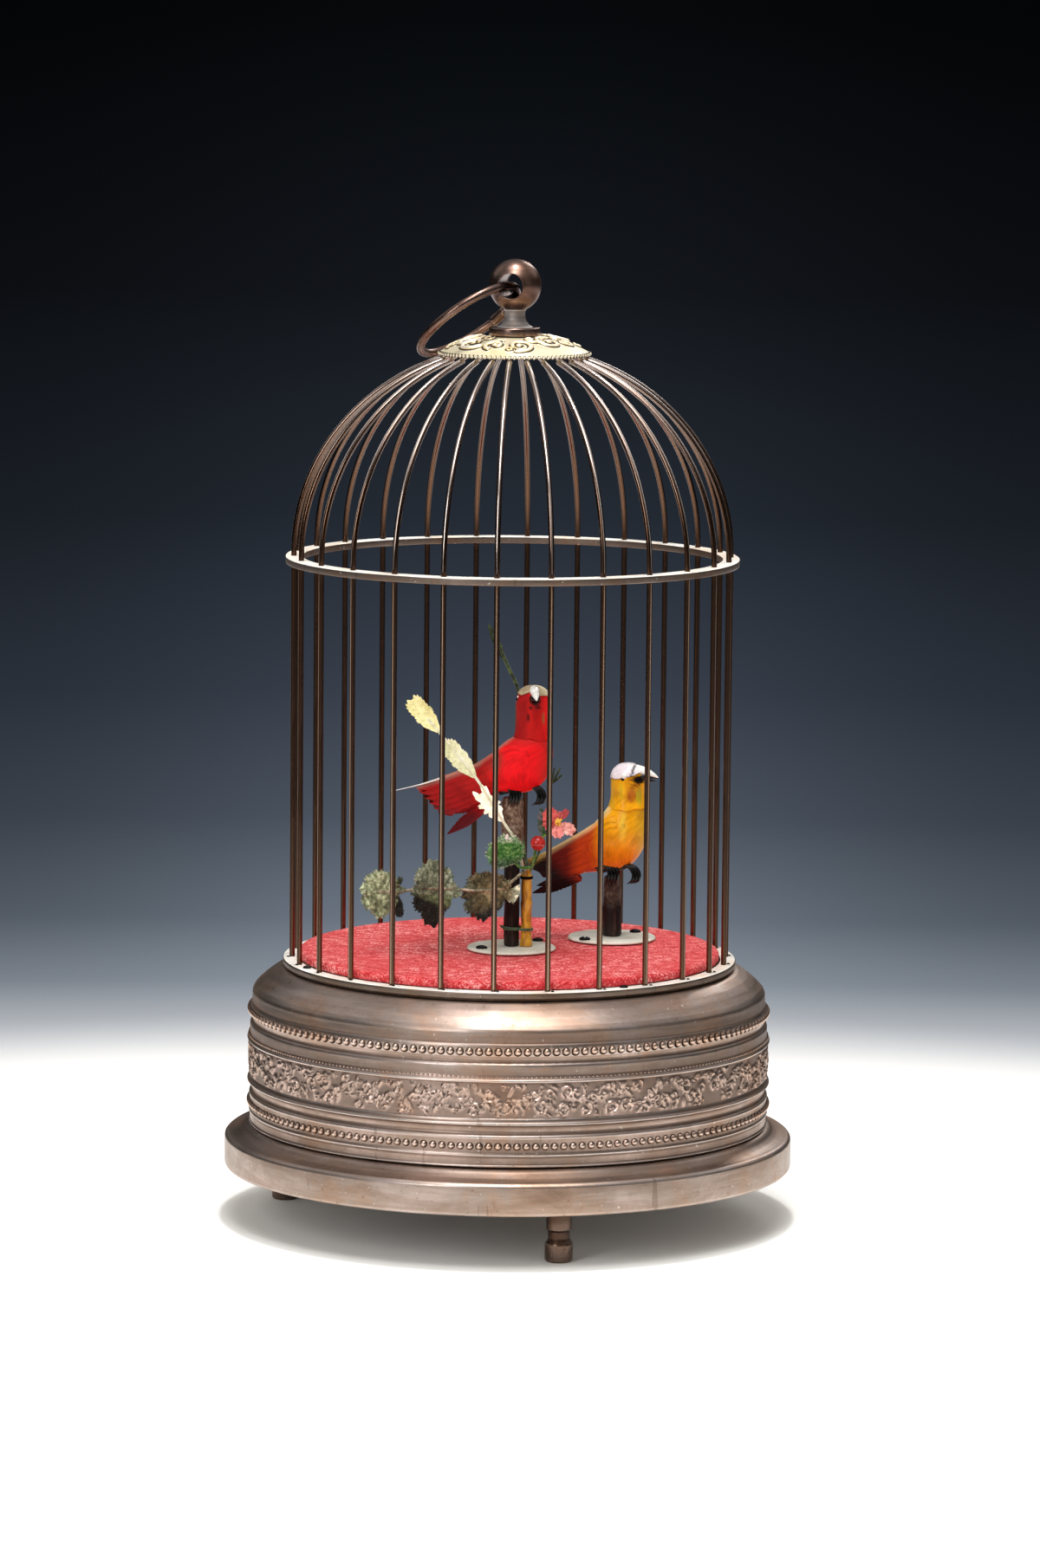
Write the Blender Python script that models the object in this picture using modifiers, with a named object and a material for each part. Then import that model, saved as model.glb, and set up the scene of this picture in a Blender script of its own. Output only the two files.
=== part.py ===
"""Singing bird automaton: two birds in a domed wire cage on a round base.

Units are metres, +Z is up and the origin is on the floor under the middle
of the base. The front of the object faces -Y. Azimuths are measured from the
front towards +X. The base holds the clockwork that turns the cams, works
the bellows and the whistle, and lifts the wires that move the birds.
"""
import math

import bmesh
import bpy
from mathutils import Matrix, Vector

MM = 0.001
GAP = 0.3 * MM
UPRIGHT = Matrix.Rotation(math.pi / 2, 4, "X")

# Feet, plinth and drum
FOOT_CIRCLE = 68.6 * MM
FOOT_HEIGHT = 15.1 * MM
FOOT_RADIUS = 4.0 * MM
FOOT_AZIMUTHS = {"foot_front": 12.4, "foot_left": -107.6, "foot_right": 132.4}
PLINTH_RADIUS = 82.4 * MM
PLINTH_BOTTOM = 15.4 * MM
COVER_RADIUS = 80.5 * MM
COVER_THICKNESS = 1.4 * MM
DRUM_BOTTOM = 27.8 * MM
DRUM_RADIUS = 75.0 * MM
DRUM_MOUTH = 58.5 * MM
ROUND_STEPS = 24

# Cage
BASE_RING_OUTER = 65.6 * MM
BASE_RING_INNER = 61.2 * MM
BASE_RING_BOTTOM = 73.7 * MM
BASE_RING_TOP = 76.2 * MM
BAR_COUNT = 26
BAR_RADIUS = 0.8 * MM
BAR_CIRCLE = 63.0 * MM
BAR_FIRST_AZIMUTH = -3.9
DOME_SPRING = 194.1 * MM
DOME_RISE = 59.1 * MM
DOME_END_RADIUS = 20.6 * MM
DOME_POINTS = 5
HOOP_OUTER = 65.4 * MM
HOOP_INNER = 60.5 * MM
HOOP_BOTTOM = 190.8 * MM
HOOP_THICKNESS = 2.0 * MM

# Cap, finial and bail
CAP_RADIUS = 21.8 * MM
CAP_RIM = 251.1 * MM
COLLAR_BOTTOM = 256.5 * MM
BALL_RADIUS = 7.55 * MM
BALL_CENTRE = 270.9 * MM
BALL_STEPS = 8
BORE_RADIUS = 3.7 * MM
BORE_AZIMUTH = -12.0
BAIL_WIRE = 1.2 * MM
FERRULE_RADIUS = 1.6 * MM
BAIL_RADIUS = 16.2 * MM
BAIL_REACH = 16.9 * MM
BAIL_DROP = 37.0

# Floor of the cage and what stands on it
BOARD_RADIUS = 60.8 * MM
BOARD_TOP = 75.9 * MM
FELT_TOP = 78.6 * MM
PLATE_THICKNESS = 0.8 * MM
PLATE_RADIUS = 12.9 * MM
TALL_POST = (0.6 * MM, -3.0 * MM)
SHORT_POST = (30.0 * MM, 18.0 * MM)
POST_BORE = 1.0 * MM
POST_FOOT = 80.0 * MM
POST_HOLE = 1.7 * MM
TALL_POST_TOP = 123.2 * MM
SHORT_POST_TOP = 97.4 * MM
STEM_TUBE = (4.85 * MM, -3.7 * MM)
STEM_TUBE_TOP = 102.0 * MM
STEM_TUBE_RADIUS = 1.6 * MM
PUSH_ROD_RADIUS = 0.6 * MM

# Movement: plates, arbors and the gear train
LOWER_PLATE = (20.0 * MM, 21.6 * MM)
UPPER_PLATE = (47.0 * MM, 48.6 * MM)
PLATES_RADIUS = 56.0 * MM
PILLARS = [(38.0, -30.0), (38.0, 30.0), (-22.0, -46.0)]
BARREL_AXIS = (0.0, 0.0)
CAM_AXIS = (-24.357 * MM, -14.063 * MM)
CRANK_AXIS = (-34.482 * MM, 3.474 * MM)
FLY_AXIS = (-31.981 * MM, 17.655 * MM)
GREAT_WHEEL = (24, 1.875 * MM)
CAM_WHEEL = (24, 1.35 * MM)
CRANK_WHEEL = (18, 1.2 * MM)
PINION_LEAVES = 6
CRANK_THROW = 4.0 * MM
CRANK_PIN = 0.9 * MM
BARREL_RADIUS = 20.0 * MM
BARREL_STEPS = 16
ARBOR_RADIUS = 3.0 * MM
PIVOT_RADIUS = 1.0 * MM
PIVOT_HOLE = 1.3 * MM
SHAFT_HOLE = 2.0 * MM
STUD_RADIUS = 1.2 * MM
PILLAR_RADIUS = 2.2 * MM
RATCHET_TEETH = 20
RATCHET_RADIUS = 9.0 * MM
CLICK_HEIGHTS = (49.2 * MM, 50.6 * MM)

# Cams, levers, bellows and whistle
CAM_LOBES = 12
CAM_BORE = 1.9 * MM
TRACK_VALLEY = 54.0 * MM
RED_TRACK = (5.8 * MM, 8.9 * MM)
YELLOW_TRACK = (9.3 * MM, 12.6 * MM)
WHISTLE_CAM_RADIUS = 13.8 * MM
RED_LIFT = 1.0 * MM
YELLOW_LIFT = 0.5 * MM
WHISTLE_LIFT = 0.5 * MM
LEVER_BOTTOM = 57.0 * MM
LEVER_TOP = 58.6 * MM
LEVER_AXIS = 57.2 * MM
LEVER_PIN = 0.8 * MM
RED_PIVOT = (-41.7 * MM, -21.75 * MM)
RED_CONTACT = (-17.5 * MM, -11.02 * MM)
YELLOW_PIVOT = (-42.2 * MM, -9.15 * MM)
YELLOW_CONTACT = (-26.3 * MM, -3.2 * MM)
WHISTLE_PIVOT = (-20.8 * MM, -30.4 * MM)
WHISTLE_LEVER_HEIGHTS = (49.4 * MM, 50.8 * MM)
WHISTLE_X = 4.0 * MM
WHISTLE_Y = -46.4 * MM
WHISTLE_Z = 54.0 * MM
BELLOWS_HINGE = (10.0 * MM, 38.4 * MM)
BELLOWS_OPEN = 13.0
BELLOWS_LENGTH = 45.0 * MM
BELLOWS_Z = (49.2 * MM, 67.0 * MM)
BOARD_THICKNESS = 1.6 * MM
LEATHER_FOLDS = 3
LUG_OFFSET = -3.2 * MM
ROD_HEIGHTS = (54.6 * MM, 55.8 * MM)
STOP_PIVOT = (-29.5 * MM, 41.4 * MM)
STOP_FINGER = (-40.1 * MM, 22.2 * MM)
STOP_KNOB = (-42.0 * MM, 58.5 * MM)


def clear_scene():
    for thing in list(bpy.data.objects):
        bpy.data.objects.remove(thing, do_unlink=True)


def new_collection(name):
    group = bpy.data.collections.new(name)
    bpy.context.scene.collection.children.link(group)
    return group


def finish(name, colour, roughness, metallic):
    made = bpy.data.materials.get(name)
    if made:
        return made
    made = bpy.data.materials.new(name)
    made.use_nodes = True
    shader = made.node_tree.nodes["Principled BSDF"]
    shader.inputs["Base Color"].default_value = (*colour, 1)
    shader.inputs["Roughness"].default_value = roughness
    shader.inputs["Metallic"].default_value = metallic
    return made


def bronze():
    return finish("antique_bronze", (0.23, 0.15, 0.11), 0.38, 1.0)


def brass():
    return finish("movement_brass", (0.72, 0.52, 0.22), 0.35, 1.0)


def steel():
    return finish("movement_steel", (0.45, 0.46, 0.48), 0.35, 1.0)


def black():
    return finish("claw_black", (0.02, 0.02, 0.02), 0.5, 0.0)


def place(name, data, look, group=None, at=(0, 0, 0)):
    thing = bpy.data.objects.new(name, data)
    (group or PARTS).objects.link(thing)
    thing.location = at
    data.materials.append(look)
    return thing


def hide(thing):
    """Keep a shape only as the operand of a Boolean modifier."""
    thing.hide_render = True
    thing.display_type = "WIRE"
    return thing


def spot(*values):
    """A point from its numbers in millimetres."""
    return tuple(value * MM for value in values)


def in_mm(points):
    return [spot(*point) for point in points]


def stepped(radius, height, steps):
    """A profile, its points in millimetres out from a radius and up from a height."""
    return [(radius + out * MM, height + up * MM) for out, up in steps]


def lathe(name, profile, look, at=(0, 0), steps=ROUND_STEPS, closed=False, group=None):
    """Turn a profile of (radius, height) about a vertical axis.

    The profile runs down the outer side. A closed one is a ring or a tube.
    """
    mesh = bpy.data.meshes.new(name)
    count = len(profile)
    edges = [(i, i + 1) for i in range(count - 1)]
    if closed:
        edges.append((count - 1, 0))
    mesh.from_pydata([(r, 0, z) for r, z in profile], edges, [])
    thing = place(name, mesh, look, group, (at[0], at[1], 0))
    turn = thing.modifiers.new("turn", "SCREW")
    turn.axis = "Z"
    turn.steps = steps
    turn.render_steps = steps
    turn.use_merge_vertices = True
    turn.merge_threshold = 0.00001
    turn.use_smooth_shade = True
    return thing


def outline(name, loops, bottom, top, look, group=None, at=(0, 0)):
    """A flat plate between two heights, from closed outlines; the inner ones are holes."""
    curve = bpy.data.curves.new(name, "CURVE")
    curve.dimensions = "2D"
    curve.fill_mode = "BOTH"
    curve.extrude = (top - bottom) / 2
    for loop in loops:
        spline = curve.splines.new("POLY")
        spline.points.add(len(loop) - 1)
        for point, (x, y) in zip(spline.points, loop):
            point.co = (x, y, 0, 1)
        spline.use_cyclic_u = True
    return place(name, curve, look, group, (at[0], at[1], (top + bottom) / 2))


def wire(name, points, radius, look, closed=False, round_steps=1, radii=None, group=None):
    """A round wire along points."""
    curve = bpy.data.curves.new(name, "CURVE")
    curve.dimensions = "3D"
    curve.bevel_depth = radius
    curve.bevel_resolution = round_steps
    curve.use_fill_caps = True
    spline = curve.splines.new("POLY")
    spline.points.add(len(points) - 1)
    for i, (point, co) in enumerate(zip(spline.points, points)):
        point.co = (*co, 1)
        point.radius = radii[i] if radii else 1
    spline.use_cyclic_u = closed
    return place(name, curve, look, group)


def rod(name, radius, bottom, top, at, look, sides=12, group=None, tip=None):
    """An upright cylinder, or a cone where tip gives another radius for its top."""
    mesh = bpy.data.meshes.new(name)
    shape = bmesh.new()
    bmesh.ops.create_cone(
        shape,
        cap_ends=True,
        segments=sides,
        radius1=radius,
        radius2=radius if tip is None else tip,
        depth=top - bottom,
    )
    shape.to_mesh(mesh)
    shape.free()
    return place(name, mesh, look, group, (at[0], at[1], (top + bottom) / 2))


def block(name, low, high, look, group=None):
    """A box between two corners."""
    mesh = bpy.data.meshes.new(name)
    shape = bmesh.new()
    bmesh.ops.create_cube(shape, size=1)
    size = [b - a for a, b in zip(low, high)]
    bmesh.ops.scale(shape, vec=size, verts=shape.verts)
    shape.to_mesh(mesh)
    shape.free()
    return place(name, mesh, look, group, [(a + b) / 2 for a, b in zip(low, high)])


def ball(name, radius, centre, look, rings=8, group=None):
    mesh = bpy.data.meshes.new(name)
    shape = bmesh.new()
    bmesh.ops.create_uvsphere(shape, u_segments=2 * rings, v_segments=rings, radius=radius)
    shape.to_mesh(mesh)
    shape.free()
    return place(name, mesh, look, group, centre)


def loft(name, sections, look, sides=10, group=None):
    """A closed skin over round sections.

    Each section is its middle, its two half axes as vectors. The ends are
    closed by fans.
    """
    mesh = bpy.data.meshes.new(name)
    shape = bmesh.new()
    rings = []
    for middle, first, second in sections:
        ring = []
        for k in range(sides):
            turn = 2 * math.pi * k / sides
            ring.append(shape.verts.new(middle + first * math.cos(turn) + second * math.sin(turn)))
        rings.append(ring)
    for one, other in zip(rings, rings[1:]):
        for k in range(sides):
            after = (k + 1) % sides
            shape.faces.new((one[k], one[after], other[after], other[k]))
    for ring, middle in ((rings[0], sections[0][0]), (rings[-1], sections[-1][0])):
        pole = shape.verts.new(middle)
        for k in range(sides):
            shape.faces.new((ring[k], ring[(k + 1) % sides], pole))
    bmesh.ops.recalc_face_normals(shape, faces=shape.faces)
    shape.to_mesh(mesh)
    shape.free()
    return place(name, mesh, look, group)


def as_mesh(curve):
    """Turn a curve object into a closed mesh object of the same name."""
    bpy.context.view_layer.update()
    graph = bpy.context.evaluated_depsgraph_get()
    mesh = bpy.data.meshes.new_from_object(curve.evaluated_get(graph))
    shape = bmesh.new()
    shape.from_mesh(mesh)
    bmesh.ops.remove_doubles(shape, verts=shape.verts, dist=0.000001)
    shape.to_mesh(mesh)
    shape.free()
    name, stand, groups = curve.name, curve.matrix_world.copy(), curve.users_collection
    bpy.data.objects.remove(curve, do_unlink=True)
    made = bpy.data.objects.new(name, mesh)
    mesh.name = name
    for group in groups:
        group.objects.link(made)
    made.matrix_world = stand
    return made


def combine(thing, other, how):
    """Join or cut a piece with a helper shape."""
    if other.type == "CURVE":
        other = as_mesh(other)
    step = thing.modifiers.new(how.lower(), "BOOLEAN")
    step.operation = how
    step.solver = "EXACT"
    step.object = hide(other)
    return thing


def weld_on(thing, *others):
    for other in others:
        combine(thing, other, "UNION")
    return thing


def cut(thing, *others):
    for other in others:
        combine(thing, other, "DIFFERENCE")
    return thing


def without_scraps(thing):
    """Apply a piece's Booleans and drop the flat scraps of fewer than four faces."""
    bpy.context.view_layer.update()
    graph = bpy.context.evaluated_depsgraph_get()
    mesh = bpy.data.meshes.new_from_object(thing.evaluated_get(graph))
    shape = bmesh.new()
    shape.from_mesh(mesh)
    bmesh.ops.triangulate(shape, faces=shape.faces)
    bmesh.ops.remove_doubles(shape, verts=shape.verts, dist=0.000001)
    waiting, scraps = set(shape.faces), []
    while waiting:
        island = [waiting.pop()]
        for face in island:
            for edge in face.edges:
                beside = [other for other in edge.link_faces if other in waiting]
                waiting.difference_update(beside)
                island.extend(beside)
        if len(island) < 4:
            scraps.extend(island)
    bmesh.ops.delete(shape, geom=scraps, context="FACES")
    shape.to_mesh(mesh)
    shape.free()
    thing.modifiers.clear()
    thing.data = mesh
    return thing


def circle(radius, count, at=(0, 0), start=0.0):
    """Points round a circle, counter-clockwise."""
    turns = [start + 2 * math.pi * k / count for k in range(count)]
    return [(at[0] + radius * math.cos(t), at[1] + radius * math.sin(t)) for t in turns]


def on_azimuth(radius, azimuth):
    """The plan position at a radius and an azimuth from the front."""
    angle = math.radians(azimuth)
    return radius * math.sin(angle), -radius * math.cos(angle)


def gear(teeth, module, facing, gap_there=False):
    """The outline of a wheel with trapezoid teeth.

    A tooth, or a gap, lies on the direction facing, so meshed wheels start
    in step.
    """
    pitch = 2 * math.pi / teeth
    radius = teeth * module / 2
    root = radius - 1.15 * module
    tip = radius + 0.8 * module
    start = facing + (pitch / 2 if gap_there else 0)
    corners = ((root, -0.29), (tip, -0.12), (tip, 0.12), (root, 0.29))
    points = []
    for k in range(teeth):
        middle = start + k * pitch
        for r, part in corners:
            turn = middle + part * pitch
            points.append((r * math.cos(turn), r * math.sin(turn)))
    return points


def direction(start, end):
    return math.atan2(end[1] - start[1], end[0] - start[0])


def build_feet():
    profile = [(0, FOOT_HEIGHT), *stepped(FOOT_RADIUS, FOOT_HEIGHT, [
        (0, 0), (0, -1.1), (-0.4, -1.5), (-0.4, -5.8), (-0.9, -6.3), (-0.9, -8.5), (0, -9.9),
    ]), *stepped(FOOT_RADIUS, 0, [(0, 0.6), (-0.4, 0)]), (0, 0)]
    for name, azimuth in FOOT_AZIMUTHS.items():
        lathe(name, profile, bronze(), on_azimuth(FOOT_CIRCLE, azimuth), steps=10)


def build_plinth():
    """A spun rim with an upright band, coved up to the foot of the drum."""
    profile = stepped(PLINTH_RADIUS, PLINTH_BOTTOM, [
        (-9.0, 12.1), (-6.2, 12.0), (-4.4, 10.5), (-1.2, 9.5), (0, 8.7), (0, 0.5),
        (-0.5, 0), (-1.5, 0), (-1.5, 8.1), (-5.6, 9.3), (-7.2, 10.8), (-9.0, 10.8),
    ])
    lathe("plinth_flange", profile, bronze(), closed=True)


def build_bottom_cover():
    hub = circle(4.6 * MM, 12)
    stop = circle(2.3 * MM, 8, STOP_PIVOT)
    rim = circle(COVER_RADIUS, ROUND_STEPS)
    top = PLINTH_BOTTOM + COVER_THICKNESS
    outline("bottom_cover", [rim, hub, stop], PLINTH_BOTTOM, top, steel())


def build_drum():
    """The spun casing: sloping shoulder, ribs, waist and the plain bands between."""
    outside = stepped(DRUM_RADIUS, DRUM_BOTTOM, [
        (-9.2, 45.6), (-4.3, 43.5), (-1.4, 40.8), (-0.6, 38.4), (-0.6, 35.0), (0.6, 34.1),
        (0.6, 32.4), (-1.2, 30.8), (0, 29.4), (0, 26.2), (1.0, 25.1), (0.3, 24.3),
        (0.3, 14.4), (0.8, 12.8), (-1.1, 9.9), (0.3, 9.2), (0, 0),
    ])
    inside = stepped(DRUM_RADIUS, DRUM_BOTTOM, [(-2.4, 0), (-2.4, 37.8), (-6.0, 42.5)])
    mouth = stepped(DRUM_MOUTH, DRUM_BOTTOM, [(0, 44.4), (0, 45.6)])
    lathe("drum_casing", outside + inside + mouth, bronze(), closed=True)


def bars(name, path, group):
    """One wire for each azimuth of the cage, along a path of (radius, height)."""
    shape = bmesh.new()
    for k in range(BAR_COUNT):
        x, y = on_azimuth(1, BAR_FIRST_AZIMUTH + 360 * k / BAR_COUNT)
        points = [(r * x, r * y, z) for r, z in path]
        bar = as_mesh(wire("bar", points, BAR_RADIUS, bronze(), group=group))
        shape.from_mesh(bar.data)
        bpy.data.objects.remove(bar, do_unlink=True)
    mesh = bpy.data.meshes.new(name)
    shape.to_mesh(mesh)
    shape.free()
    return place(name, mesh, bronze(), group)


def build_cage_side():
    """The base ring with the upright bars riveted into it."""
    profile = [
        (BASE_RING_INNER, BASE_RING_TOP), (BASE_RING_OUTER, BASE_RING_TOP),
        (BASE_RING_OUTER, BASE_RING_BOTTOM), (BASE_RING_INNER, BASE_RING_BOTTOM),
    ]
    ring = lathe("cage_side", profile, bronze(), closed=True, steps=BAR_COUNT)
    foot, top = BASE_RING_BOTTOM + 1.2 * MM, HOOP_BOTTOM - GAP
    weld_on(ring, bars("side_bars", [(BAR_CIRCLE, foot), (BAR_CIRCLE, top)], HELPERS))


def build_cage_dome():
    """The flat hoop with the bars that rise from it and close under the cap."""
    top = HOOP_BOTTOM + HOOP_THICKNESS
    profile = [
        (HOOP_INNER, top), (HOOP_OUTER, top), (HOOP_OUTER, HOOP_BOTTOM), (HOOP_INNER, HOOP_BOTTOM),
    ]
    hoop = lathe("cage_dome", profile, bronze(), closed=True, steps=BAR_COUNT)
    end = math.acos(DOME_END_RADIUS / BAR_CIRCLE)
    path = [(BAR_CIRCLE, HOOP_BOTTOM + HOOP_THICKNESS / 4)]
    for k in range(DOME_POINTS):
        turn = end * k / (DOME_POINTS - 1)
        path.append((BAR_CIRCLE * math.cos(turn), DOME_SPRING + DOME_RISE * math.sin(turn)))
    weld_on(hoop, bars("dome_bars", path, HELPERS))


def build_cap():
    gilt = finish("cap_gilt", (0.78, 0.70, 0.48), 0.45, 0.6)
    profile = stepped(CAP_RADIUS, CAP_RIM, [
        (-19.4, 5.1), (-14.2, 5.1), (-7.8, 3.8), (-2.8, 1.9), (0, 0.5), (-0.2, 0),
        (-1.2, 0.1), (-7.8, 2.5), (-19.4, 4.1),
    ])
    lathe("crown_cap", profile, gilt, closed=True, steps=20)


def build_finial():
    """Ball, spool neck and collar turned in one piece, with its stud through the cap."""
    profile = [(0, BALL_CENTRE + BALL_RADIUS)]
    for k in range(1, BALL_STEPS):
        turn = math.radians(90 - 150 * k / (BALL_STEPS - 1))
        profile.append((BALL_RADIUS * math.cos(turn), BALL_CENTRE + BALL_RADIUS * math.sin(turn)))
    profile += stepped(0, COLLAR_BOTTOM, [
        (3.7, 4.1), (4.6, 2.9), (7.1, 2.8), (7.4, 2.5), (7.4, 0), (2.0, 0), (2.0, -4.1), (0, -4.1),
    ])
    finial = lathe("finial", profile, bronze(), steps=14)
    drill = rod("finial_bore", BORE_RADIUS, -12 * MM, 12 * MM, (0, 0), bronze(), 12, HELPERS)
    drill.location = (0, 0, BALL_CENTRE)
    drill.rotation_euler = (math.radians(90), 0, math.radians(BORE_AZIMUTH))
    cut(finial, drill)


def build_bail():
    """The carrying ring, through the ball and leaning to the left, with its ferrule."""
    along = Vector((*on_azimuth(1, BORE_AZIMUTH), 0))
    drop = math.radians(BAIL_DROP)
    side = Vector((along.y, -along.x, 0))
    reach = side * math.cos(drop) + Vector((0, 0, -math.sin(drop)))
    hub = Vector((0, 0, BALL_CENTRE))
    middle = hub + reach * BAIL_REACH
    points = []
    for turn in (2 * math.pi * k / ROUND_STEPS for k in range(ROUND_STEPS)):
        points.append(middle + (along * math.cos(turn) + reach * math.sin(turn)) * BAIL_RADIUS)
    bail = as_mesh(wire("bail_ring", points, BAIL_WIRE, bronze(), closed=True))
    sleeve = []
    for k in range(4):
        turn = math.radians(206 + 6 * k)
        sleeve.append(middle + (along * math.cos(turn) + reach * math.sin(turn)) * BAIL_RADIUS)
    weld_on(bail, wire("bail_ferrule", sleeve, FERRULE_RADIUS, bronze(), group=HELPERS))


def build_floor():
    holes = [circle(POST_HOLE, 8, post) for post in (TALL_POST, SHORT_POST)]
    board = [circle(BOARD_RADIUS, BAR_COUNT), *holes]
    wood = finish("board_wood", (0.35, 0.22, 0.12), 0.7, 0)
    outline("floor_board", board, BASE_RING_BOTTOM, BOARD_TOP, wood)
    felt = finish("red_felt", (0.62, 0.10, 0.09), 0.95, 0)
    edge = stepped(BOARD_RADIUS, FELT_TOP, [(-1.0, 0), (0, -1.0)])
    bottom = BOARD_TOP + GAP
    profile = [(0, FELT_TOP), *edge, (BOARD_RADIUS, bottom), (0, bottom)]
    floor = lathe("felt_floor", profile, felt, steps=BAR_COUNT)
    for name, post in (("felt_hole_tall", TALL_POST), ("felt_hole_short", SHORT_POST)):
        cut(floor, rod(name, POST_HOLE, bottom - MM, FELT_TOP + MM, post, felt, 8, HELPERS))
    ivory = finish("plate_ivory", (0.72, 0.69, 0.60), 0.5, 0.0)
    bottom = FELT_TOP + GAP
    for name, (x, y) in (("escutcheon_tall", TALL_POST), ("escutcheon_short", SHORT_POST)):
        loops = [circle(PLATE_RADIUS, ROUND_STEPS), circle(POST_BORE + GAP, 8)]
        outline(name, loops, bottom, bottom + PLATE_THICKNESS, ivory, at=(x, y))


def build_posts():
    bark = finish("post_bark", (0.10, 0.055, 0.04), 0.7, 0)
    top = [(0, 0), (1.5, 0), (2.15, -0.8), (2.15, -13.6), (1.25, -15.6)]
    tall = stepped(POST_BORE, TALL_POST_TOP, top) + stepped(POST_BORE, POST_FOOT, [(1.2, 0), (0, 0)])
    lathe("tall_post", tall, bark, TALL_POST, steps=12, closed=True)
    top = [(0, 0), (1.2, 0), (1.5, -0.8), (1.5, -9.0), (1.8, -9.4)]
    short = stepped(POST_BORE, SHORT_POST_TOP, top) + stepped(POST_BORE, POST_FOOT, [(1.8, 0), (0, 0)])
    lathe("short_post", short, bark, SHORT_POST, steps=12, closed=True)
    amber = finish("amber_tube", (0.55, 0.28, 0.05), 0.35, 0)
    tube = [
        (POST_BORE, STEM_TUBE_TOP), (STEM_TUBE_RADIUS, STEM_TUBE_TOP),
        (STEM_TUBE_RADIUS, POST_FOOT), (POST_BORE, POST_FOOT),
    ]
    lathe("stem_tube", tube, amber, STEM_TUBE, steps=10, closed=True)


def bird_point(bird, x, z, across=0.0):
    """A point of a bird, from where it shows across the front and its height.

    The bird's middle plane is upright, passes through its post and is turned
    from the front plane by the bird's heading.
    """
    post, heading = bird["post"], math.radians(bird["heading"])
    reach = (x * MM - post[0]) / math.cos(heading)
    forward = Vector((math.cos(heading), -math.sin(heading), 0))
    side = Vector((math.sin(heading), math.cos(heading), 0))
    base = Vector((post[0], post[1], z * MM))
    return base + forward * reach + side * across * MM


def bird_section(bird, front, back, half_width):
    """A section of a bird from its front point, its back point and its width."""
    one, other = bird_point(bird, *front), bird_point(bird, *back)
    side = bird_point(bird, front[0], front[1], half_width) - one
    return (one + other) / 2, (one - other) / 2, side


RED_BIRD = {
    "name": "red_bird",
    "post": TALL_POST,
    "heading": 16.0,
    "skin": ("red_feathers", (0.70, 0.02, 0.02)),
    "sections": [
        ((11.3, 141.5), (1.2, 141.2), 5.2),
        ((11.8, 138.4), (-1.6, 139.4), 6.4),
        ((11.8, 134.6), (-4.4, 136.7), 7.3),
        ((10.8, 130.2), (-7.2, 134.2), 7.5),
        ((8.2, 126.8), (-10.0, 132.3), 7.1),
        ((4.2, 124.8), (-13.0, 130.9), 6.2),
        ((-4.4, 124.0), (-17.4, 129.0), 4.5),
        ((-15.0, 123.1), (-21.8, 126.9), 1.8),
    ],
    "wing": [(7.2, 136.4), (0.6, 138.8), (-9.0, 133.0), (-26.6, 125.8),
             (-18.6, 122.6), (-7.0, 123.4), (4.6, 129.4)],
    "wing_spread": (8.1, 3.2),
    "tail": [(-5.2, 121.6), (-18.4, 111.6)],
    "tail_width": (1.6, 4.0),
    "head": (6.3, 141.9),
    "crown": 156.0,
    "head_radius": 5.1,
    "face": -84.0,
    "beak_height": 152.0,
    "rod_hole": 130.0,
    "toes": (0.4, 8.6),
    "toe_height": 123.9,
}

YELLOW_BIRD = {
    "name": "yellow_bird",
    "post": SHORT_POST,
    "heading": 16.0,
    "skin": ("yellow_feathers", (0.85, 0.38, 0.02)),
    "sections": [
        ((39.0, 118.6), (28.9, 118.4), 5.1),
        ((39.6, 115.0), (26.8, 115.4), 6.0),
        ((39.8, 111.0), (24.2, 112.4), 6.8),
        ((38.9, 106.2), (21.4, 109.9), 7.0),
        ((36.2, 101.8), (18.6, 107.9), 6.6),
        ((32.2, 99.2), (15.6, 105.9), 5.7),
        ((24.0, 98.2), (11.8, 103.4), 4.0),
        ((14.8, 97.0), (8.2, 100.9), 1.6),
    ],
    "wing": [(35.2, 112.8), (29.4, 115.2), (20.8, 109.7), (6.4, 101.4),
             (12.6, 97.8), (22.0, 98.4), (32.6, 104.6)],
    "wing_spread": (7.6, 2.9),
    "tail": [(20.4, 95.7), (7.2, 91.6)],
    "tail_width": (1.5, 3.4),
    "head": (34.2, 119.0),
    "crown": 131.0,
    "head_radius": 5.1,
    "face": -14.0,
    "beak_height": 127.4,
    "rod_hole": 104.0,
    "toes": (29.4, 36.4),
    "toe_height": 98.05,
}


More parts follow.
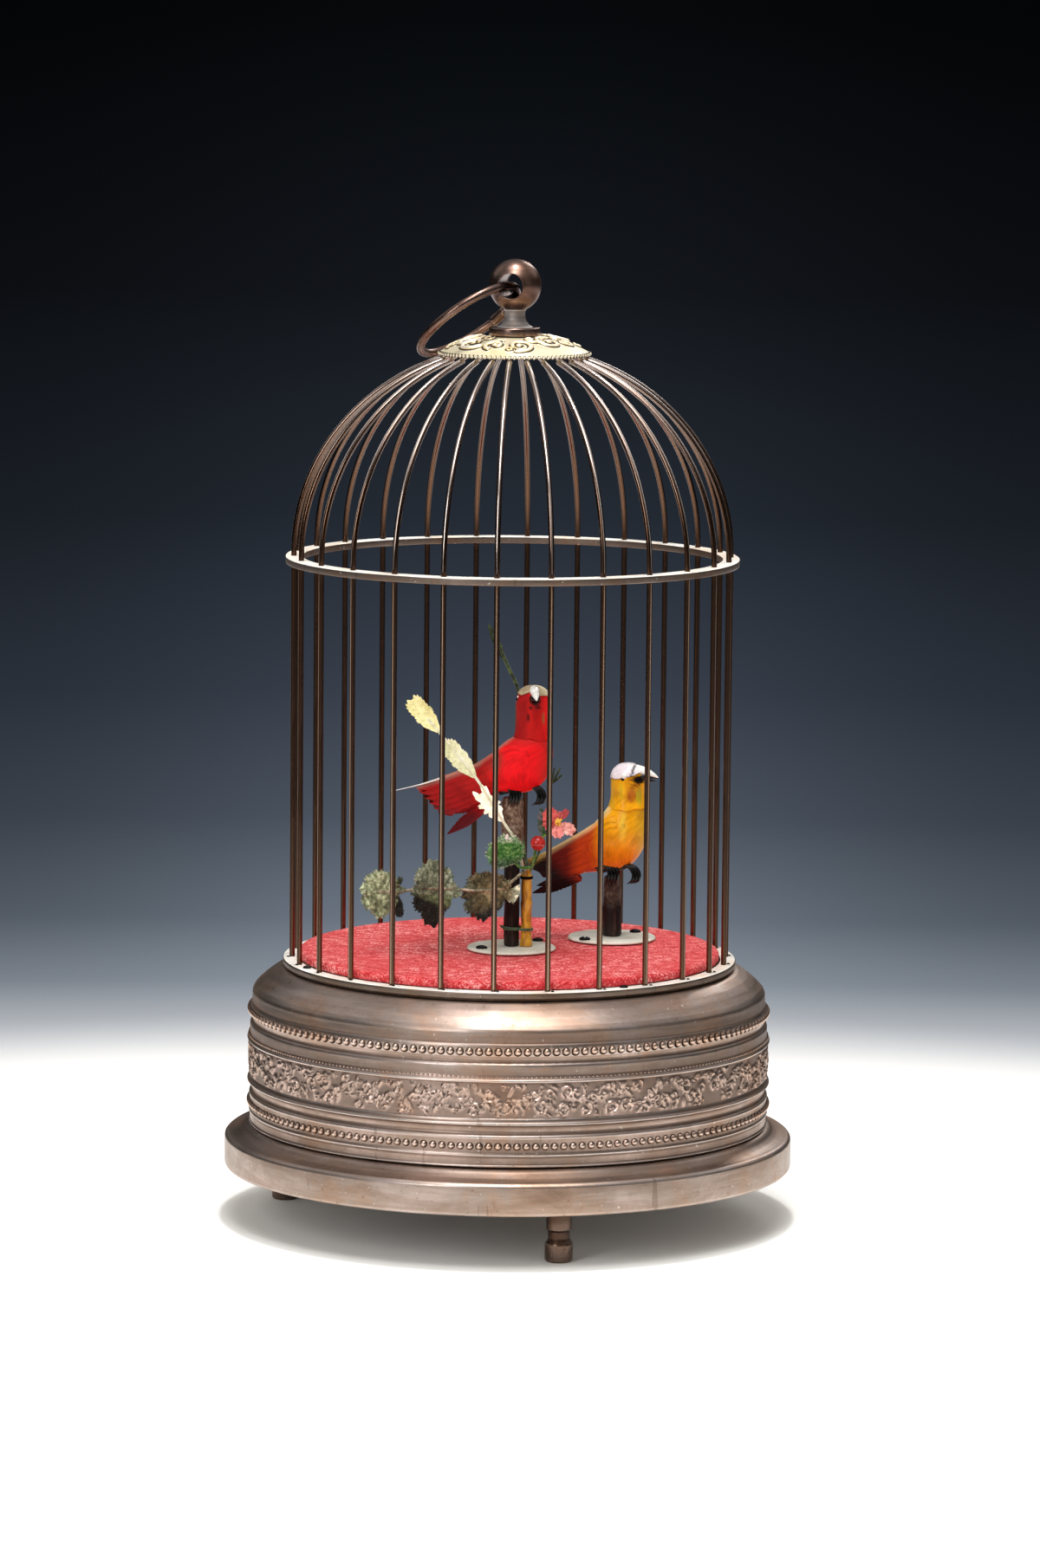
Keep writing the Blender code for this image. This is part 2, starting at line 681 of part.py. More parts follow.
def build_bird_body(bird):
    """The stuffed body, with two folded wings and the hole for the push rod."""
    name = bird["name"]
    skin = finish(*bird["skin"], 0.8, 0)
    sections = [bird_section(bird, *section) for section in bird["sections"]]
    body = loft(name + "_body", sections, skin)
    shoulder, tip = bird["wing_spread"]
    first, last = bird["wing"][0][0], bird["wing"][3][0]
    for sign in (1, -1):
        shape = bmesh.new()
        faces = []
        for thickness in (0.0, 1.6):
            ring = []
            for x, z in bird["wing"]:
                share = (first - x) / (first - last)
                across = shoulder + (tip - shoulder) * share - 1.6 + thickness
                ring.append(shape.verts.new(bird_point(bird, x, z, sign * across)))
            faces.append(ring)
        count = len(bird["wing"])
        shape.faces.new(faces[0])
        shape.faces.new(faces[1])
        for k in range(count):
            after = (k + 1) % count
            shape.faces.new((faces[0][k], faces[0][after], faces[1][after], faces[1][k]))
        bmesh.ops.recalc_face_normals(shape, faces=shape.faces)
        bmesh.ops.triangulate(shape, faces=shape.faces)
        mesh = bpy.data.meshes.new(name + "_wing")
        shape.to_mesh(mesh)
        shape.free()
        weld_on(body, place(name + "_wing", mesh, skin, HELPERS))
    low, high = SHORT_POST_TOP - 10 * MM, bird["rod_hole"] * MM
    cut(body, rod(name + "_hole", 2 * PUSH_ROD_RADIUS, low, high, bird["post"], skin, 8, HELPERS))
    without_scraps(body)


def build_bird_head(bird):
    """The head and neck, a turned bust with the upper beak, and the lower beak under it."""
    name = bird["name"]
    skin = finish(*bird["skin"], 0.8, 0)
    horn = finish("beak_horn", (0.75, 0.72, 0.62), 0.4, 0)
    x, bottom = bird["head"]
    base = bird_point(bird, x, bottom)
    top, r = bird["crown"] * MM, bird["head_radius"] * MM
    foot = base.z + 0.2 * MM
    profile = [
        (0, top), (0.42 * r, top - 0.35 * MM), (0.76 * r, top - 1.6 * MM), (0.95 * r, top - 3.4 * MM),
        (0.98 * r, top - 6.0 * MM), (0.97 * r, top - 9.4 * MM), (1.03 * r, foot), (0, foot),
    ]
    head = lathe(name + "_head", profile, skin, (base.x, base.y), steps=12)
    face = math.radians(bird["face"])
    ahead = Vector((math.cos(face), math.sin(face), 0))
    level = Vector((base.x, base.y, bird["beak_height"] * MM))
    upper = beak_line(level, ahead, [(3.4, 0.9), (5.4, 0.8), (7.4, 0.35), (9.0, -0.4)])
    beak = wire(name + "_upper_beak", upper, 1.5 * MM, horn, radii=[1, 0.86, 0.56, 0.12], group=HELPERS)
    weld_on(head, beak)
    lower = beak_line(level, ahead, [(5.5, -1.55), (7.0, -1.6), (8.5, -1.5)])
    wire(name + "_lower_beak", lower, 0.75 * MM, horn, radii=[1, 0.8, 0.2])


def beak_line(level, ahead, steps):
    """Points ahead of the head's axis and above the level of the beak, in millimetres."""
    return [level + ahead * out * MM + Vector((0, 0, up * MM)) for out, up in steps]


def build_bird_tail(bird):
    """A fan of tail feathers, hinged across its root."""
    name = bird["name"]
    skin = finish(*bird["skin"], 0.8, 0)
    (x0, z0), (x1, z1) = bird["tail"]
    root, tip = bird_point(bird, x0, z0), bird_point(bird, x1, z1)
    along = (tip - root).normalized()
    side = bird_point(bird, x0, z0, 1) - root
    side.normalize()
    up = along.cross(side).normalized()
    length = (tip - root).length
    narrow, wide = (value * MM for value in bird["tail_width"])
    half = [(0, -narrow), (0.75 * length, -wide), (0.96 * length, -0.75 * wide), (0.9 * length, 0),
            (length, 0.7 * wide), (0.75 * length, wide), (0, narrow)]
    fan = outline(name + "_tail", [half], -0.45 * MM, 0.45 * MM, skin)
    fan.matrix_world = Matrix.Translation(root) @ Matrix((along, side, up)).transposed().to_4x4()


def toe(name, x, y, height):
    """One flat curled toe: forward from the saddle, up over the perch and down in front."""
    outer = [(-0.9, -0.35), (-0.9, 0.35), (2.8, 0.6), (3.9, 2.1), (5.3, 1.8), (6.2, 0.2), (5.5, -3.3)]
    inner = [(4.8, 1.0), (4.1, 1.0), (3.5, -0.35)]
    loop = [(-ahead * MM, rise * MM) for ahead, rise in outer + inner]
    made = outline(name, [loop], -0.4 * MM, 0.4 * MM, black(), HELPERS)
    upright = Matrix(((0, 0, 1), (1, 0, 0), (0, 1, 0))).to_4x4()
    made.matrix_world = Matrix.Translation((x, y, height)) @ upright
    return made


def build_bird_claws(bird):
    """Wire feet: a saddle under the belly that carries three curled toes on each side."""
    name, height = bird["name"], bird["toe_height"] * MM
    y = bird["post"][1] - 2.4 * MM
    left, right = (x * MM for x in bird["toes"])
    spread = 1.25 * MM
    low = (left - 1.9 * MM, y - 0.45 * MM, height - 0.5 * MM)
    claws = block(name + "_claws", low, (right + 1.9 * MM, y + 0.45 * MM, height + 0.45 * MM), black())
    for k, x in enumerate((left - spread, left, left + spread, right - spread, right, right + spread)):
        weld_on(claws, toe(f"{name}_toe_{k}", x, y, height))


def leaf_outline(length, width, teeth):
    """A leaf with a toothed edge; its short stalk starts just behind the origin."""
    points = [(-0.7 * MM, -0.25 * MM)]
    for k in range(1, teeth):
        share = k / teeth
        notch = 0.86 if k % 2 else 1.0
        points.append((length * share, -width * math.sin(math.pi * share ** 0.8) * notch))
    points.append((length, 0))
    return points + [(x, -y) for x, y in reversed(points[:-1])]


def leaf(name, base, tip, width, look, facing=(0, -1, 0), teeth=6):
    """A flat leaf from its stalk to its tip, facing the way given."""
    base, tip = (Vector(value) * MM for value in (base, tip))
    along = (tip - base).normalized()
    up = Vector(facing)
    up = (up - along * up.dot(along)).normalized()
    across = up.cross(along)
    points = leaf_outline((tip - base).length, width * MM, teeth)
    blade = outline(name, [points], -0.25 * MM, 0.25 * MM, look, HELPERS)
    blade.matrix_world = Matrix.Translation(base) @ Matrix((along, across, up)).transposed().to_4x4()
    return blade


def stem(name, points, look, radius=0.4, group=None):
    return wire(name, in_mm(points), radius * MM, look, round_steps=0, group=group)


def build_foliage():
    """Fabric leaves and a flower on wires that rise from the stem tube."""
    pale = finish("leaf_pale", (0.72, 0.68, 0.42), 0.8, 0)
    silver = finish("leaf_silver", (0.26, 0.29, 0.23), 0.7, 0.1)
    green = finish("leaf_green", (0.10, 0.32, 0.08), 0.7, 0)
    pink = finish("flower_pink", (0.72, 0.20, 0.20), 0.7, 0)

    upper = as_mesh(stem("leaf_spray_upper", [
        (3.9, -3.4, 102.4), (3.3, -6.2, 105.0), (1.6, -7.1, 111.0), (-1.6, -8.0, 116.0),
        (-9.6, -9.8, 129.0), (-15.0, -9.6, 135.8), (-20.6, -9.2, 142.6)], pale))
    weld_on(upper, leaf("pale_leaf_low", (-1.9, -8.1, 116.5), (-9.8, -9.9, 127.0), 2.6, pale),
            leaf("pale_leaf_middle", (-9.8, -9.8, 129.3), (-19.8, -9.4, 140.9), 2.7, pale),
            leaf("pale_leaf_high", (-20.3, -9.2, 142.3), (-29.6, -9.0, 153.0), 2.9, pale))

    lower = as_mesh(stem("leaf_spray_lower", [
        (4.9, -4.6, 102.5), (4.0, -7.4, 102.3), (-3.6, -10.4, 97.4), (-10.0, -11.2, 95.6),
        (-20.6, -11.5, 95.2), (-34.0, -11.8, 96.2)], silver))
    weld_on(lower, leaf("silver_leaf_near", (-2.6, -10.1, 97.7), (-14.6, -11.4, 95.6), 6.6, silver),
            leaf("silver_leaf_middle", (-17.0, -11.4, 95.3), (-29.8, -11.9, 97.0), 7.4, silver),
            leaf("silver_leaf_far", (-33.2, -11.8, 96.1), (-43.8, -12.0, 97.4), 6.4, silver))

    sprig = as_mesh(stem("flower_sprig", [
        (6.0, -3.9, 102.4), (6.8, -7.4, 104.6), (8.0, -8.6, 110.6), (13.6, -8.8, 116.6)], green))
    weld_on(sprig, ball("berry", 2.2 * MM, spot(8.0, -8.6, 110.6), pink, rings=4, group=HELPERS),
            leaf("dark_leaf", (9.4, -8.7, 112.2), (8.9, -8.9, 119.9), 1.4, green, teeth=3),
            leaf("green_leaf", (6.7, -7.3, 104.5), (-6.6, -9.8, 109.6), 4.8, green))
    flower = outline("flower", [petals(5, 1.6 * MM, 4.8 * MM)], -0.3 * MM, 0.3 * MM, pink, HELPERS)
    flower.matrix_world = Matrix.Translation(spot(14.0, -8.9, 117.0)) @ UPRIGHT
    without_scraps(weld_on(sprig, flower))

    twig = as_mesh(stem("back_twig", [
        (5.3, -2.7, 102.4), (3.8, 4.4, 108.0), (2.0, 8.8, 124.0), (1.6, 7.6, 146.0),
        (2.0, 5.2, 153.0), (-5.2, 4.2, 170.0)], green, 0.45))
    weld_on(twig, leaf("twig_leaf", (-1.6, 4.7, 161.5), (-6.8, 4.2, 172.6), 1.2, green, teeth=3))


def petals(count, inner, outer):
    """The outline of a flat flower with rounded petals."""
    points = []
    for k in range(count * 3):
        turn = 2 * math.pi * k / (count * 3)
        points.append(polar((inner, outer, outer)[k % 3], turn))
    return points


def build_plates():
    """The movement's two plates: riveted pillars below, lever brackets above."""
    arbors = [CAM_AXIS, CRANK_AXIS, FLY_AXIS]
    rim = circle(PLATES_RADIUS, ROUND_STEPS)
    centre = circle(ARBOR_RADIUS + GAP, 12)
    pivots = [circle(PIVOT_HOLE, 8, axis) for axis in arbors]
    slot = circle(4.2 * MM, 8, STOP_FINGER)
    lower = as_mesh(outline("lower_plate", [rim, centre, slot, *pivots], *LOWER_PLATE, brass()))
    bottom, top = PLINTH_BOTTOM + COVER_THICKNESS + GAP, UPPER_PLATE[0] - GAP
    for k, post in enumerate(PILLARS):
        weld_on(lower, rod(f"pillar_{k}", PILLAR_RADIUS, bottom, top, spot(*post), brass(), 8, HELPERS))
    shafts = [circle(SHAFT_HOLE, 8, axis) for axis in (CAM_AXIS, CRANK_AXIS)]
    studs = [circle(STUD_RADIUS + GAP, 8, axis) for axis in (WHISTLE_PIVOT, click_pivot())]
    fly = circle(PIVOT_HOLE, 8, FLY_AXIS)
    upper = as_mesh(outline("upper_plate", [rim, centre, fly, *shafts, *studs], *UPPER_PLATE, brass()))
    for name, pivot, rod_end in (("red", RED_PIVOT, TALL_POST), ("yellow", YELLOW_PIVOT, SHORT_POST)):
        weld_on(upper, *lever_ears(name, pivot, rod_end))


def lever_ears(name, pivot, rod_end):
    """Two upright ears, each with a hole for the lever's pivot pin."""
    turn = direction(pivot, rod_end)
    ears = []
    for side, sign in (("left", 1), ("right", -1)):
        half = 2.2 * MM
        loop = [(-half, 0), (half, 0), (half, 10.2 * MM), (0, 11.6 * MM), (-half, 10.2 * MM)]
        hole = circle(LEVER_PIN + GAP, 6, (0, LEVER_AXIS - UPPER_PLATE[1] + 0.6 * MM))
        ear = outline(f"{name}_ear_{side}", [loop, hole], -0.6 * MM, 0.6 * MM, brass(), HELPERS)
        across = Vector((-math.sin(turn), math.cos(turn), 0)) * 3.2 * MM * sign
        foot = Vector((*pivot, UPPER_PLATE[1] - 0.6 * MM)) + across
        ear.matrix_world = Matrix.Translation(foot) @ Matrix.Rotation(turn, 4, "Z") @ UPRIGHT
        ears.append(ear)
    return ears


def build_barrel():
    """The going barrel: great wheel, drum, lid and the mainspring inside."""
    facing = direction(BARREL_AXIS, CAM_AXIS)
    bore = ARBOR_RADIUS + GAP
    loops = [gear(*GREAT_WHEEL, facing), circle(bore, 12)]
    barrel = as_mesh(outline("spring_barrel", loops, 26 * MM, 28 * MM, brass()))
    wall, floor = 18.8 * MM, 29.0 * MM
    cup = [(wall, 42.6 * MM), (BARREL_RADIUS, 42.6 * MM), (BARREL_RADIUS, 27.0 * MM),
           (6.0 * MM, 27.0 * MM), (6.0 * MM, floor), (wall, floor)]
    weld_on(barrel, lathe("barrel_cup", cup, brass(), closed=True, steps=BARREL_STEPS, group=HELPERS))
    lid = [circle(wall - 2 * GAP, BARREL_STEPS), circle(bore, 12)]
    outline("barrel_lid", lid, 41.2 * MM, 42.6 * MM, brass())

    turns, points_per_turn, strip = 4, 8, 0.5 * MM
    count = turns * points_per_turn
    start, reach = 4.4 * MM, 13.0 * MM
    inner, outer = [], []
    for k in range(count + 1):
        angle = 2 * math.pi * k / points_per_turn
        radius = start + reach * k / count
        inner.append(polar(radius, angle))
        outer.append(polar(radius + strip, angle))
    outline("mainspring", [inner + outer[::-1]], 29.6 * MM, 40.8 * MM, steel())


def build_winding():
    """The arbor through the barrel, its ratchet wheel and the key under the base."""
    thick, thin = ARBOR_RADIUS / MM, 2.2
    profile = in_mm([
        (0, 50.6), (thin, 50.6), (thin, 48.9), (thick, 48.9),
        (thick, 19.0), (thin, 19.0), (thin, 12.0), (0, 12.0),
    ])
    lathe("winding_arbor", profile, steel(), steps=12)
    pitch = 2 * math.pi / RATCHET_TEETH
    saw = []
    for k in range(RATCHET_TEETH):
        saw.append(polar(RATCHET_RADIUS, k * pitch))
        saw.append(polar(RATCHET_RADIUS - 1.3 * MM, k * pitch + 0.12 * pitch))
    outline("ratchet_wheel", [saw, circle(2.5 * MM, 12)], *CLICK_HEIGHTS, steel())

    hub = in_mm([(0, 11.7), (2.5, 11.7), (2.5, 14.8), (4.2, 14.8), (4.2, 8.6), (3.0, 6.6), (0, 6.6)])
    key = lathe("winding_key", hub, brass(), steps=12)
    lobe = [
        (3.0, 7.2), (8.0, 5.6), (12.2, 6.0), (14.2, 8.0),
        (14.0, 10.4), (11.5, 12.4), (7.0, 12.2), (3.0, 11.0),
    ]
    wings = in_mm(lobe + [(-x, z) for x, z in reversed(lobe)])
    bow = outline("key_bow", [wings], -1.1 * MM, 1.1 * MM, brass(), HELPERS)
    bow.matrix_world = UPRIGHT
    weld_on(key, bow)


def polar(radius, turn, at=(0, 0)):
    return at[0] + radius * math.cos(turn), at[1] + radius * math.sin(turn)


def click_pivot():
    """Where the click turns: outside the ratchet wheel, on its right side."""
    return polar(14.4 * MM, math.radians(-34))


def build_click():
    """The pawl that holds the ratchet wheel, with its own pivot stud."""
    x, y = click_pivot()
    tip = polar(RATCHET_RADIUS - 0.2 * MM, math.radians(3.4))
    beak = polar(RATCHET_RADIUS + 1.6 * MM, math.radians(8.0))
    tail = [(-1.9, 0.6), (-1.2, -1.7), (1.4, -1.7), (2.2, 0.4)]
    inner, outer = polar(11.0 * MM, math.radians(-12)), polar(14.0 * MM, math.radians(-10))
    loop = [tip, inner, *((x + dx * MM, y + dy * MM) for dx, dy in tail), outer, beak]
    pawl = as_mesh(outline("click", [loop[::-1]], *CLICK_HEIGHTS, steel()))
    weld_on(pawl, rod("click_stud", STUD_RADIUS, UPPER_PLATE[0], 49.8 * MM, (x, y), steel(), 8, HELPERS))


def arbor(name, axis, heights, radius, pinion, pinion_heights):
    """A steel arbor with thin pivots and its pinion."""
    bottom, low, high, top = heights
    profile = [
        (0, top), (PIVOT_RADIUS, top), (PIVOT_RADIUS, high), (radius, high),
        (radius, low), (PIVOT_RADIUS, low), (PIVOT_RADIUS, bottom), (0, bottom),
    ]
    shaft = lathe(name, profile, steel(), axis, steps=8)
    leaves = outline(name + "_pinion", [pinion], *pinion_heights, steel(), HELPERS, at=axis)
    return weld_on(shaft, leaves)


def crank_pin():
    """Where the pin of the crank disc stands."""
    return CRANK_AXIS[0], CRANK_AXIS[1] + CRANK_THROW


def build_train():
    """Three arbors from the barrel to the fly, each with its pinion and wheel."""
    low, high = LOWER_PLATE[1] + GAP, UPPER_PLATE[0] - GAP
    to_barrel = direction(CAM_AXIS, BARREL_AXIS)
    pinion = gear(PINION_LEAVES, GREAT_WHEEL[1], to_barrel, gap_there=True)
    cam = arbor("cam_arbor", CAM_AXIS, (LOWER_PLATE[0], low, 54.6 * MM, 55.4 * MM), 1.6 * MM,
                pinion, (25.6 * MM, 28.4 * MM))
    wheel = gear(*CAM_WHEEL, direction(CAM_AXIS, CRANK_AXIS))
    weld_on(cam, outline("cam_wheel", [wheel], 43.8 * MM, 45.2 * MM, brass(), HELPERS, at=CAM_AXIS))

    pinion = gear(PINION_LEAVES, CAM_WHEEL[1], direction(CRANK_AXIS, CAM_AXIS), gap_there=True)
    crank = arbor("crank_arbor", CRANK_AXIS, (LOWER_PLATE[0], low, 49.6 * MM, 50.0 * MM), 1.6 * MM,
                  pinion, (43.4 * MM, 45.6 * MM))
    wheel = gear(*CRANK_WHEEL, direction(CRANK_AXIS, FLY_AXIS))
    weld_on(crank, outline("crank_wheel", [wheel], 30.0 * MM, 31.4 * MM, brass(), HELPERS, at=CRANK_AXIS))
    plate = [circle(6.0 * MM, 16)]
    disc = as_mesh(outline("crank_disc", plate, 50.3 * MM, 51.7 * MM, brass(), at=CRANK_AXIS))
    weld_on(disc, rod("crank_pin", CRANK_PIN, 51.0 * MM, 54.3 * MM, crank_pin(), steel(), 8, HELPERS))

    pinion = gear(PINION_LEAVES, CRANK_WHEEL[1], direction(FLY_AXIS, CRANK_AXIS), gap_there=True)
    fly = arbor("governor_fly", FLY_AXIS, (LOWER_PLATE[0], low, high, UPPER_PLATE[1]), 1.3 * MM,
                pinion, (29.6 * MM, 31.8 * MM))
    turn = direction(FLY_AXIS, STOP_FINGER) + math.pi / 2
    vane = block("fly_vane", spot(-7.0, -0.4, 33.4), spot(7.0, 0.4, 42.6), brass(), HELPERS)
    vane.location.x, vane.location.y = FLY_AXIS
    vane.rotation_euler.z = turn
    weld_on(fly, vane)


def face_cam(name, track, heights, lift, contact, look):
    """A crown cam: a disc with a ring whose top edge rises and falls in even lobes.

    A valley lies under the contact point, where the follower's nose rests.
    """
    bore, (inner, outer) = CAM_BORE, track
    bottom, top, valley = heights
    start = direction(CAM_AXIS, contact)
    count = 2 * CAM_LOBES
    shape = bmesh.new()
    rings = []
    for radius, height, rises in (
        (bore, bottom, False), (outer, bottom, False), (outer, valley, True),
        (inner, valley, True), (inner, top, False), (bore, top, False),
    ):
        ring = []
        for k in range(count):
            rise = lift if rises and k % 2 else 0
            x, y = polar(radius, start + 2 * math.pi * k / count)
            ring.append(shape.verts.new((x, y, height + rise)))
        rings.append(ring)
    for one, other in zip(rings, rings[1:] + rings[:1]):
        for k in range(count):
            after = (k + 1) % count
            shape.faces.new((one[k], other[k], other[after], one[after]))
    bmesh.ops.recalc_face_normals(shape, faces=shape.faces)
    bmesh.ops.triangulate(shape, faces=shape.faces)
    mesh = bpy.data.meshes.new(name)
    shape.to_mesh(mesh)
    shape.free()
    return place(name, mesh, look, None, (*CAM_AXIS, 0))


def build_cams():
    """The cam stack: an edge cam for the whistle and a crown cam for each bird."""
    start = direction(CAM_AXIS, whistle_contact())
    edge = []
    for k in range(2 * CAM_LOBES):
        radius = WHISTLE_CAM_RADIUS + (WHISTLE_LIFT if k % 2 else -WHISTLE_LIFT)
        edge.append(polar(radius, start + math.pi * k / CAM_LOBES))
    outline("whistle_cam", [edge, circle(CAM_BORE, 12)], *WHISTLE_LEVER_HEIGHTS, steel(), at=CAM_AXIS)
    low, high = (51.1 * MM, 52.2 * MM, TRACK_VALLEY), (52.5 * MM, 53.4 * MM, TRACK_VALLEY)
    face_cam("yellow_bird_cam", YELLOW_TRACK, low, YELLOW_LIFT, YELLOW_CONTACT, brass())
    face_cam("red_bird_cam", RED_TRACK, high, RED_LIFT, RED_CONTACT, steel())


def whistle_contact():
    """Where the whistle lever's nose meets its cam, at the front right of the cam axis."""
    return polar(WHISTLE_CAM_RADIUS + WHISTLE_LIFT + GAP, math.radians(-45), CAM_AXIS)


def build_bird_lever(name, pivot, contact, rod_end, lift):
    """A lever over its cam: pivot pin, nose over the track's crests, far end under the push rod."""
    turn = direction(pivot, rod_end)
    length = math.dist(pivot, rod_end)
    half = 1.6 * MM
    near, far = -2.0 * MM, length + 1.8 * MM
    loop = [(near, -half), (far, -half), (far, half), (near, half)]
    lever = outline(name, [loop], LEVER_BOTTOM, LEVER_TOP, brass())
    lever.location = (*pivot, (LEVER_BOTTOM + LEVER_TOP) / 2)
    lever.rotation_euler.z = turn
    lever = as_mesh(lever)
    pin = rod(name + "_pin", LEVER_PIN, -4.4 * MM, 4.4 * MM, (0, 0), steel(), 8, HELPERS)
    axis = Matrix.Translation((*pivot, LEVER_AXIS)) @ Matrix.Rotation(turn, 4, "Z")
    pin.matrix_world = axis @ UPRIGHT
    low, high = TRACK_VALLEY + lift + GAP, LEVER_BOTTOM + 0.5 * MM
    nose = rod(name + "_nose", 0.45 * MM, low, high, contact, steel(), 8, HELPERS, tip=0.9 * MM)
    weld_on(lever, pin, nose)


def build_levers():
    build_bird_lever("red_bird_lever", RED_PIVOT, RED_CONTACT, TALL_POST, RED_LIFT)
    build_bird_lever("yellow_bird_lever", YELLOW_PIVOT, YELLOW_CONTACT, SHORT_POST, YELLOW_LIFT)
    for bird, post in ((RED_BIRD, TALL_POST), (YELLOW_BIRD, SHORT_POST)):
        top = (bird["rod_hole"] - 3.4) * MM
        rod(bird["name"] + "_push_rod", PUSH_ROD_RADIUS, LEVER_TOP + GAP, top, post, steel(), 8)


def build_whistle():
    """The whistle and the air pipe from the bellows, the piston in its bore and its lever."""
    barrel = in_mm([(3.0, 15.0), (4.0, 15.0), (4.0, -17.0), (3.0, -17.0)])
    tube = lathe("whistle_tube", barrel, brass(), closed=True, steps=12)
    tube.location = (WHISTLE_X, WHISTLE_Y, WHISTLE_Z)
    tube.rotation_euler = (0, math.pi / 2, 0)
    foot = block("whistle_foot", spot(4, -49.4, 48.9), spot(12, -43.4, 50.9), brass(), HELPERS)
    mouth = block("whistle_mouth", spot(10, -48, 56), spot(13.5, -44.8, 60), brass(), HELPERS)
    route = in_mm([
        (17.6, -46.4, 54.0), (24.0, -45.4, 54.0), (34.0, -37.0, 54.6), (43.4, -20.0, 56.0),
        (46.4, 2.0, 58.0), (42.0, 22.0, 60.0), (30.0, 36.0, 61.0), (14.6, 40.8, 61.0),
    ])
    pipe = wire("air_pipe", route, 1.5 * MM, brass(), group=HELPERS)
    plug = rod("whistle_block", 3.4 * MM, 11.4 * MM, 15.0 * MM, (0, 0), brass(), 12, HELPERS)
    plug.location = (17.0 * MM, WHISTLE_Y, WHISTLE_Z)
    plug.rotation_euler = (0, math.pi / 2, 0)
    weld_on(tube, foot, plug, pipe)
    cut(tube, mouth)

    profile = in_mm([(0, -1.0), (2.7, -1.0), (2.7, -5.0), (0.8, -5.0), (0.8, -26.4), (0, -26.4)])
    piston = lathe("whistle_piston", profile, finish("piston_wood", (0.55, 0.38, 0.18), 0.6, 0), steps=10)
    piston.location = (WHISTLE_X, WHISTLE_Y, WHISTLE_Z)
    piston.rotation_euler = (0, math.pi / 2, 0)
    build_whistle_lever()


def build_whistle_lever():
    """A flat lever from its nose on the edge cam, past its stud, to a pin under the piston's rod."""
    pivot, nose, end = WHISTLE_PIVOT, whistle_contact(), (WHISTLE_PIVOT[0], WHISTLE_Y)
    corners = (
        (nose, -0.6, -1.5), (nose, -0.2, -0.2), (nose, 0.9, -1.5), (pivot, 2.2, -0.4),
        (end, 1.3, -1.3), (end, -1.3, -1.3), (pivot, -2.2, -0.2), (pivot, -0.6, 1.9),
    )
    loop = [(near[0] + dx * MM, near[1] + dy * MM) for near, dx, dy in corners]
    lever = as_mesh(outline("whistle_lever", [loop], *WHISTLE_LEVER_HEIGHTS, steel()))
    middle = sum(WHISTLE_LEVER_HEIGHTS) / 2
    stud = rod("whistle_lever_stud", STUD_RADIUS, UPPER_PLATE[0], middle, pivot, steel(), 8, HELPERS)
    pin = rod("whistle_lever_pin", 0.8 * MM, middle, WHISTLE_Z - 1.2 * MM, end, steel(), 8, HELPERS)
    weld_on(lever, stud, pin)


def build_bellows():
    """Two boards and a folded leather gusset, worked by a rod from the crank."""
    wood = finish("bellows_wood", (0.45, 0.28, 0.15), 0.6, 0)
    hide_look = finish("bellows_leather", (0.70, 0.60, 0.45), 0.8, 0)
    low, high = BELLOWS_Z
    block("bellows_fixed_board", (-36 * MM, 40 * MM, low), (12 * MM, 41.6 * MM, high), wood)
    half = BOARD_THICKNESS / 2
    board = block("bellows_feeder", (-BELLOWS_LENGTH, -half, low), (0, half, high), wood)
    board.location = (*feeder_point(BELLOWS_LENGTH / 2, 0), (low + high) / 2)
    board.rotation_euler.z = math.radians(BELLOWS_OPEN)
    lug_at = feeder_point(BELLOWS_LENGTH - 3 * MM, LUG_OFFSET)
    lug = rod("feeder_lug", 2.8 * MM, 52.4 * MM, 54.2 * MM, lug_at, brass(), 8, HELPERS)
    pin = rod("feeder_pin", CRANK_PIN, 53.6 * MM, 56.6 * MM, lug_at, steel(), 8, HELPERS)
    weld_on(board, lug, pin)
    near, far = feeder_point(BELLOWS_LENGTH - 2.4 * MM, 1.2 * MM), spot(-33.6, 39.6)
    fold = []
    for k in range(2 * LEATHER_FOLDS + 1):
        share = k / (2 * LEATHER_FOLDS)
        inward = 3.2 * MM if k % 2 else 0
        x, y = (a + (b - a) * share for a, b in zip(near, far))
        fold.append((x + inward, y))
    gusset = [feeder_point(3.2 * MM, 1.2 * MM), *fold, spot(4.6, 39.6)]
    outline("bellows_leather", [gusset[::-1]], low + 2 * GAP, high - 2 * GAP, hide_look)
    build_connecting_rod(lug_at, crank_pin())


def feeder_point(along, across):
    """A plan point on the feeder board, from its hinge towards its free end."""
    x, y = BELLOWS_HINGE
    opening = math.radians(BELLOWS_OPEN)
    back = (-math.cos(opening), -math.sin(opening))
    out = (-math.sin(opening), math.cos(opening))
    return x + back[0] * along + out[0] * across, y + back[1] * along + out[1] * across


def build_connecting_rod(start, end):
    """A flat rod with an eye at each end."""
    turn = direction(start, end)
    length = math.dist(start, end)
    eyes = ((0, 0), (length, 0))
    loop = []
    for first, eye in zip((60, -120), eyes):
        loop += [polar(2.0 * MM, math.radians(first + 60 * k), eye) for k in range(5)]
    holes = [circle(CRANK_PIN + 0.35 * MM, 8, eye) for eye in eyes]
    bar = outline("connecting_rod", [loop, *holes], *ROD_HEIGHTS, brass())
    bar.location = (*start, sum(ROD_HEIGHTS) / 2)
    bar.rotation_euler.z = turn


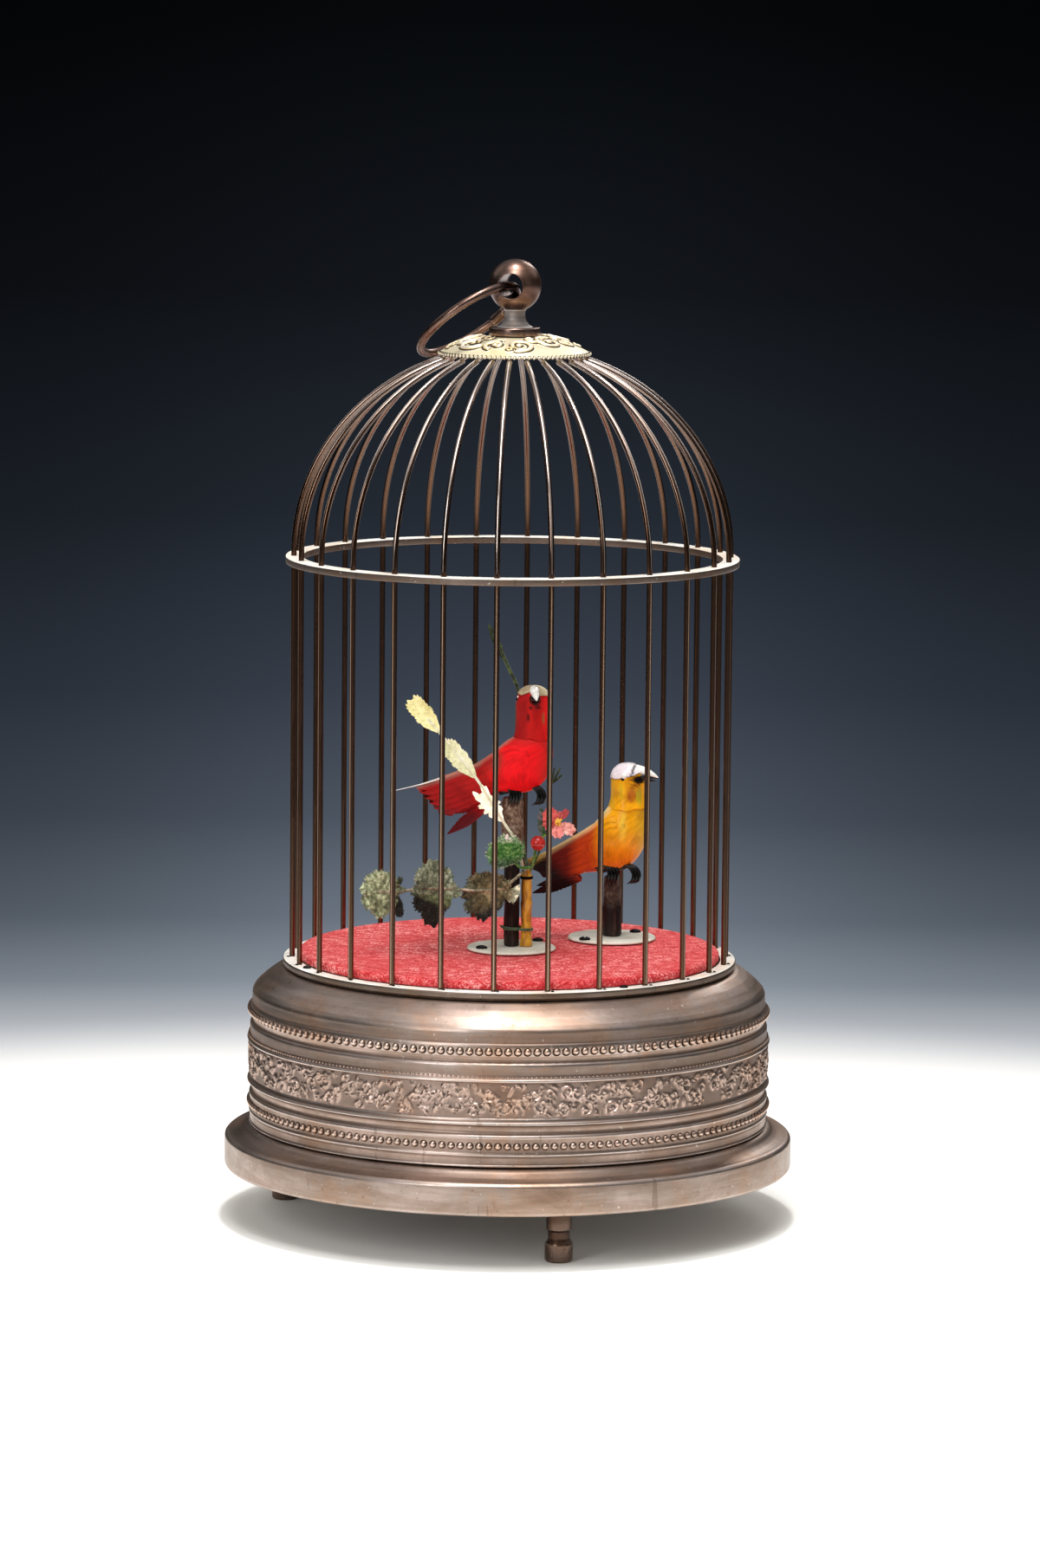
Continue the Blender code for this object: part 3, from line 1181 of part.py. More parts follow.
def build_stop_lever():
    """The start and stop lever: knob under the base, finger beside the fly."""
    lever = rod("stop_lever", 1.9 * MM, 12.6 * MM, 19.2 * MM, STOP_PIVOT, steel(), 10)
    half = 1.4 * MM
    arms = (("stop_arm", STOP_FINGER, 18.0 * MM, 0.6 * MM), ("stop_handle", STOP_KNOB, 13.5 * MM, 0.7 * MM))
    for name, end, level, thick in arms:
        near, far = -1.0 * MM, math.dist(STOP_PIVOT, end) + half
        loop = [(near, -half), (far, -half), (far, half), (near, half)]
        arm = outline(name, [loop], -thick, thick, steel(), HELPERS)
        axis = Matrix.Translation((*STOP_PIVOT, level))
        arm.matrix_world = axis @ Matrix.Rotation(direction(STOP_PIVOT, end), 4, "Z")
        weld_on(lever, arm)
    finger = rod("stop_finger", 0.9 * MM, 18.0 * MM, 38.0 * MM, STOP_FINGER, steel(), 8, HELPERS)
    knob = rod("stop_knob", 2.6 * MM, 9.4 * MM, 13.6 * MM, STOP_KNOB, brass(), 12, HELPERS)
    weld_on(lever, finger, knob)


clear_scene()
PARTS = new_collection("singing_bird_automaton")
HELPERS = new_collection("cutters")

build_feet()
build_plinth()
build_bottom_cover()
build_drum()
build_cage_side()
build_cage_dome()
build_cap()
build_finial()
build_bail()
build_floor()
build_posts()
for each_bird in (RED_BIRD, YELLOW_BIRD):
    build_bird_body(each_bird)
    build_bird_head(each_bird)
    build_bird_tail(each_bird)
    build_bird_claws(each_bird)
build_foliage()
build_plates()
build_barrel()
build_winding()
build_click()
build_train()
build_cams()
build_levers()
build_whistle()
build_bellows()
build_stop_lever()
bpy.context.view_layer.update()
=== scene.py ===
"""Singing bird automaton: the finished look of the two birds, their cage and the embossed base."""
import math

import bmesh
import bpy
import numpy as np
from mathutils import Matrix, Vector


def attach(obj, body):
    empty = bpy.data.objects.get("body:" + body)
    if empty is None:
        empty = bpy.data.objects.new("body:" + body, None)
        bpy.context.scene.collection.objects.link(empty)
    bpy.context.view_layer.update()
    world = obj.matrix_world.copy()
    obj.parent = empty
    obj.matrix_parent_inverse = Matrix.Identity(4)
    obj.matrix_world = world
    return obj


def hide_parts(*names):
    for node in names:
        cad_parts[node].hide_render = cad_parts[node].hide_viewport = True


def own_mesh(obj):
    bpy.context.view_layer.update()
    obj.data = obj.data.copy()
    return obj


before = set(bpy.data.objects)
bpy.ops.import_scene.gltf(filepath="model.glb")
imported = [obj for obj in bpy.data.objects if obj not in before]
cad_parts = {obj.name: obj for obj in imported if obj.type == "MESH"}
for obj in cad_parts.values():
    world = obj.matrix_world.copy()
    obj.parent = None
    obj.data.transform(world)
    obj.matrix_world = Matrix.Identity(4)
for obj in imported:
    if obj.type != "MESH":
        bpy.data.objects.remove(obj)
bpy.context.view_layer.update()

# Camera, table, backdrop and lamps
# The object stands on a white table under soft overhead lamps, in front of a
# backdrop that fades from white at the table to dark slate.
MM = 0.001
CAMERA_SPOT = (0.708 * MM, -1881.82 * MM, 376.75 * MM)
YAW, PITCH, ROLL = (math.radians(value) for value in (0.060, 7.570, 0.524))
LENS = 150.54
TABLE_SIDE = 4
TABLE_BACK = 1.2


def feed(tree, node, values):
    """Fill a node's inputs; a value is a constant, a socket or a node's first output."""
    for key, value in values.items():
        socket = node.inputs[key]
        if isinstance(value, bpy.types.Node):
            value = value.outputs[0]
        if isinstance(value, bpy.types.NodeSocket):
            tree.links.new(value, socket)
        else:
            socket.default_value = (*value, 1) if socket.type == "RGBA" else value
    return node


def add(tree, kind, values=None, **settings):
    """Put a node into a tree, with its settings and its inputs."""
    made = tree.nodes.new(kind)
    for key, value in settings.items():
        setattr(made, key, value)
    return feed(tree, made, values or {})


def sums(tree, how, first, second=0.5, third=0.5, clamp=False):
    """One step of arithmetic on up to three values."""
    values = {0: first, 1: second, 2: third}
    return add(tree, "ShaderNodeMath", values, operation=how, use_clamp=clamp).outputs[0]


def blended(tree, factor, first, second, how="MIX"):
    """Two colours laid one over the other."""
    values = {0: factor, 6: first, 7: second}
    return add(tree, "ShaderNodeMix", values, data_type="RGBA", blend_type=how).outputs[2]


def graded(tree, factor, stops):
    """A colour ramp from (position, colour) stops."""
    made = add(tree, "ShaderNodeValToRGB", {0: factor})
    elements = made.color_ramp.elements
    while len(elements) < len(stops):
        elements.new(0.5)
    for element, (position, colour) in zip(elements, stops):
        element.position = position
        element.color = (*colour, 1)
    return made.outputs[0]


def ranged(tree, value, start, end, low=0.0, high=1.0, how="LINEAR"):
    """A value taken from one range to another."""
    values = {"Value": value, "From Min": start, "From Max": end, "To Min": low, "To Max": high}
    return add(tree, "ShaderNodeMapRange", values, interpolation_type=how).outputs[0]


def noise(tree, vector, scale, detail=2.0, rough=0.5, twist=0.0):
    """Soft noise between 0 and 1."""
    values = {"Vector": vector, "Scale": scale, "Detail": detail, "Roughness": rough, "Distortion": twist}
    return add(tree, "ShaderNodeTexNoise", values).outputs["Fac"]


def own_place(tree):
    """The place of a point on its own object, in metres."""
    return add(tree, "ShaderNodeTexCoord").outputs["Object"]


def new_finish(name):
    """A new material, its tree and its shader."""
    made = bpy.data.materials.new(name)
    made.use_nodes = True
    return made, made.node_tree, made.node_tree.nodes["Principled BSDF"]


def shown(name, data):
    """A new object in the scene."""
    made = bpy.data.objects.new(name, data)
    bpy.context.scene.collection.objects.link(made)
    return made


bpy.context.scene.view_settings.view_transform = "Standard"
camera = shown("camera", bpy.data.cameras.new("camera"))
bpy.context.scene.camera = camera
camera.data.lens = LENS
camera.data.sensor_width = 36
camera.data.clip_end = 20
ahead = Vector((math.sin(YAW) * math.cos(PITCH), math.cos(YAW) * math.cos(PITCH), -math.sin(PITCH)))
right = Vector((math.cos(YAW), -math.sin(YAW), 0))
up = right.cross(ahead)
rolled_right = right * math.cos(ROLL) + up * math.sin(ROLL)
rolled_up = up * math.cos(ROLL) - right * math.sin(ROLL)
camera_axes = Matrix((rolled_right, rolled_up, -ahead)).transposed()
camera.matrix_world = Matrix.Translation(CAMERA_SPOT) @ camera_axes.to_4x4()

table = bpy.data.meshes.new("table")
table.from_pydata([(-TABLE_SIDE, -TABLE_SIDE, 0), (TABLE_SIDE, -TABLE_SIDE, 0), (TABLE_SIDE, TABLE_BACK, 0),
                   (-TABLE_SIDE, TABLE_BACK, 0)], [], [(0, 1, 2, 3)])
table_top = shown("table", table)
table_paper, tree, paper = new_finish("table_paper")
place = own_place(tree)
mottle = graded(tree, noise(tree, place, 9.0, 3.0), [(0.3, (0.93, 0.925, 0.91)), (0.7, (0.97, 0.965, 0.95))])
feed(tree, paper, {"Base Color": mottle, "Roughness": 0.75})
middle = add(tree, "ShaderNodeMapping", {"Vector": place, "Location": (0, 0.17, 0), "Scale": (1.15, 1, 0)})
away = add(tree, "ShaderNodeVectorMath", {0: middle}, operation="LENGTH").outputs["Value"]
clear = add(tree, "ShaderNodeBsdfTransparent")
edge = add(tree, "ShaderNodeMixShader", {
    "Fac": ranged(tree, away, 0.36, 0.54, how="SMOOTHSTEP"), 1: paper, 2: clear})
feed(tree, tree.nodes["Material Output"], {"Surface": edge})
table.materials.append(table_paper)

world = bpy.data.worlds.new("studio")
bpy.context.scene.world = world
world.use_nodes = True
tree = world.node_tree
gaze = add(tree, "ShaderNodeTexCoord").outputs["Generated"]
way = add(tree, "ShaderNodeSeparateXYZ", {"Vector": gaze}).outputs
backdrop = graded(tree, ranged(tree, way["Z"], -0.19, 0.0), [
    (0.063, (1.0, 0.985, 0.99)), (0.10, (0.56, 0.58, 0.61)), (0.15, (0.22, 0.25, 0.29)),
    (0.20, (0.112, 0.134, 0.165)), (0.28, (0.055, 0.068, 0.090)), (0.38, (0.030, 0.038, 0.053)),
    (0.52, (0.013, 0.017, 0.024)), (0.70, (0.005, 0.006, 0.008)), (0.92, (0.0015, 0.002, 0.0025))])
aside = ranged(tree, sums(tree, "ABSOLUTE", way["X"], 0.0), 0.0, 0.085, 1.44, 0.76, "SMOOTHSTEP")
haze = ranged(tree, way["Z"], -0.171, -0.150)
glow = add(tree, "ShaderNodeMix", {"Factor": haze, "A": 1.0, "B": aside}).outputs["Result"]
backdrop = add(tree, "ShaderNodeVectorMath", {0: backdrop, "Scale": glow}, operation="SCALE").outputs[0]
for start, end, colour in ((-0.28, -0.5, (0.30, 0.30, 0.31)), (0.15, 0.95, (0.36, 0.37, 0.39))):
    backdrop = blended(tree, ranged(tree, way["Z"], start, end, how="SMOOTHSTEP"), backdrop, colour)
sky = feed(tree, tree.nodes["Background"], {"Color": backdrop})
room = add(tree, "ShaderNodeBackground", {"Color": (1.0, 0.94, 0.83), "Strength": 0.52})
ray = add(tree, "ShaderNodeLightPath").outputs
seen = sums(tree, "ADD", ray["Is Camera Ray"], ray["Is Glossy Ray"], clamp=True)
seen = sums(tree, "ADD", seen, ray["Is Transmission Ray"], clamp=True)
both = add(tree, "ShaderNodeMixShader", {"Fac": seen, 1: room, 2: sky})
feed(tree, tree.nodes["World Output"], {"Surface": both})


def softbox(name, spot, aim, size, watts):
    """A rectangular lamp at a spot, turned to its aim, with its size in metres."""
    lamp = bpy.data.lights.new(name, "AREA")
    lamp.shape = "RECTANGLE"
    lamp.size, lamp.size_y = size
    lamp.energy = watts
    thing = shown(name, lamp)
    thing.location = spot
    thing.rotation_euler = (Vector(aim) - Vector(spot)).to_track_quat("-Z", "Y").to_euler()


softbox("key", (0.015, 0.0, 1.45), (0, 0, 0), (0.09, 0.09), 8.0)
softbox("overhead", (0.0, -0.42, 1.25), (0, -0.42, 0), (0.72, 1.1), 7.3)
softbox("front_left", (-0.75, -1.25, 0.75), (0, 0, 0.12), (0.36, 0.8), 6.5)
softbox("front_right", (1.25, -0.70, 0.60), (0, 0, 0.12), (0.30, 0.8), 0.2)
softbox("overhead_core", (-0.03, -0.50, 1.20), (-0.01, -0.42, 0), (0.26, 0.40), 3.0)
softbox("side_right", (1.0, 0.7, 1.1), (0, 0, 0.1), (0.8, 0.8), 1.1)
softbox("side_left", (-1.0, 0.7, 1.1), (0, 0, 0.1), (0.8, 0.8), 0.7)
softbox("behind", (0.45, 1.2, 0.9), (0, 0, 0.15), (0.25, 0.5), 2.5)

# Feet
# Three small turned feet of dark copper, screwed up into the plinth. Each
# has a waist, a collar and a flat sole.
FOOT_CIRCLE = 68.6
FOOT_AZIMUTHS = (12.4, -107.6, 132.4)


def shader_group(name, inputs, outputs):
    """An empty node group with named sockets; returns the tree, its inputs and its output node."""
    made = bpy.data.node_groups.new(name, "ShaderNodeTree")
    for label, value in inputs:
        kind = {float: "NodeSocketFloat", tuple: "NodeSocketColor", str: "NodeSocketVector"}[type(value)]
        socket = made.interface.new_socket(label, in_out="INPUT", socket_type=kind)
        if kind != "NodeSocketVector":
            socket.default_value = (*value, 1) if kind == "NodeSocketColor" else value
    for label, kind in outputs:
        made.interface.new_socket(label, in_out="OUTPUT", socket_type=kind)
    return made, add(made, "NodeGroupInput").outputs, add(made, "NodeGroupOutput")


def scaled(tree, vector, by):
    """A place stretched along its axes."""
    return add(tree, "ShaderNodeMapping", {"Vector": vector, "Scale": by}).outputs[0]


def triple(tree, value):
    """A vector with one value on all three axes."""
    return add(tree, "ShaderNodeCombineXYZ", {0: value, 1: value, 2: value}).outputs[0]


def stored(tree, name, output="Fac"):
    """A value, or a vector, that the mesh carries for each point."""
    return add(tree, "ShaderNodeAttribute", attribute_name=name).outputs[output]


def bumped(tree, height, strength, distance):
    """A normal tilted by a height; the distance is in metres."""
    return add(tree, "ShaderNodeBump", {"Height": height, "Strength": strength, "Distance": distance})


COLOUR_OUT = ("Colour", "NodeSocketColor")
ROUGH_OUT = ("Roughness", "NodeSocketFloat")
HEIGHT_OUT = ("Height", "NodeSocketFloat")

# worn metal: brushed along the turning, dark where dirt lies, bright where hands rub and where a highlight
# is painted in through a high relief
patina, inside, ends = shader_group("patina", [
    ("Place", "vector"), ("Relief", 0.5), ("Metal", (0.3, 0.2, 0.15)), ("Grime", (0.03, 0.02, 0.015)),
    ("Bright", (0.6, 0.4, 0.3)), ("Grain", 900.0), ("Gloss", 0.3), ("Wear", 0.5),
], [COLOUR_OUT, ROUGH_OUT, HEIGHT_OUT])
clouds = noise(patina, inside["Place"], 46.0, 4.0, 0.6)
brushed = noise(patina, scaled(patina, inside["Place"], (0.04, 0.04, 1)), inside["Grain"], 3.0, 0.6)
specks = noise(patina, inside["Place"], inside["Grain"], 2.0)
streaks = noise(patina, scaled(patina, inside["Place"], (0.3, 0.3, 1.6)), 120.0, 5.0, 0.7, 0.6)
low = sums(patina, "MULTIPLY_ADD", inside["Relief"], -2.0, 1.0)
dirt = sums(patina, "MULTIPLY_ADD", clouds, 1.3, -0.65)
dirt = sums(patina, "ADD", low, dirt, clamp=True)
high = sums(patina, "MULTIPLY_ADD", inside["Relief"], 2.0, -1.0)
# where the relief is set high, rubbed wear and painted highlights both come through here
rubbed = sums(patina, "MULTIPLY_ADD", streaks, 1.6, -0.8)
rubbed = sums(patina, "ADD", high, rubbed, clamp=True)
rubbed = sums(patina, "MULTIPLY", rubbed, inside["Wear"])
plain = blended(patina, dirt, inside["Metal"], inside["Grime"])
plain = blended(patina, rubbed, plain, inside["Bright"])
spots = sums(patina, "GREATER_THAN", specks, 0.70)
plain = blended(patina, sums(patina, "MULTIPLY", spots, 0.45), plain, inside["Grime"])
patches = noise(patina, inside["Place"], 45.0, 6.0, 0.7, 0.5)
cast = graded(patina, patches, [
    (0.36, (1.12, 1.10, 1.14)), (0.50, (0.94, 0.92, 0.91)), (0.60, (1.02, 0.89, 0.80)),
    (0.72, (0.74, 0.62, 0.54))])
plain = blended(patina, 1.0, plain, cast, "MULTIPLY")
ticks = noise(patina, scaled(patina, inside["Place"], (1, 1, 0.1)), 330.0, 2.0)
ticks = sums(patina, "MULTIPLY", sums(patina, "GREATER_THAN", ticks, 0.70), 0.4)
plain = blended(patina, ticks, plain, inside["Grime"])
glints = sums(patina, "MULTIPLY", sums(patina, "LESS_THAN", specks, 0.27), 0.6)
plain = blended(patina, glints, plain, inside["Bright"])
tone = sums(patina, "MULTIPLY_ADD", brushed, 0.5, 0.75)
plain = blended(patina, 1.0, plain, triple(patina, tone), "MULTIPLY")
rough = sums(patina, "MULTIPLY_ADD", dirt, 0.28, inside["Gloss"])
rough = sums(patina, "MULTIPLY_ADD", brushed, 0.14, rough)
rough = sums(patina, "MULTIPLY_ADD", patches, 0.30, sums(patina, "ADD", rough, -0.15))
height = sums(patina, "MULTIPLY_ADD", brushed, 0.6, streaks)
feed(patina, ends, {"Colour": plain, "Roughness": rough, "Height": height})


def metal_finish(name, metal, grime, bright, gloss=0.3, grain=900.0, wear=0.5, bump=0.12, relief=True,
                 metallic=1.0, stretch=(1, 1, 1), place=None, dust_and_painted_highlight=False):
    """A metal from its plain, dirty and rubbed colours, with the patina group.

    With the bloom setting it turns to a matt bloom where its relief is highest; on the wire bars that bloom
    and the rubbed colour paint a highlight line."""
    made, tree, shader = new_finish(name)
    spot = stored(tree, place, "Vector") if place else own_place(tree)
    worn = add(tree, "ShaderNodeGroup", {
        "Place": scaled(tree, spot, stretch), "Metal": metal, "Grime": grime, "Bright": bright,
        "Grain": grain, "Gloss": gloss, "Wear": wear}, node_tree=patina)
    if relief:
        height = stored(tree, "relief")
        feed(tree, worn, {"Relief": height})
    if dust_and_painted_highlight:
        metallic = ranged(tree, height, 0.75, 0.95, 1.0, 0.0)
    feed(tree, shader, {
        "Metallic": metallic, "Base Color": worn.outputs["Colour"], "Roughness": worn.outputs["Roughness"],
        "Normal": bumped(tree, worn.outputs["Height"], bump, 0.0003)})
    return made


def skin(name, points, rows_close=False, columns_close=True, caps=False, sharp=40, **fields):
    """A mesh over a grid of points, with a value for each point in every named field."""
    points = np.asarray(points, float)
    rows, columns = points.shape[:2]
    index = np.arange(rows * columns).reshape(rows, columns)
    ends = [index[0][::-1].tolist(), index[-1].tolist()] if caps else []
    if rows_close:
        index = np.vstack([index, index[:1]])
    if columns_close:
        index = np.hstack([index, index[:, :1]])
    faces = np.stack([index[:-1, :-1], index[:-1, 1:], index[1:, 1:], index[1:, :-1]], -1).reshape(-1, 4)
    mesh = bpy.data.meshes.new(name)
    mesh.from_pydata(points.reshape(-1, 3).tolist(), [], faces.tolist() + ends)
    for label, values in fields.items():
        single = np.ndim(values) < 3
        kind, key = ("FLOAT", "value") if single else ("FLOAT_VECTOR", "vector")
        shape = (rows, columns) if single else (rows, columns, 3)
        values = np.broadcast_to(values, shape).astype(np.float32)
        mesh.attributes.new(label, kind, "POINT").data.foreach_set(key, values.ravel())
    tidy(mesh)
    mesh.shade_smooth()
    mesh.set_sharp_from_angle(angle=math.radians(sharp))
    return mesh


def tidy(mesh):
    """Close the seams and poles of a mesh and turn its faces outwards."""
    shape = bmesh.new()
    shape.from_mesh(mesh)
    bmesh.ops.remove_doubles(shape, verts=shape.verts, dist=0.000002)
    bmesh.ops.recalc_face_normals(shape, faces=shape.faces)
    shape.to_mesh(mesh)
    shape.free()


def eased(profile, radius, cuts=3, closed=False):
    """A profile in millimetres with each corner eased by a short curve."""
    spots = [Vector(point) for point in profile]
    made = []
    for k, here in enumerate(spots):
        if not closed and k in (0, len(spots) - 1):
            made.append(here)
            continue
        before, after = spots[k - 1] - here, spots[(k + 1) % len(spots)] - here
        start = here + before.normalized() * min(radius, before.length * 0.45)
        end = here + after.normalized() * min(radius, after.length * 0.45)
        for cut in range(cuts + 1):
            t = cut / cuts
            made.append(start * (1 - t) ** 2 + here * 2 * t * (1 - t) + end * t ** 2)
    return np.array([tuple(point) for point in made])


def edges_of(profile, closed):
    """1 on a profile's outer corners, 0 in its grooves and 0.5 on its plain runs."""
    before, after = np.roll(profile, 1, 0), np.roll(profile, -1, 0)
    one, other = profile - before, after - profile
    turn = one[:, 0] * other[:, 1] - one[:, 1] * other[:, 0]
    size = np.linalg.norm(one, axis=1) * np.linalg.norm(other, axis=1) + 1e-9
    value = 0.5 - 1.1 * np.clip(turn / size, -0.45, 0.45)
    if not closed:
        value[0] = value[-1] = 0.5
    return value


def turns(count):
    """Equal angles round a full turn."""
    return 2 * np.pi * np.arange(count) / count


def swung(profile, steps, at=(0, 0)):
    """The grid of a profile in millimetres, swung round an upright axis."""
    turn = turns(steps)
    x = at[0] + profile[:, None, 0] * np.sin(turn)
    y = at[1] - profile[:, None, 0] * np.cos(turn)
    z = np.broadcast_to(profile[:, None, 1], x.shape)
    return np.stack([x, y, z], -1) * MM


def turned(name, profile, steps, at=(0, 0), closed=False, radius=0.25, cuts=3):
    """A turned piece, with its corners eased and marked for wear."""
    profile = eased(profile, radius, cuts, closed)
    relief = edges_of(profile, closed)[:, None]
    return skin(name, swung(profile, steps, at), rows_close=closed, relief=relief)


def on_circle(radius, azimuth):
    """A spot on a circle; azimuth 0 is at the front, in degrees."""
    angle = math.radians(azimuth)
    return radius * math.sin(angle), -radius * math.cos(angle)


def joined(name, meshes):
    """Several meshes as one, with their fields kept."""
    shape = bmesh.new()
    for mesh in meshes:
        shape.from_mesh(mesh)
    made = bpy.data.meshes.new(name)
    shape.to_mesh(made)
    shape.free()
    return made


def settle(name, meshes, look, body="case", stands_for=()):
    """Put a finished mesh, or a list of them as one, on its body, with its finish."""
    mesh = joined(name, meshes) if isinstance(meshes, list) else meshes
    thing = shown(name, mesh)
    mesh.materials.clear()
    mesh.materials.append(look)
    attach(thing, body)
    if stands_for:
        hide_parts(*stands_for)
    return thing


browned = metal_finish("browned_copper", (0.42, 0.32, 0.265), (0.19, 0.13, 0.10), (0.90, 0.84, 0.80),
                       gloss=0.31)
dark_foot = metal_finish("dark_foot", (0.11, 0.072, 0.055), (0.02, 0.012, 0.010), (0.50, 0.40, 0.34),
                         gloss=0.2, wear=0.35)
foot = [
    (0, 15.1), (4.0, 15.1), (4.0, 14.0), (3.6, 13.6), (3.6, 9.3), (3.1, 8.8),
    (3.1, 6.6), (4.0, 5.2), (4.0, 0.6), (3.6, 0), (0, 0)]
feet = [turned("foot", foot, 32, on_circle(FOOT_CIRCLE, azimuth)) for azimuth in FOOT_AZIMUTHS]
settle("feet", feet, dark_foot, stands_for=("foot_front", "foot_left", "foot_right"))

# Plinth
# A spun copper rim with an upright band, coved up to the foot of the drum.
# Its edges are rubbed bright and the cove catches the light.
flange = [
    (73.2, 27.7), (75.2, 27.7), (76.2, 27.2), (77.0, 26.4), (78.4, 25.6), (80.2, 25.0), (81.6, 24.7),
    (82.4, 24.0), (82.4, 16.0), (81.9, 15.4), (80.9, 15.4), (80.9, 23.5), (76.8, 24.7),
    (75.2, 26.2), (73.2, 26.2)]
rim_copper = metal_finish("rim_copper", (0.34, 0.255, 0.205), (0.15, 0.10, 0.075), (0.88, 0.80, 0.75),
                          gloss=0.31)
settle("plinth", turned("plinth", flange, 192, closed=True, radius=0.5), rim_copper,
       stands_for=("plinth_flange",))

# Drum casing
# One spun shell: sloping shoulder, waist, ribs and plain bands between. Two
# rows of beads and a milled line are rolled into it from behind.
casing = [
    (58.5, 73.4), (65.6, 73.4), (66.5, 73.1), (69.0, 71.6), (71.2, 70.0), (73.2, 68.2), (74.1, 67.1),
    (74.4, 66.3), (74.5, 63.3), (74.8, 62.9), (75.0, 62.2), (74.9, 59.9), (74.5, 59.2), (74.3, 58.5),
    (74.4, 57.8), (74.9, 57.4), (75.1, 56.9), (75.1, 54.2), (75.5, 53.3), (75.9, 52.9), (75.9, 52.5),
    (75.3, 52.0), (75.0, 51.9), (75.0, 42.2), (75.3, 41.9), (75.5, 41.1), (75.9, 40.8), (75.9, 40.2),
    (75.2, 39.9), (74.7, 39.0), (74.5, 38.2), (74.7, 37.4), (75.2, 37.1), (75.4, 36.6), (75.2, 35.9),
    (75.2, 32.3), (75.5, 31.6), (75.1, 30.8), (75.1, 28.9), (75.4, 28.6), (75.3, 28.2), (74.4, 28.1),
    (74.2, 27.8), (72.6, 27.8), (72.6, 65.6), (69.0, 70.3), (58.5, 72.2)]
settle("drum", turned("drum", casing, 224, closed=True, radius=0.3, cuts=2), browned,
       stands_for=("drum_casing",))


def geometry_tree(name, sockets):
    """An empty Geometry Nodes tree with named inputs and one mesh out."""
    made = bpy.data.node_groups.new(name, "GeometryNodeTree")
    for label, kind in sockets:
        made.interface.new_socket(label, in_out="INPUT", socket_type="NodeSocket" + kind)
    made.interface.new_socket("Mesh", in_out="OUTPUT", socket_type="NodeSocketGeometry")
    return made, add(made, "NodeGroupInput").outputs, add(made, "NodeGroupOutput")


def baked(thing, *helpers):
    """The mesh that an object's modifiers make; the object and its helpers are removed."""
    bpy.context.view_layer.update()
    mesh = bpy.data.meshes.new_from_object(thing.evaluated_get(bpy.context.evaluated_depsgraph_get()))
    for used in (thing, *helpers):
        bpy.data.objects.remove(used, do_unlink=True)
    return mesh


def grown(name, tree, *helpers, **values):
    """Run a tree on an empty mesh and keep its result as a plain mesh."""
    thing = shown(name, bpy.data.meshes.new(name))
    step = thing.modifiers.new(name, "NODES")
    step.node_group = tree
    for item in tree.interface.items_tree:
        if item.item_type == "SOCKET" and item.in_out == "INPUT":
            step[item.identifier] = values[item.name.lower()]
    return baked(thing, *helpers)


def realized(tree, copies, finish, result):
    """End a tree: its copies become real and get their finish."""
    real = add(tree, "GeometryNodeRealizeInstances", {0: copies})
    feed(tree, result, {0: add(tree, "GeometryNodeSetMaterial", {"Geometry": real, "Material": finish})})


# pieces round the upright axis: one is drawn at the front and the rest are turned copies
ring_tree, given, result = geometry_tree("ring_of_pieces", [
    ("Piece", "Object"), ("Count", "Int"), ("First", "Float"), ("Finish", "Material")])
spots = add(ring_tree, "GeometryNodePoints", {"Count": given["Count"]})
share = sums(ring_tree, "DIVIDE", add(ring_tree, "GeometryNodeInputIndex"), given["Count"])
angle = sums(ring_tree, "MULTIPLY_ADD", share, 2 * math.pi, given["First"])
facing = add(ring_tree, "ShaderNodeCombineXYZ", {2: angle})
facing = add(ring_tree, "FunctionNodeEulerToRotation", {0: facing})
one_piece = add(ring_tree, "GeometryNodeObjectInfo", {"Object": given["Piece"]})
copies = add(ring_tree, "GeometryNodeInstanceOnPoints", {
    "Points": spots, "Instance": one_piece.outputs["Geometry"], "Rotation": facing})
realized(ring_tree, copies, given["Finish"], result)


def settle_ring(name, mesh, count, look, first=0.0, stands_for=()):
    """Settle a ring of copies of a mesh that is drawn at azimuth 0."""
    pattern = shown(name + "_pattern", mesh)
    ring = grown(name, ring_tree, pattern, piece=pattern, count=count, first=math.radians(first),
                 finish=look)
    settle(name, ring, look, stands_for=stands_for)


def boss(name, profile, sides, radius, level, stretch=1.0, twist=0.0, low=0.0):
    """A small turned stud that points outwards from the front of a ring: (width, height) profile."""
    profile = np.array(profile, float)
    turn = turns(sides)
    across = profile[:, None, 0] * np.cos(turn) * stretch
    rise = profile[:, None, 0] * np.sin(turn)
    out = np.broadcast_to(profile[:, None, 1], across.shape)
    x = across * math.cos(twist) - rise * math.sin(twist)
    z = across * math.sin(twist) + rise * math.cos(twist)
    grid = np.stack([x, -(radius + out), level + z], -1) * MM
    relief = np.clip(profile[:, 1:2] / profile[:, 1].max() * 1.4 - 0.4, low, 1)
    return skin(name, grid, caps=True, relief=relief)


bead = [(0.01, 1.0), (0.4, 0.94), (0.78, 0.72), (1.02, 0.38), (1.14, 0.06), (1.2, 0.0), (1.32, 0.03),
        (1.34, -0.4)]
bead_copper = metal_finish("bead_copper", (0.42, 0.29, 0.225), (0.022, 0.012, 0.008), (0.85, 0.70, 0.60),
                           gloss=0.26, wear=0.8)
for name, count, radius, level in (("beads_upper", 173, 74.9, 61.0), ("beads_lower", 178, 75.1, 34.1)):
    settle_ring(name, boss(name, bead, 12, radius, level), count, bead_copper)
mill = [(0.01, 0.42), (0.2, 0.36), (0.33, 0.16), (0.36, -0.3)]
settle_ring("milled_line", boss("mill", mill, 6, 75.2, 53.75, 1.2), 352, bead_copper)

# Embossed band
# A strip of pressed copper round the drum, with curls, leaves and berries
# crowded together; the ground between them is dull and dirty.
BAND_RADIUS = 75.15
BAND_BOTTOM = 42.2
BAND_HEIGHT = 9.8
BAND_RAISED = 0.66
BAND_BACK = 74.6


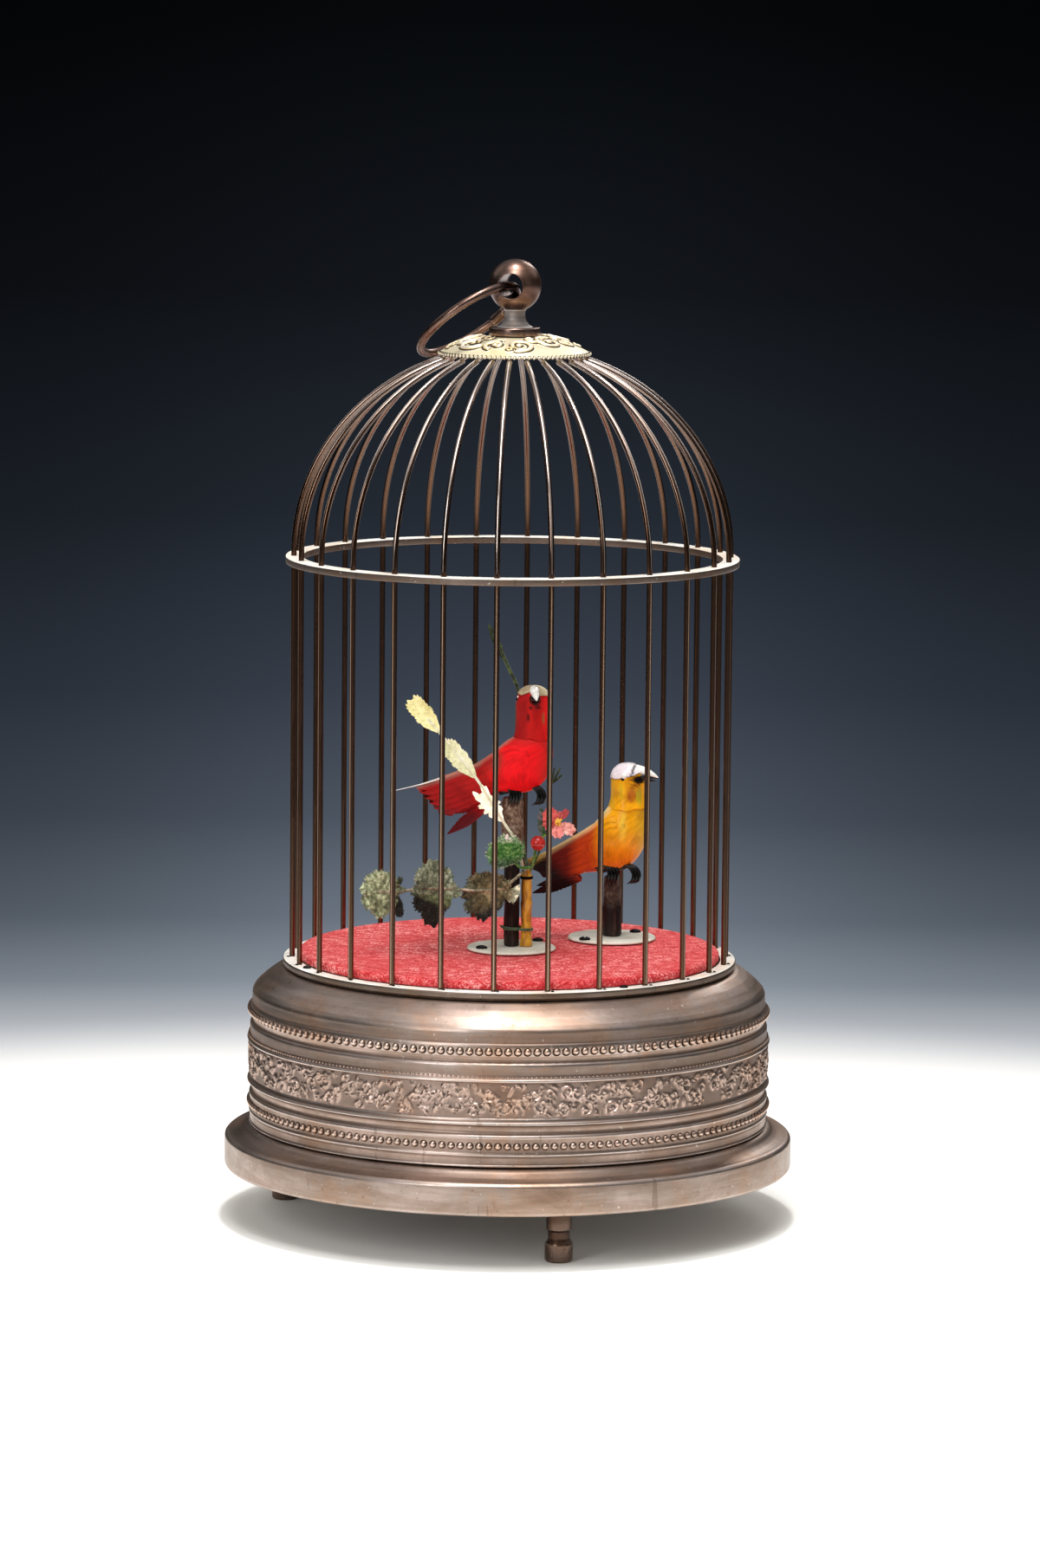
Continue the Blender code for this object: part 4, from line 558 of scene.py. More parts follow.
def curls(u, v, length, height, count, size, seed, low=0.16):
    """The relief of crowded curls and berries on a strip that closes on itself."""
    draw = np.random.default_rng(seed)
    made = np.zeros(np.broadcast(u, v).shape)
    for k in range(count):
        cu, cv = (k + draw.uniform(-0.3, 0.3)) * length / count, height * draw.uniform(low, 1 - low)
        reach, gap, way = size * draw.uniform(0.6, 1.25), draw.uniform(0, 2 * np.pi), draw.choice((-1, 1))
        du = (u - cu + length / 2) % length - length / 2
        dv = v - cv
        near = np.hypot(du, dv)
        turn = (np.arctan2(dv, du) * way - gap) % (2 * np.pi)
        line = reach * (0.35 + 0.65 * turn / (2 * np.pi))
        ridge = np.exp(-((near - line) / (0.17 * size)) ** 2) * np.clip(turn * 0.8, 0, 1)
        berry = np.exp(-(near / (0.24 * size)) ** 2)
        made = np.maximum(made, np.maximum(ridge * draw.uniform(0.6, 1.0), berry * 0.8))
    return made


def petals_pressed(u, v, length, height, count, size, seed):
    """The relief of veined leaves, laid every way over a strip that closes on itself."""
    draw = np.random.default_rng(seed)
    made = np.zeros(np.broadcast(u, v).shape)
    for k in range(count):
        cu, cv = (k + draw.uniform(-0.5, 0.5)) * length / count, height * draw.uniform(0.06, 0.94)
        turn, reach = draw.uniform(0, 2 * np.pi), size * draw.uniform(0.7, 1.3)
        du, dv = (u - cu + length / 2) % length - length / 2, v - cv
        along = (du * np.cos(turn) + dv * np.sin(turn)) / reach
        across = (dv * np.cos(turn) - du * np.sin(turn)) / reach
        half = 0.42 * np.sqrt(np.clip(1 - along ** 2, 0, 1)) * (1 - 0.35 * along)
        inside = np.clip((half - np.abs(across)) / 0.16, 0, 1)
        vein = 1 - 0.45 * np.exp(-(across / 0.06) ** 2)
        made = np.maximum(made, inside * vein * draw.uniform(0.4, 0.85))
    return made


steps = 1400
rows = np.linspace(0, BAND_HEIGHT, 31)
u = np.arange(steps)[None, :] / steps * 2 * np.pi * BAND_RADIUS
v = rows[:, None]
length = 2 * np.pi * BAND_RADIUS
relief = curls(u, v, length, BAND_HEIGHT, count=190, size=1.9, seed=3, low=0.1)
pressed = petals_pressed(u, v, length, BAND_HEIGHT, count=430, size=1.5, seed=4)
small = 0.8 * curls(u, v, length, BAND_HEIGHT, count=330, size=0.95, seed=8, low=0.08)
relief = np.maximum(np.maximum(relief, pressed), small)
relief *= np.clip(np.minimum(v, BAND_HEIGHT - v) / 0.5, 0, 1)
turn = u / BAND_RADIUS
out = BAND_RADIUS + BAND_RAISED * relief
front = np.stack([out * np.sin(turn), -out * np.cos(turn), BAND_BOTTOM + v + 0 * u], -1)
back = [np.stack([BAND_BACK * np.sin(turn), -BAND_BACK * np.cos(turn), level + 0 * turn], -1)
        for level in (BAND_BOTTOM + BAND_HEIGHT, BAND_BOTTOM)]
grid = np.concatenate([front, *back]) * MM
relief = np.concatenate([relief, np.zeros((2, steps))])
embossed = metal_finish("embossed_copper", (0.42, 0.32, 0.27), (0.15, 0.105, 0.085), (0.92, 0.70, 0.58),
                        gloss=0.30, wear=0.8)
settle("embossed_band", skin("embossed_band", grid, rows_close=True, relief=0.30 + 0.62 * relief), embossed)

# Cage side
# A flat copper ring, held down by four slotted screws, carries 26 round
# upright bars, with a highlight painted as a pale line along their outer side.
# A small black solder spot shows beside the foot of each bar.
BAR_COUNT = 26
BAR_FIRST = -3.9
BAR_CIRCLE = 63.0
BAR_RADIUS = 0.8
BAR_SIDES = 12
BAR_HIGHLIGHT_CORNER = 4  # the corner of the round that faces outwards, where a highlight line is painted
HOOP_BOTTOM = 190.8
HOOP_TOP = 192.8
# the bars' bloom setting makes the painted highlight line matt and pale, in the bright colour below
drawn_wire = {"gloss": 0.10, "dust_and_painted_highlight": True, "grain": 90.0, "bump": 0.004, "metallic": 0.92,
              "stretch": (0.35, 0.05, 1), "place": "lay"}
bar_copper = metal_finish("bar_copper", (0.165, 0.092, 0.058), (0.05, 0.026, 0.016), (0.95, 0.68, 0.48),
                          wear=0.5, **drawn_wire)
ring_copper = metal_finish("ring_copper", (0.26, 0.20, 0.16), (0.10, 0.075, 0.06), (0.90, 0.89, 0.84),
                           gloss=0.30, wear=1.0, dust_and_painted_highlight=True)


def flat_ring(name, profile, top):
    """A flat ring whose upper face is rubbed bright and whose sides stay brown."""
    rows = eased(profile, 0.3, 3, closed=True)
    return skin(name, swung(rows, 192), rows_close=True, relief=np.where(rows[:, 1:] > top, 1.0, 0.34))


ring_profile = [(61.2, 76.1), (65.3, 76.2), (65.7, 75.8), (65.6, 74.3), (65.0, 74.1), (64.8, 73.6),
                (61.2, 73.6)]
settle("base_ring", flat_ring("base_ring", ring_profile, 76.0), ring_copper, stands_for=("cage_side",))


def tube(name, path, radius, sides, closed=False, **fields):
    """A round wire along points in metres; the radius in millimetres may vary."""
    path = np.asarray(path, float)
    ahead = np.roll(path, -1, 0) - np.roll(path, 1, 0)
    if not closed:
        ahead[0], ahead[-1] = path[1] - path[0], path[-1] - path[-2]
    ahead /= np.linalg.norm(ahead, axis=1)[:, None]
    askew = (0.31, 0.52, 0.79)  # a way that no wire starts along
    side = np.cross(ahead[0], askew)
    sides_of = []
    for way in ahead:
        side = side - way * side.dot(way)
        side /= np.linalg.norm(side)
        sides_of.append(side)
    first = np.array(sides_of)
    second = np.cross(ahead, first)
    if closed:
        slip = np.arctan2(first[-1].dot(second[0]), first[-1].dot(first[0]))
        twist = slip * np.arange(len(path))[:, None] / (len(path) - 1)
        first, second = (first * np.cos(twist) - second * np.sin(twist),
                         first * np.sin(twist) + second * np.cos(twist))
    turn = turns(sides)
    size = np.broadcast_to(np.asarray(radius, float), len(path))[:, None, None] * MM
    grid = path[:, None] + size * (
        first[:, None] * np.cos(turn)[None, :, None] + second[:, None] * np.sin(turn)[None, :, None])
    fields.setdefault("relief", 0.5)
    along = np.cumsum(np.linalg.norm(np.diff(path, axis=0, prepend=path[:1]), axis=1))[:, None]
    around = size[..., 0] * turn
    fields.setdefault("lay", np.stack([around, along + 0 * around, path[0].sum() + 0 * around], -1))
    return skin(name, grid, rows_close=closed, caps=not closed, **fields)


upright = [(0, -BAR_CIRCLE * MM, z * MM) for z in (75.2, 76.2, 76.8, 133.0, 188.0, 190.6, HOOP_BOTTOM + 0.4)]
wear = np.tile(np.array([0.1, 0.1, 0.45, 0.5, 0.5, 0.4, 0.1])[:, None], (1, BAR_SIDES))
# painted highlight: a pale line up the outward corner of each bar
wear[2:6, BAR_HIGHLIGHT_CORNER] = 0.93
side_bar = tube("side_bar", upright, BAR_RADIUS, BAR_SIDES, relief=wear)
settle_ring("side_bars", side_bar, BAR_COUNT, bar_copper, first=BAR_FIRST, stands_for=("cage_side",))
black_spot = metal_finish("black_solder", (0.012, 0.012, 0.012), (0.004, 0.004, 0.004), (0.06, 0.06, 0.055),
                          gloss=0.4)
solder = np.array([(0.01, 76.54), (0.3, 76.48), (0.48, 76.3), (0.5, 75.9)])
spot = skin("solder", swung(solder, 8, on_circle(64.2, 1.1)), caps=True, relief=0.5)
settle_ring("solder_spots", spot, BAR_COUNT, black_spot, first=BAR_FIRST)


def cut_out(name, solid, tool):
    """A mesh with a second one cut away from it."""
    solid, tool = shown(name, solid), shown(name + "_tool", tool)
    cut = solid.modifiers.new("cut", "BOOLEAN")
    cut.object = tool
    cut.operation = "DIFFERENCE"
    return baked(solid, tool)


def screw_head(name, at, radius, height, level, slot_turn):
    """A domed round head with a sawn slot."""
    profile = eased([(0, height), (radius * 0.55, height * 0.96), (radius * 0.93, height * 0.55),
                     (radius, 0), (0, 0)], radius * 0.2)
    profile[:, 1] += level
    saw = bpy.data.meshes.new(name + "_saw")
    shape = bmesh.new()
    bmesh.ops.create_cube(shape, size=1)
    bmesh.ops.scale(shape, vec=(radius * 3 * MM, radius * 0.3 * MM, height * MM), verts=shape.verts)
    bmesh.ops.rotate(shape, matrix=Matrix.Rotation(math.radians(slot_turn), 3, "Z"), verts=shape.verts)
    bmesh.ops.translate(shape, vec=(at[0] * MM, at[1] * MM, (level + height * 0.92) * MM), verts=shape.verts)
    shape.to_mesh(saw)
    shape.free()
    return cut_out(name, skin(name, swung(profile, 20, at), relief=0.6), saw)


ring_screws = [
    screw_head(f"ring_screw_{k}", on_circle(BAR_CIRCLE, azimuth), 1.25, 0.75, 76.1, slot)
    for k, (azimuth, slot) in enumerate(((-66.8, 20), (31.0, -35), (122.0, 70), (-156.0, 5)))]
settle("ring_screws", ring_screws, black_spot)

# Hoop and dome
# A flat hoop, soldered to the bars, with its upper face rubbed bright. The
# bars bend over it into a dome and end bluntly under the cap; a painted
# highlight grows on them towards the cap.
DOME_SPRING = 194.1
DOME_RISE = 59.1
DOME_END = 20.4
hoop = [(60.5, HOOP_TOP), (65.4, HOOP_TOP), (65.4, HOOP_BOTTOM), (60.5, HOOP_BOTTOM)]
settle("hoop", flat_ring("hoop", hoop, HOOP_TOP - 0.15), ring_copper, stands_for=("cage_dome",))
end_turn = math.acos(DOME_END / BAR_CIRCLE)
dome_path = [(0, -BAR_CIRCLE * MM, z * MM) for z in (HOOP_TOP - 0.4, HOOP_TOP + 0.4)]
for k in range(22):
    turn = end_turn * k / 21
    reach, level = BAR_CIRCLE * math.cos(turn), DOME_SPRING + DOME_RISE * math.sin(turn)
    dome_path.append((0, -reach * MM, level * MM))
# painted highlight: the dome bars grow paler towards the cap, with a near-white line along their outer
# corner
wear = np.tile(np.linspace(0.42, 0.66, len(dome_path))[:, None], (1, BAR_SIDES))
wear[:2], wear[-2:] = 0.2, 0.72
wear[2:, BAR_HIGHLIGHT_CORNER] = np.linspace(0.84, 0.95, len(dome_path) - 2)
dome_copper = metal_finish("dome_copper", (0.165, 0.092, 0.058), (0.05, 0.026, 0.016), (0.98, 0.90, 0.85),
                           wear=0.85, **drawn_wire)
dome_bar = tube("dome_bar", dome_path, BAR_RADIUS, BAR_SIDES, relief=wear)
settle_ring("dome_bars", dome_bar, BAR_COUNT, dome_copper, first=BAR_FIRST, stands_for=("cage_dome",))

# Crown cap
# A pressed cap that hides the bars' ends, with raised curls and a rope edge.
# Its cream gilding is worn, and the curls' outlines are dark.
CAP_MIDDLE = 15.0
CAP_RAISED = 0.95
gilt, tree, shader = new_finish("worn_gilding")
place = own_place(tree)
stain = noise(tree, place, 260.0, 4.0, 0.65)
raised = sums(tree, "MULTIPLY_ADD", stain, 0.16, sums(tree, "ADD", stored(tree, "relief"), -0.08))
cream = graded(tree, raised, [
    (0.0, (0.72, 0.64, 0.44)), (0.08, (0.80, 0.72, 0.54)), (0.13, (0.05, 0.038, 0.025)),
    (0.31, (0.04, 0.03, 0.02)), (0.42, (0.70, 0.50, 0.20)), (0.60, (0.88, 0.78, 0.60)),
    (1.0, (0.95, 0.90, 0.80))])
yellowed = sums(tree, "MULTIPLY_ADD", noise(tree, place, 90.0, 3.0), 3.0, -1.5, clamp=True)
feed(tree, shader, {
    "Metallic": 0.5, "Base Color": blended(tree, yellowed, cream, (0.88, 0.74, 0.50), "MULTIPLY"),
    "Roughness": sums(tree, "MULTIPLY_ADD", stain, 0.35, 0.28), "Normal": bumped(tree, stain, 0.25, 0.0002)})
steps = 420
outer = eased([(2.4, 256.2), (7.4, 256.2), (10.6, 255.9), (14.0, 255.1), (17.0, 254.0), (19.6, 252.8),
               (21.6, 251.7)], 1.4, 6)
fine = np.linspace(0, 1, 64)
walk = np.concatenate([[0], np.cumsum(np.linalg.norm(np.diff(outer, axis=0), axis=1))])
outer = np.stack([np.interp(fine * walk[-1], walk, outer[:, axis]) for axis in (0, 1)], -1)
u = np.arange(steps)[None, :] / steps * 2 * np.pi * CAP_MIDDLE
v = (fine * walk[-1])[:, None]
length = 2 * np.pi * CAP_MIDDLE
relief = np.maximum(curls(u, v - 5.0, length, walk[-1] - 6.0, count=15, size=4.0, seed=5, low=0.3),
                    0.8 * curls(u, v - 5.0, length, walk[-1] - 6.0, count=17, size=2.3, seed=12))
relief *= np.clip((v - 6.0) / 1.0, 0, 1) * np.clip((walk[-1] - 0.9 - v) / 0.7, 0, 1)
cap_grid = swung(outer, steps)
cap_grid[..., 2] += CAP_RAISED * MM * relief
under = swung(np.array([(21.7, 251.2), (20.6, 251.2), (14.0, 253.6), (2.4, 255.2)]), steps)
pressed = skin("crown_cap_pressed", np.concatenate([cap_grid, under]), rows_close=True, sharp=60,
               relief=np.concatenate([relief, np.zeros((4, steps))]))
settle("crown_cap_pressed", pressed, gilt, stands_for=("crown_cap",))
strand = [(0.01, 0.60), (0.26, 0.52), (0.44, 0.26), (0.52, 0.0), (0.54, -0.3)]
settle_ring("cap_rope", boss("strand", strand, 8, 21.5, 251.4, 1.3, 0.8, low=0.2), 96, gilt)

# Finial
# Collar, spool neck and ball, turned in one piece; the ball is bored through
# for the carrying ring and has a rolled lip round each mouth.
BALL_CENTRE = 270.9
BALL_RADIUS = 7.55
BORE_RADIUS = 3.7
BORE_AZIMUTH = -12.0
ball_copper = metal_finish("ball_copper", (0.19, 0.115, 0.09), (0.04, 0.02, 0.015), (0.55, 0.42, 0.36),
                           gloss=0.22, grain=1200.0, wear=0.5)
profile = [(0, BALL_CENTRE + BALL_RADIUS)]
for k in range(1, 25):
    turn = math.radians(90 - 150 * k / 24)
    profile.append((BALL_RADIUS * math.cos(turn), BALL_CENTRE + BALL_RADIUS * math.sin(turn)))
profile += [(2.7, 263.6), (0, 263.6)]
bore_way = Vector((*on_circle(1, BORE_AZIMUTH), 0))
bore_path = [tuple(Vector((0, 0, BALL_CENTRE * MM)) + bore_way * s * 0.012) for s in (-1, -0.33, 0.33, 1)]
bored = cut_out("ball", turned("ball", profile, 64, radius=0.2, cuts=2),
                tube("drill", bore_path, BORE_RADIUS, 40, relief=0.1))
bored.shade_smooth()
bored.set_sharp_from_angle(angle=math.radians(35))
across = Vector((-bore_way.y, bore_way.x, 0))
lips = []
mouth = math.sqrt(BALL_RADIUS ** 2 - BORE_RADIUS ** 2)
for way in (1, -1):
    lip = []
    for k in range(40):
        turn = 2 * math.pi * k / 40
        lip.append(Vector((0, 0, BALL_CENTRE)) + bore_way * way * mouth
                   + (across * math.cos(turn) + Vector((0, 0, 1)) * math.sin(turn)) * (BORE_RADIUS + 0.05))
    lips.append(tube("lip", [tuple(point * MM) for point in lip], 0.16, 8, closed=True, relief=0.4))
settle("finial_ball", [bored, *lips], ball_copper, stands_for=("finial",))
frosted = metal_finish("frosted_copper", (0.46, 0.42, 0.39), (0.16, 0.12, 0.10), (0.86, 0.84, 0.80),
                       gloss=0.5, grain=500.0, wear=0.9)
neck = [(0, 264.2), (3.3, 264.2), (3.0, 263.4), (2.95, 261.8), (3.25, 260.7), (4.1, 259.6), (5.3, 258.9),
        (5.4, 258.5), (0, 258.5)]
settle("finial_neck", turned("finial_neck", neck, 56, radius=0.4), frosted)
collar = [(0, 258.95), (7.1, 258.9), (7.4, 258.6), (7.4, 256.6), (2.0, 256.5), (2.0, 252.6), (0, 252.6)]
settle("finial_collar", turned("finial_collar", collar, 64, radius=0.2), ball_copper)

# Carrying ring
# A round copper wire through the ball, closed by a ferrule over the joint.
# It leans to the left and rests on the cap's edge.
BAIL_RADIUS = 16.2
BAIL_REACH = 16.9
BAIL_LEAN = math.radians(12.0)
BAIL_DROP = math.radians(37.0)
bail_side = Vector((bore_way.y, -bore_way.x, 0))
bail_reach = bail_side * math.cos(BAIL_DROP) + Vector((0, 0, -math.sin(BAIL_DROP)))
bail_lift = bail_side * math.sin(BAIL_DROP) + Vector((0, 0, math.cos(BAIL_DROP)))
bail_across = bore_way * math.cos(BAIL_LEAN) + bail_lift * math.sin(BAIL_LEAN)
middle = Vector((0, 0, BALL_CENTRE)) + bail_reach * BAIL_REACH


def on_bail(turn):
    """A point of the carrying ring's middle line, in metres."""
    turn = math.radians(turn)
    return tuple((middle + (bail_across * math.cos(turn) + bail_reach * math.sin(turn)) * BAIL_RADIUS) * MM)


wire_ring = tube("bail_wire", [on_bail(3 * k) for k in range(120)], 1.25, 14, closed=True, relief=0.55)
ferrule_turns = np.linspace(186, 208, 15)
ferrule_size = [1.25, 1.5, 1.6] + [1.62] * 9 + [1.6, 1.5, 1.25]
ferrule_wear = np.array([0.1, 0.9, 0.8] + [0.55] * 9 + [0.8, 0.9, 0.1])[:, None]
sleeve = tube("ferrule", [on_bail(turn) for turn in ferrule_turns], ferrule_size, 18, relief=ferrule_wear)
settle("carrying_ring", [wire_ring, sleeve], ball_copper, body="bail", stands_for=("bail_ring",))

# Floor board and felt
# A round board lies in the ring, under a disc of coral-red pile felt with a
# cut edge. The felt is a laid sheet; its pile is dusty, with shade painted
# down into it and a painted sheen on its pale tips.
FELT_RADIUS = 60.8
FELT_TOP = 78.55
FELT_RIPPLE = 0.03
board_wood, tree, shader = new_finish("board_wood_grain")
place = own_place(tree)
growth = add(tree, "ShaderNodeTexWave", {
    "Vector": scaled(tree, place, (1, 0.08, 1)), "Scale": 90.0, "Distortion": 5.0, "Detail": 3.0,
    "Detail Scale": 1.6})
fibre = noise(tree, scaled(tree, place, (1, 0.05, 1)), 900.0, 3.0)
tone = sums(tree, "MULTIPLY_ADD", fibre, 0.45, sums(tree, "MULTIPLY", growth.outputs["Fac"], 0.55))
feed(tree, shader, {
    "Base Color": graded(tree, tone, [
        (0.15, (0.19, 0.105, 0.05)), (0.5, (0.33, 0.20, 0.105)), (0.85, (0.45, 0.29, 0.16))]),
    "Roughness": sums(tree, "MULTIPLY_ADD", fibre, 0.25, 0.5), "Normal": bumped(tree, tone, 0.3, 0.0002)})


def cloth_finish(name, colours, scale, bump=0.6, attribute=None, sheen=0.3, rough=0.85):
    """A fibrous cloth with dark, middle and light specks over the whole surface; the dark are painted shade
    low in the pile, the light are dust with a painted sheen.
    """
    made, tree, shader = new_finish(name)
    flecks = add(tree, "ShaderNodeGroup", {
        "Place": own_place(tree), "Scale": scale, **dict(zip(("Shaded_roots", "Middle", "Light"), colours))},
        node_tree=pile)
    colour = flecks.outputs["Colour"]
    if attribute:
        colour = blended(tree, 1.0, colour, stored(tree, attribute, "Vector"), "MULTIPLY")
    feed(tree, shader, {
        "Base Color": colour, "Roughness": rough, "Sheen Weight": sheen,
        "Specular IOR Level": 0.5 if rough < 0.5 else 0.15,
        "Normal": bumped(tree, flecks.outputs["Height"], bump, 0.0004)})
    return made


# cut pile and flock: dark roots, which are painted shade, coloured fibres, and light tips where dust lies,
# which also paint a sheen
pile, inside, ends = shader_group("pile", [
    ("Place", "vector"), ("Shaded_roots", (0.2, 0.02, 0.02)), ("Middle", (0.6, 0.1, 0.1)),
    ("Light", (0.9, 0.6, 0.6)), ("Scale", 1500.0)], [COLOUR_OUT, HEIGHT_OUT])
fine = noise(pile, inside["Place"], inside["Scale"], 3.0, 0.7)
tufts = noise(pile, inside["Place"], sums(pile, "MULTIPLY", inside["Scale"], 0.23), 3.0, 0.6)
dust = noise(pile, inside["Place"], 55.0, 3.0, 0.6)
level = sums(pile, "MULTIPLY_ADD", fine, 0.65, sums(pile, "MULTIPLY", tufts, 0.35))
shade = blended(pile, ranged(pile, level, 0.36, 0.52), inside["Shaded_roots"], inside["Middle"])
dust_and_painted_highlight = sums(pile, "MULTIPLY_ADD", dust, 2.2, -0.5, clamp=True)
light = sums(pile, "MULTIPLY", ranged(pile, level, 0.50, 0.66), dust_and_painted_highlight)
feed(pile, ends, {"Colour": blended(pile, light, shade, inside["Light"]), "Height": level})

# the first colour is the painted shade down in the pile, the last the dust and painted sheen on the tips
felt_look = cloth_finish("coral_felt", ((0.34, 0.010, 0.014), (0.62, 0.045, 0.052), (1.0, 0.66, 0.64)),
                         1500.0, sheen=0.05)
nap = [(0, FELT_TOP), *((FELT_RADIUS * k / 60 - 0.3, FELT_TOP) for k in range(1, 60)),
       (60.45, 78.3), (FELT_RADIUS, 77.7), (FELT_RADIUS, 76.25), (0, 76.2)]
felt_points = swung(np.array(nap), 180)
ripple = np.random.default_rng(4)
waves = [(ripple.uniform(0.05, 0.22), ripple.uniform(0.05, 0.22), ripple.uniform(0, 6.3)) for _ in range(7)]
lift = sum(np.sin(felt_points[..., 0] / MM * across + felt_points[..., 1] / MM * along + start)
           for across, along, start in waves)
felt_points[1:59, :, 2] += lift[1:59] * FELT_RIPPLE * MM
felt = settle("felt_disc", skin("felt_disc", felt_points, sharp=50), felt_look,
              stands_for=("felt_floor",))

# Ivory plates
# A round ivory plate covers the felt where each post comes through. Two
# black slotted screws hold each one down on opposite sides of the post.
POSTS = ((0.6, -3.0), (30.0, 18.0))
FIXINGS = (((-8.0, -8.0), (8.3, 7.0)), ((22.0, 10.0), (37.0, 25.0)))
PLATE_TOP = 79.7
ivory = cloth_finish("ivory_enamel", ((0.56, 0.53, 0.44), (0.70, 0.68, 0.60), (0.80, 0.79, 0.73)), 160.0,
                     bump=0.1, sheen=0.0, rough=0.35)
plate = [(1.4, PLATE_TOP), (12.5, PLATE_TOP), (12.9, 79.3), (12.9, 78.9), (1.4, 78.9)]
plates, screws = [], []
for k, (at, fixings) in enumerate(zip(POSTS, FIXINGS)):
    plates.append(turned(f"plate_{k}", plate, 72, at, closed=True))
    for j, fixing in enumerate(fixings):
        slot_turn = 25 + 140 * j + 60 * k
        screws.append(screw_head(f"plate_screw_{k}_{j}", fixing, 1.75, 0.85, PLATE_TOP, slot_turn))
settle("ivory_plates", plates, ivory, stands_for=("escutcheon_tall", "escutcheon_short"))
settle("plate_screws", screws, black_spot)

# Posts
# Two hollow stems carry the birds. They are near-black and streaky like old
# wood below, and the top of the tall one is wrapped in grey-brown cloth.
bark, tree, shader = new_finish("post_bark_streaks")
place = own_place(tree)
streak = noise(tree, scaled(tree, place, (1, 1, 0.12)), 700.0, 4.0, 0.7)
wrap = stored(tree, "relief")
wood = graded(tree, streak, [
    (0.35, (0.004, 0.002, 0.002)), (0.55, (0.014, 0.006, 0.005)), (0.75, (0.07, 0.036, 0.026))])
weave = noise(tree, place, 620.0, 5.0, 0.75)
cloth = graded(tree, weave, [
    (0.32, (0.045, 0.022, 0.014)), (0.5, (0.17, 0.10, 0.068)), (0.68, (0.42, 0.32, 0.24))])
feed(tree, shader, {
    "Base Color": blended(tree, wrap, wood, cloth), "Specular IOR Level": 0.25,
    "Roughness": sums(tree, "MULTIPLY_ADD", wrap, 0.35, 0.45),
    "Normal": bumped(tree, sums(tree, "ADD", streak, weave), 0.6, 0.0003)})


def post(name, at, profile, wraps, seed):
    """A hollow stem with a slightly uneven surface; wraps is 1 where cloth covers it."""
    inner = [(1.0, profile[-1][1]), (1.0, profile[0][1])]
    rows = eased([*profile, *inner], 0.3, 2, closed=True)
    grid = swung(rows, 40, at)
    draw = np.random.default_rng(seed)
    turn = turns(40)
    rough = sum(draw.uniform(0.02, 0.07)
                * np.sin(turn * k + rows[:, 1:] * draw.uniform(0.1, 0.9) + draw.uniform(0, 6))
                for k in (2, 3, 5, 8))
    rough = np.where(rows[:, :1] > 1.3, rough, 0)
    grid[..., 0] += rough * np.sin(turn) * MM
    grid[..., 1] -= rough * np.cos(turn) * MM
    cover = np.interp(rows[:, 1], *wraps)[:, None]
    return skin(name, grid, rows_close=True, relief=cover)


tall = [(2.2, 79.9), (2.22, 86), (2.15, 92), (2.25, 99), (2.2, 105), (2.3, 107.4), (3.0, 109.2), (3.15, 111),
        (3.2, 115), (3.1, 119), (3.15, 121.6), (2.6, 123.2)]
short = [(2.8, 79.9), (2.75, 83), (2.8, 88), (2.55, 89), (2.5, 92), (2.5, 96.4), (2.2, 97.4)]
settle("tall_stem", post("tall_stem", POSTS[0], tall, ((106, 109), (0, 1)), 1), bark,
       stands_for=("tall_post",))
settle("short_stem", post("short_stem", POSTS[1], short, ((88, 92), (0, 0.35)), 2), bark,
       stands_for=("short_post",))

# Amber tube
# A wrinkled tube of amber lacquered paper stands beside the tall post and
# holds the stems. A green thread ties it on, with its knot at the left.
amber, tree, shader = new_finish("amber_lacquer")
crease = noise(tree, scaled(tree, own_place(tree), (1, 1, 0.35)), 420.0, 4.0, 0.6, 0.8)
glaze = graded(tree, crease, [
    (0.3, (0.11, 0.035, 0.004)), (0.45, (0.40, 0.16, 0.010)), (0.6, (0.66, 0.33, 0.02)),
    (0.78, (0.86, 0.58, 0.10))])
feed(tree, shader, {
    "Base Color": glaze, "Roughness": sums(tree, "MULTIPLY_ADD", crease, 0.3, 0.2), "Coat Weight": 0.4,
    "Normal": bumped(tree, crease, 0.7, 0.0005)})
TUBE_SPOT = (4.85, -3.7)
TIE_MIDDLE = (2.7, -3.35)
tube_profile = [
    (0, 79.8), (1.85, 79.8), (1.75, 81.0), (1.5, 82.6), (1.62, 85.0), (1.45, 86.4), (1.6, 90.0),
    (1.72, 92.4), (1.5, 93.2), (1.56, 97.0), (1.45, 99.2), (1.72, 99.5), (1.72, 100.4), (1.3, 100.8),
    (1.2, 102.2), (0, 102.3)]
settle("amber_stem_tube", turned("amber_stem_tube", tube_profile, 28, TUBE_SPOT), amber,
       stands_for=("stem_tube",))
collar = [(1.50, 99.4), (1.86, 99.5), (1.9, 99.9), (1.86, 100.3), (1.50, 100.4)]
settle("tube_collar", turned("tube_collar", collar, 28, TUBE_SPOT, closed=True, radius=0.1), black_spot)
thread_look = cloth_finish("green_thread", ((0.02, 0.035, 0.02), (0.06, 0.10, 0.055), (0.16, 0.22, 0.12)),
                           2400.0, bump=0.4, sheen=0.2)


def thread_loop(level, slope, seed):
    """One turn of thread round the tall post and the tube together."""
    draw = np.random.default_rng(seed)
    path = []
    for k in range(48):
        turn = 2 * math.pi * k / 48
        x, y = math.cos(turn), math.sin(turn)
        reach = max((at[0] - TIE_MIDDLE[0]) * x + (at[1] - TIE_MIDDLE[1]) * y + size
                    for at, size in ((POSTS[0], 2.45), (TUBE_SPOT, 1.85)))
        path.append(((TIE_MIDDLE[0] + reach * x) * MM, (TIE_MIDDLE[1] + reach * y) * MM,
                     (level + slope * x + draw.uniform(-0.05, 0.05)) * MM))
    return tube("thread_loop", path, 0.22, 6, closed=True)


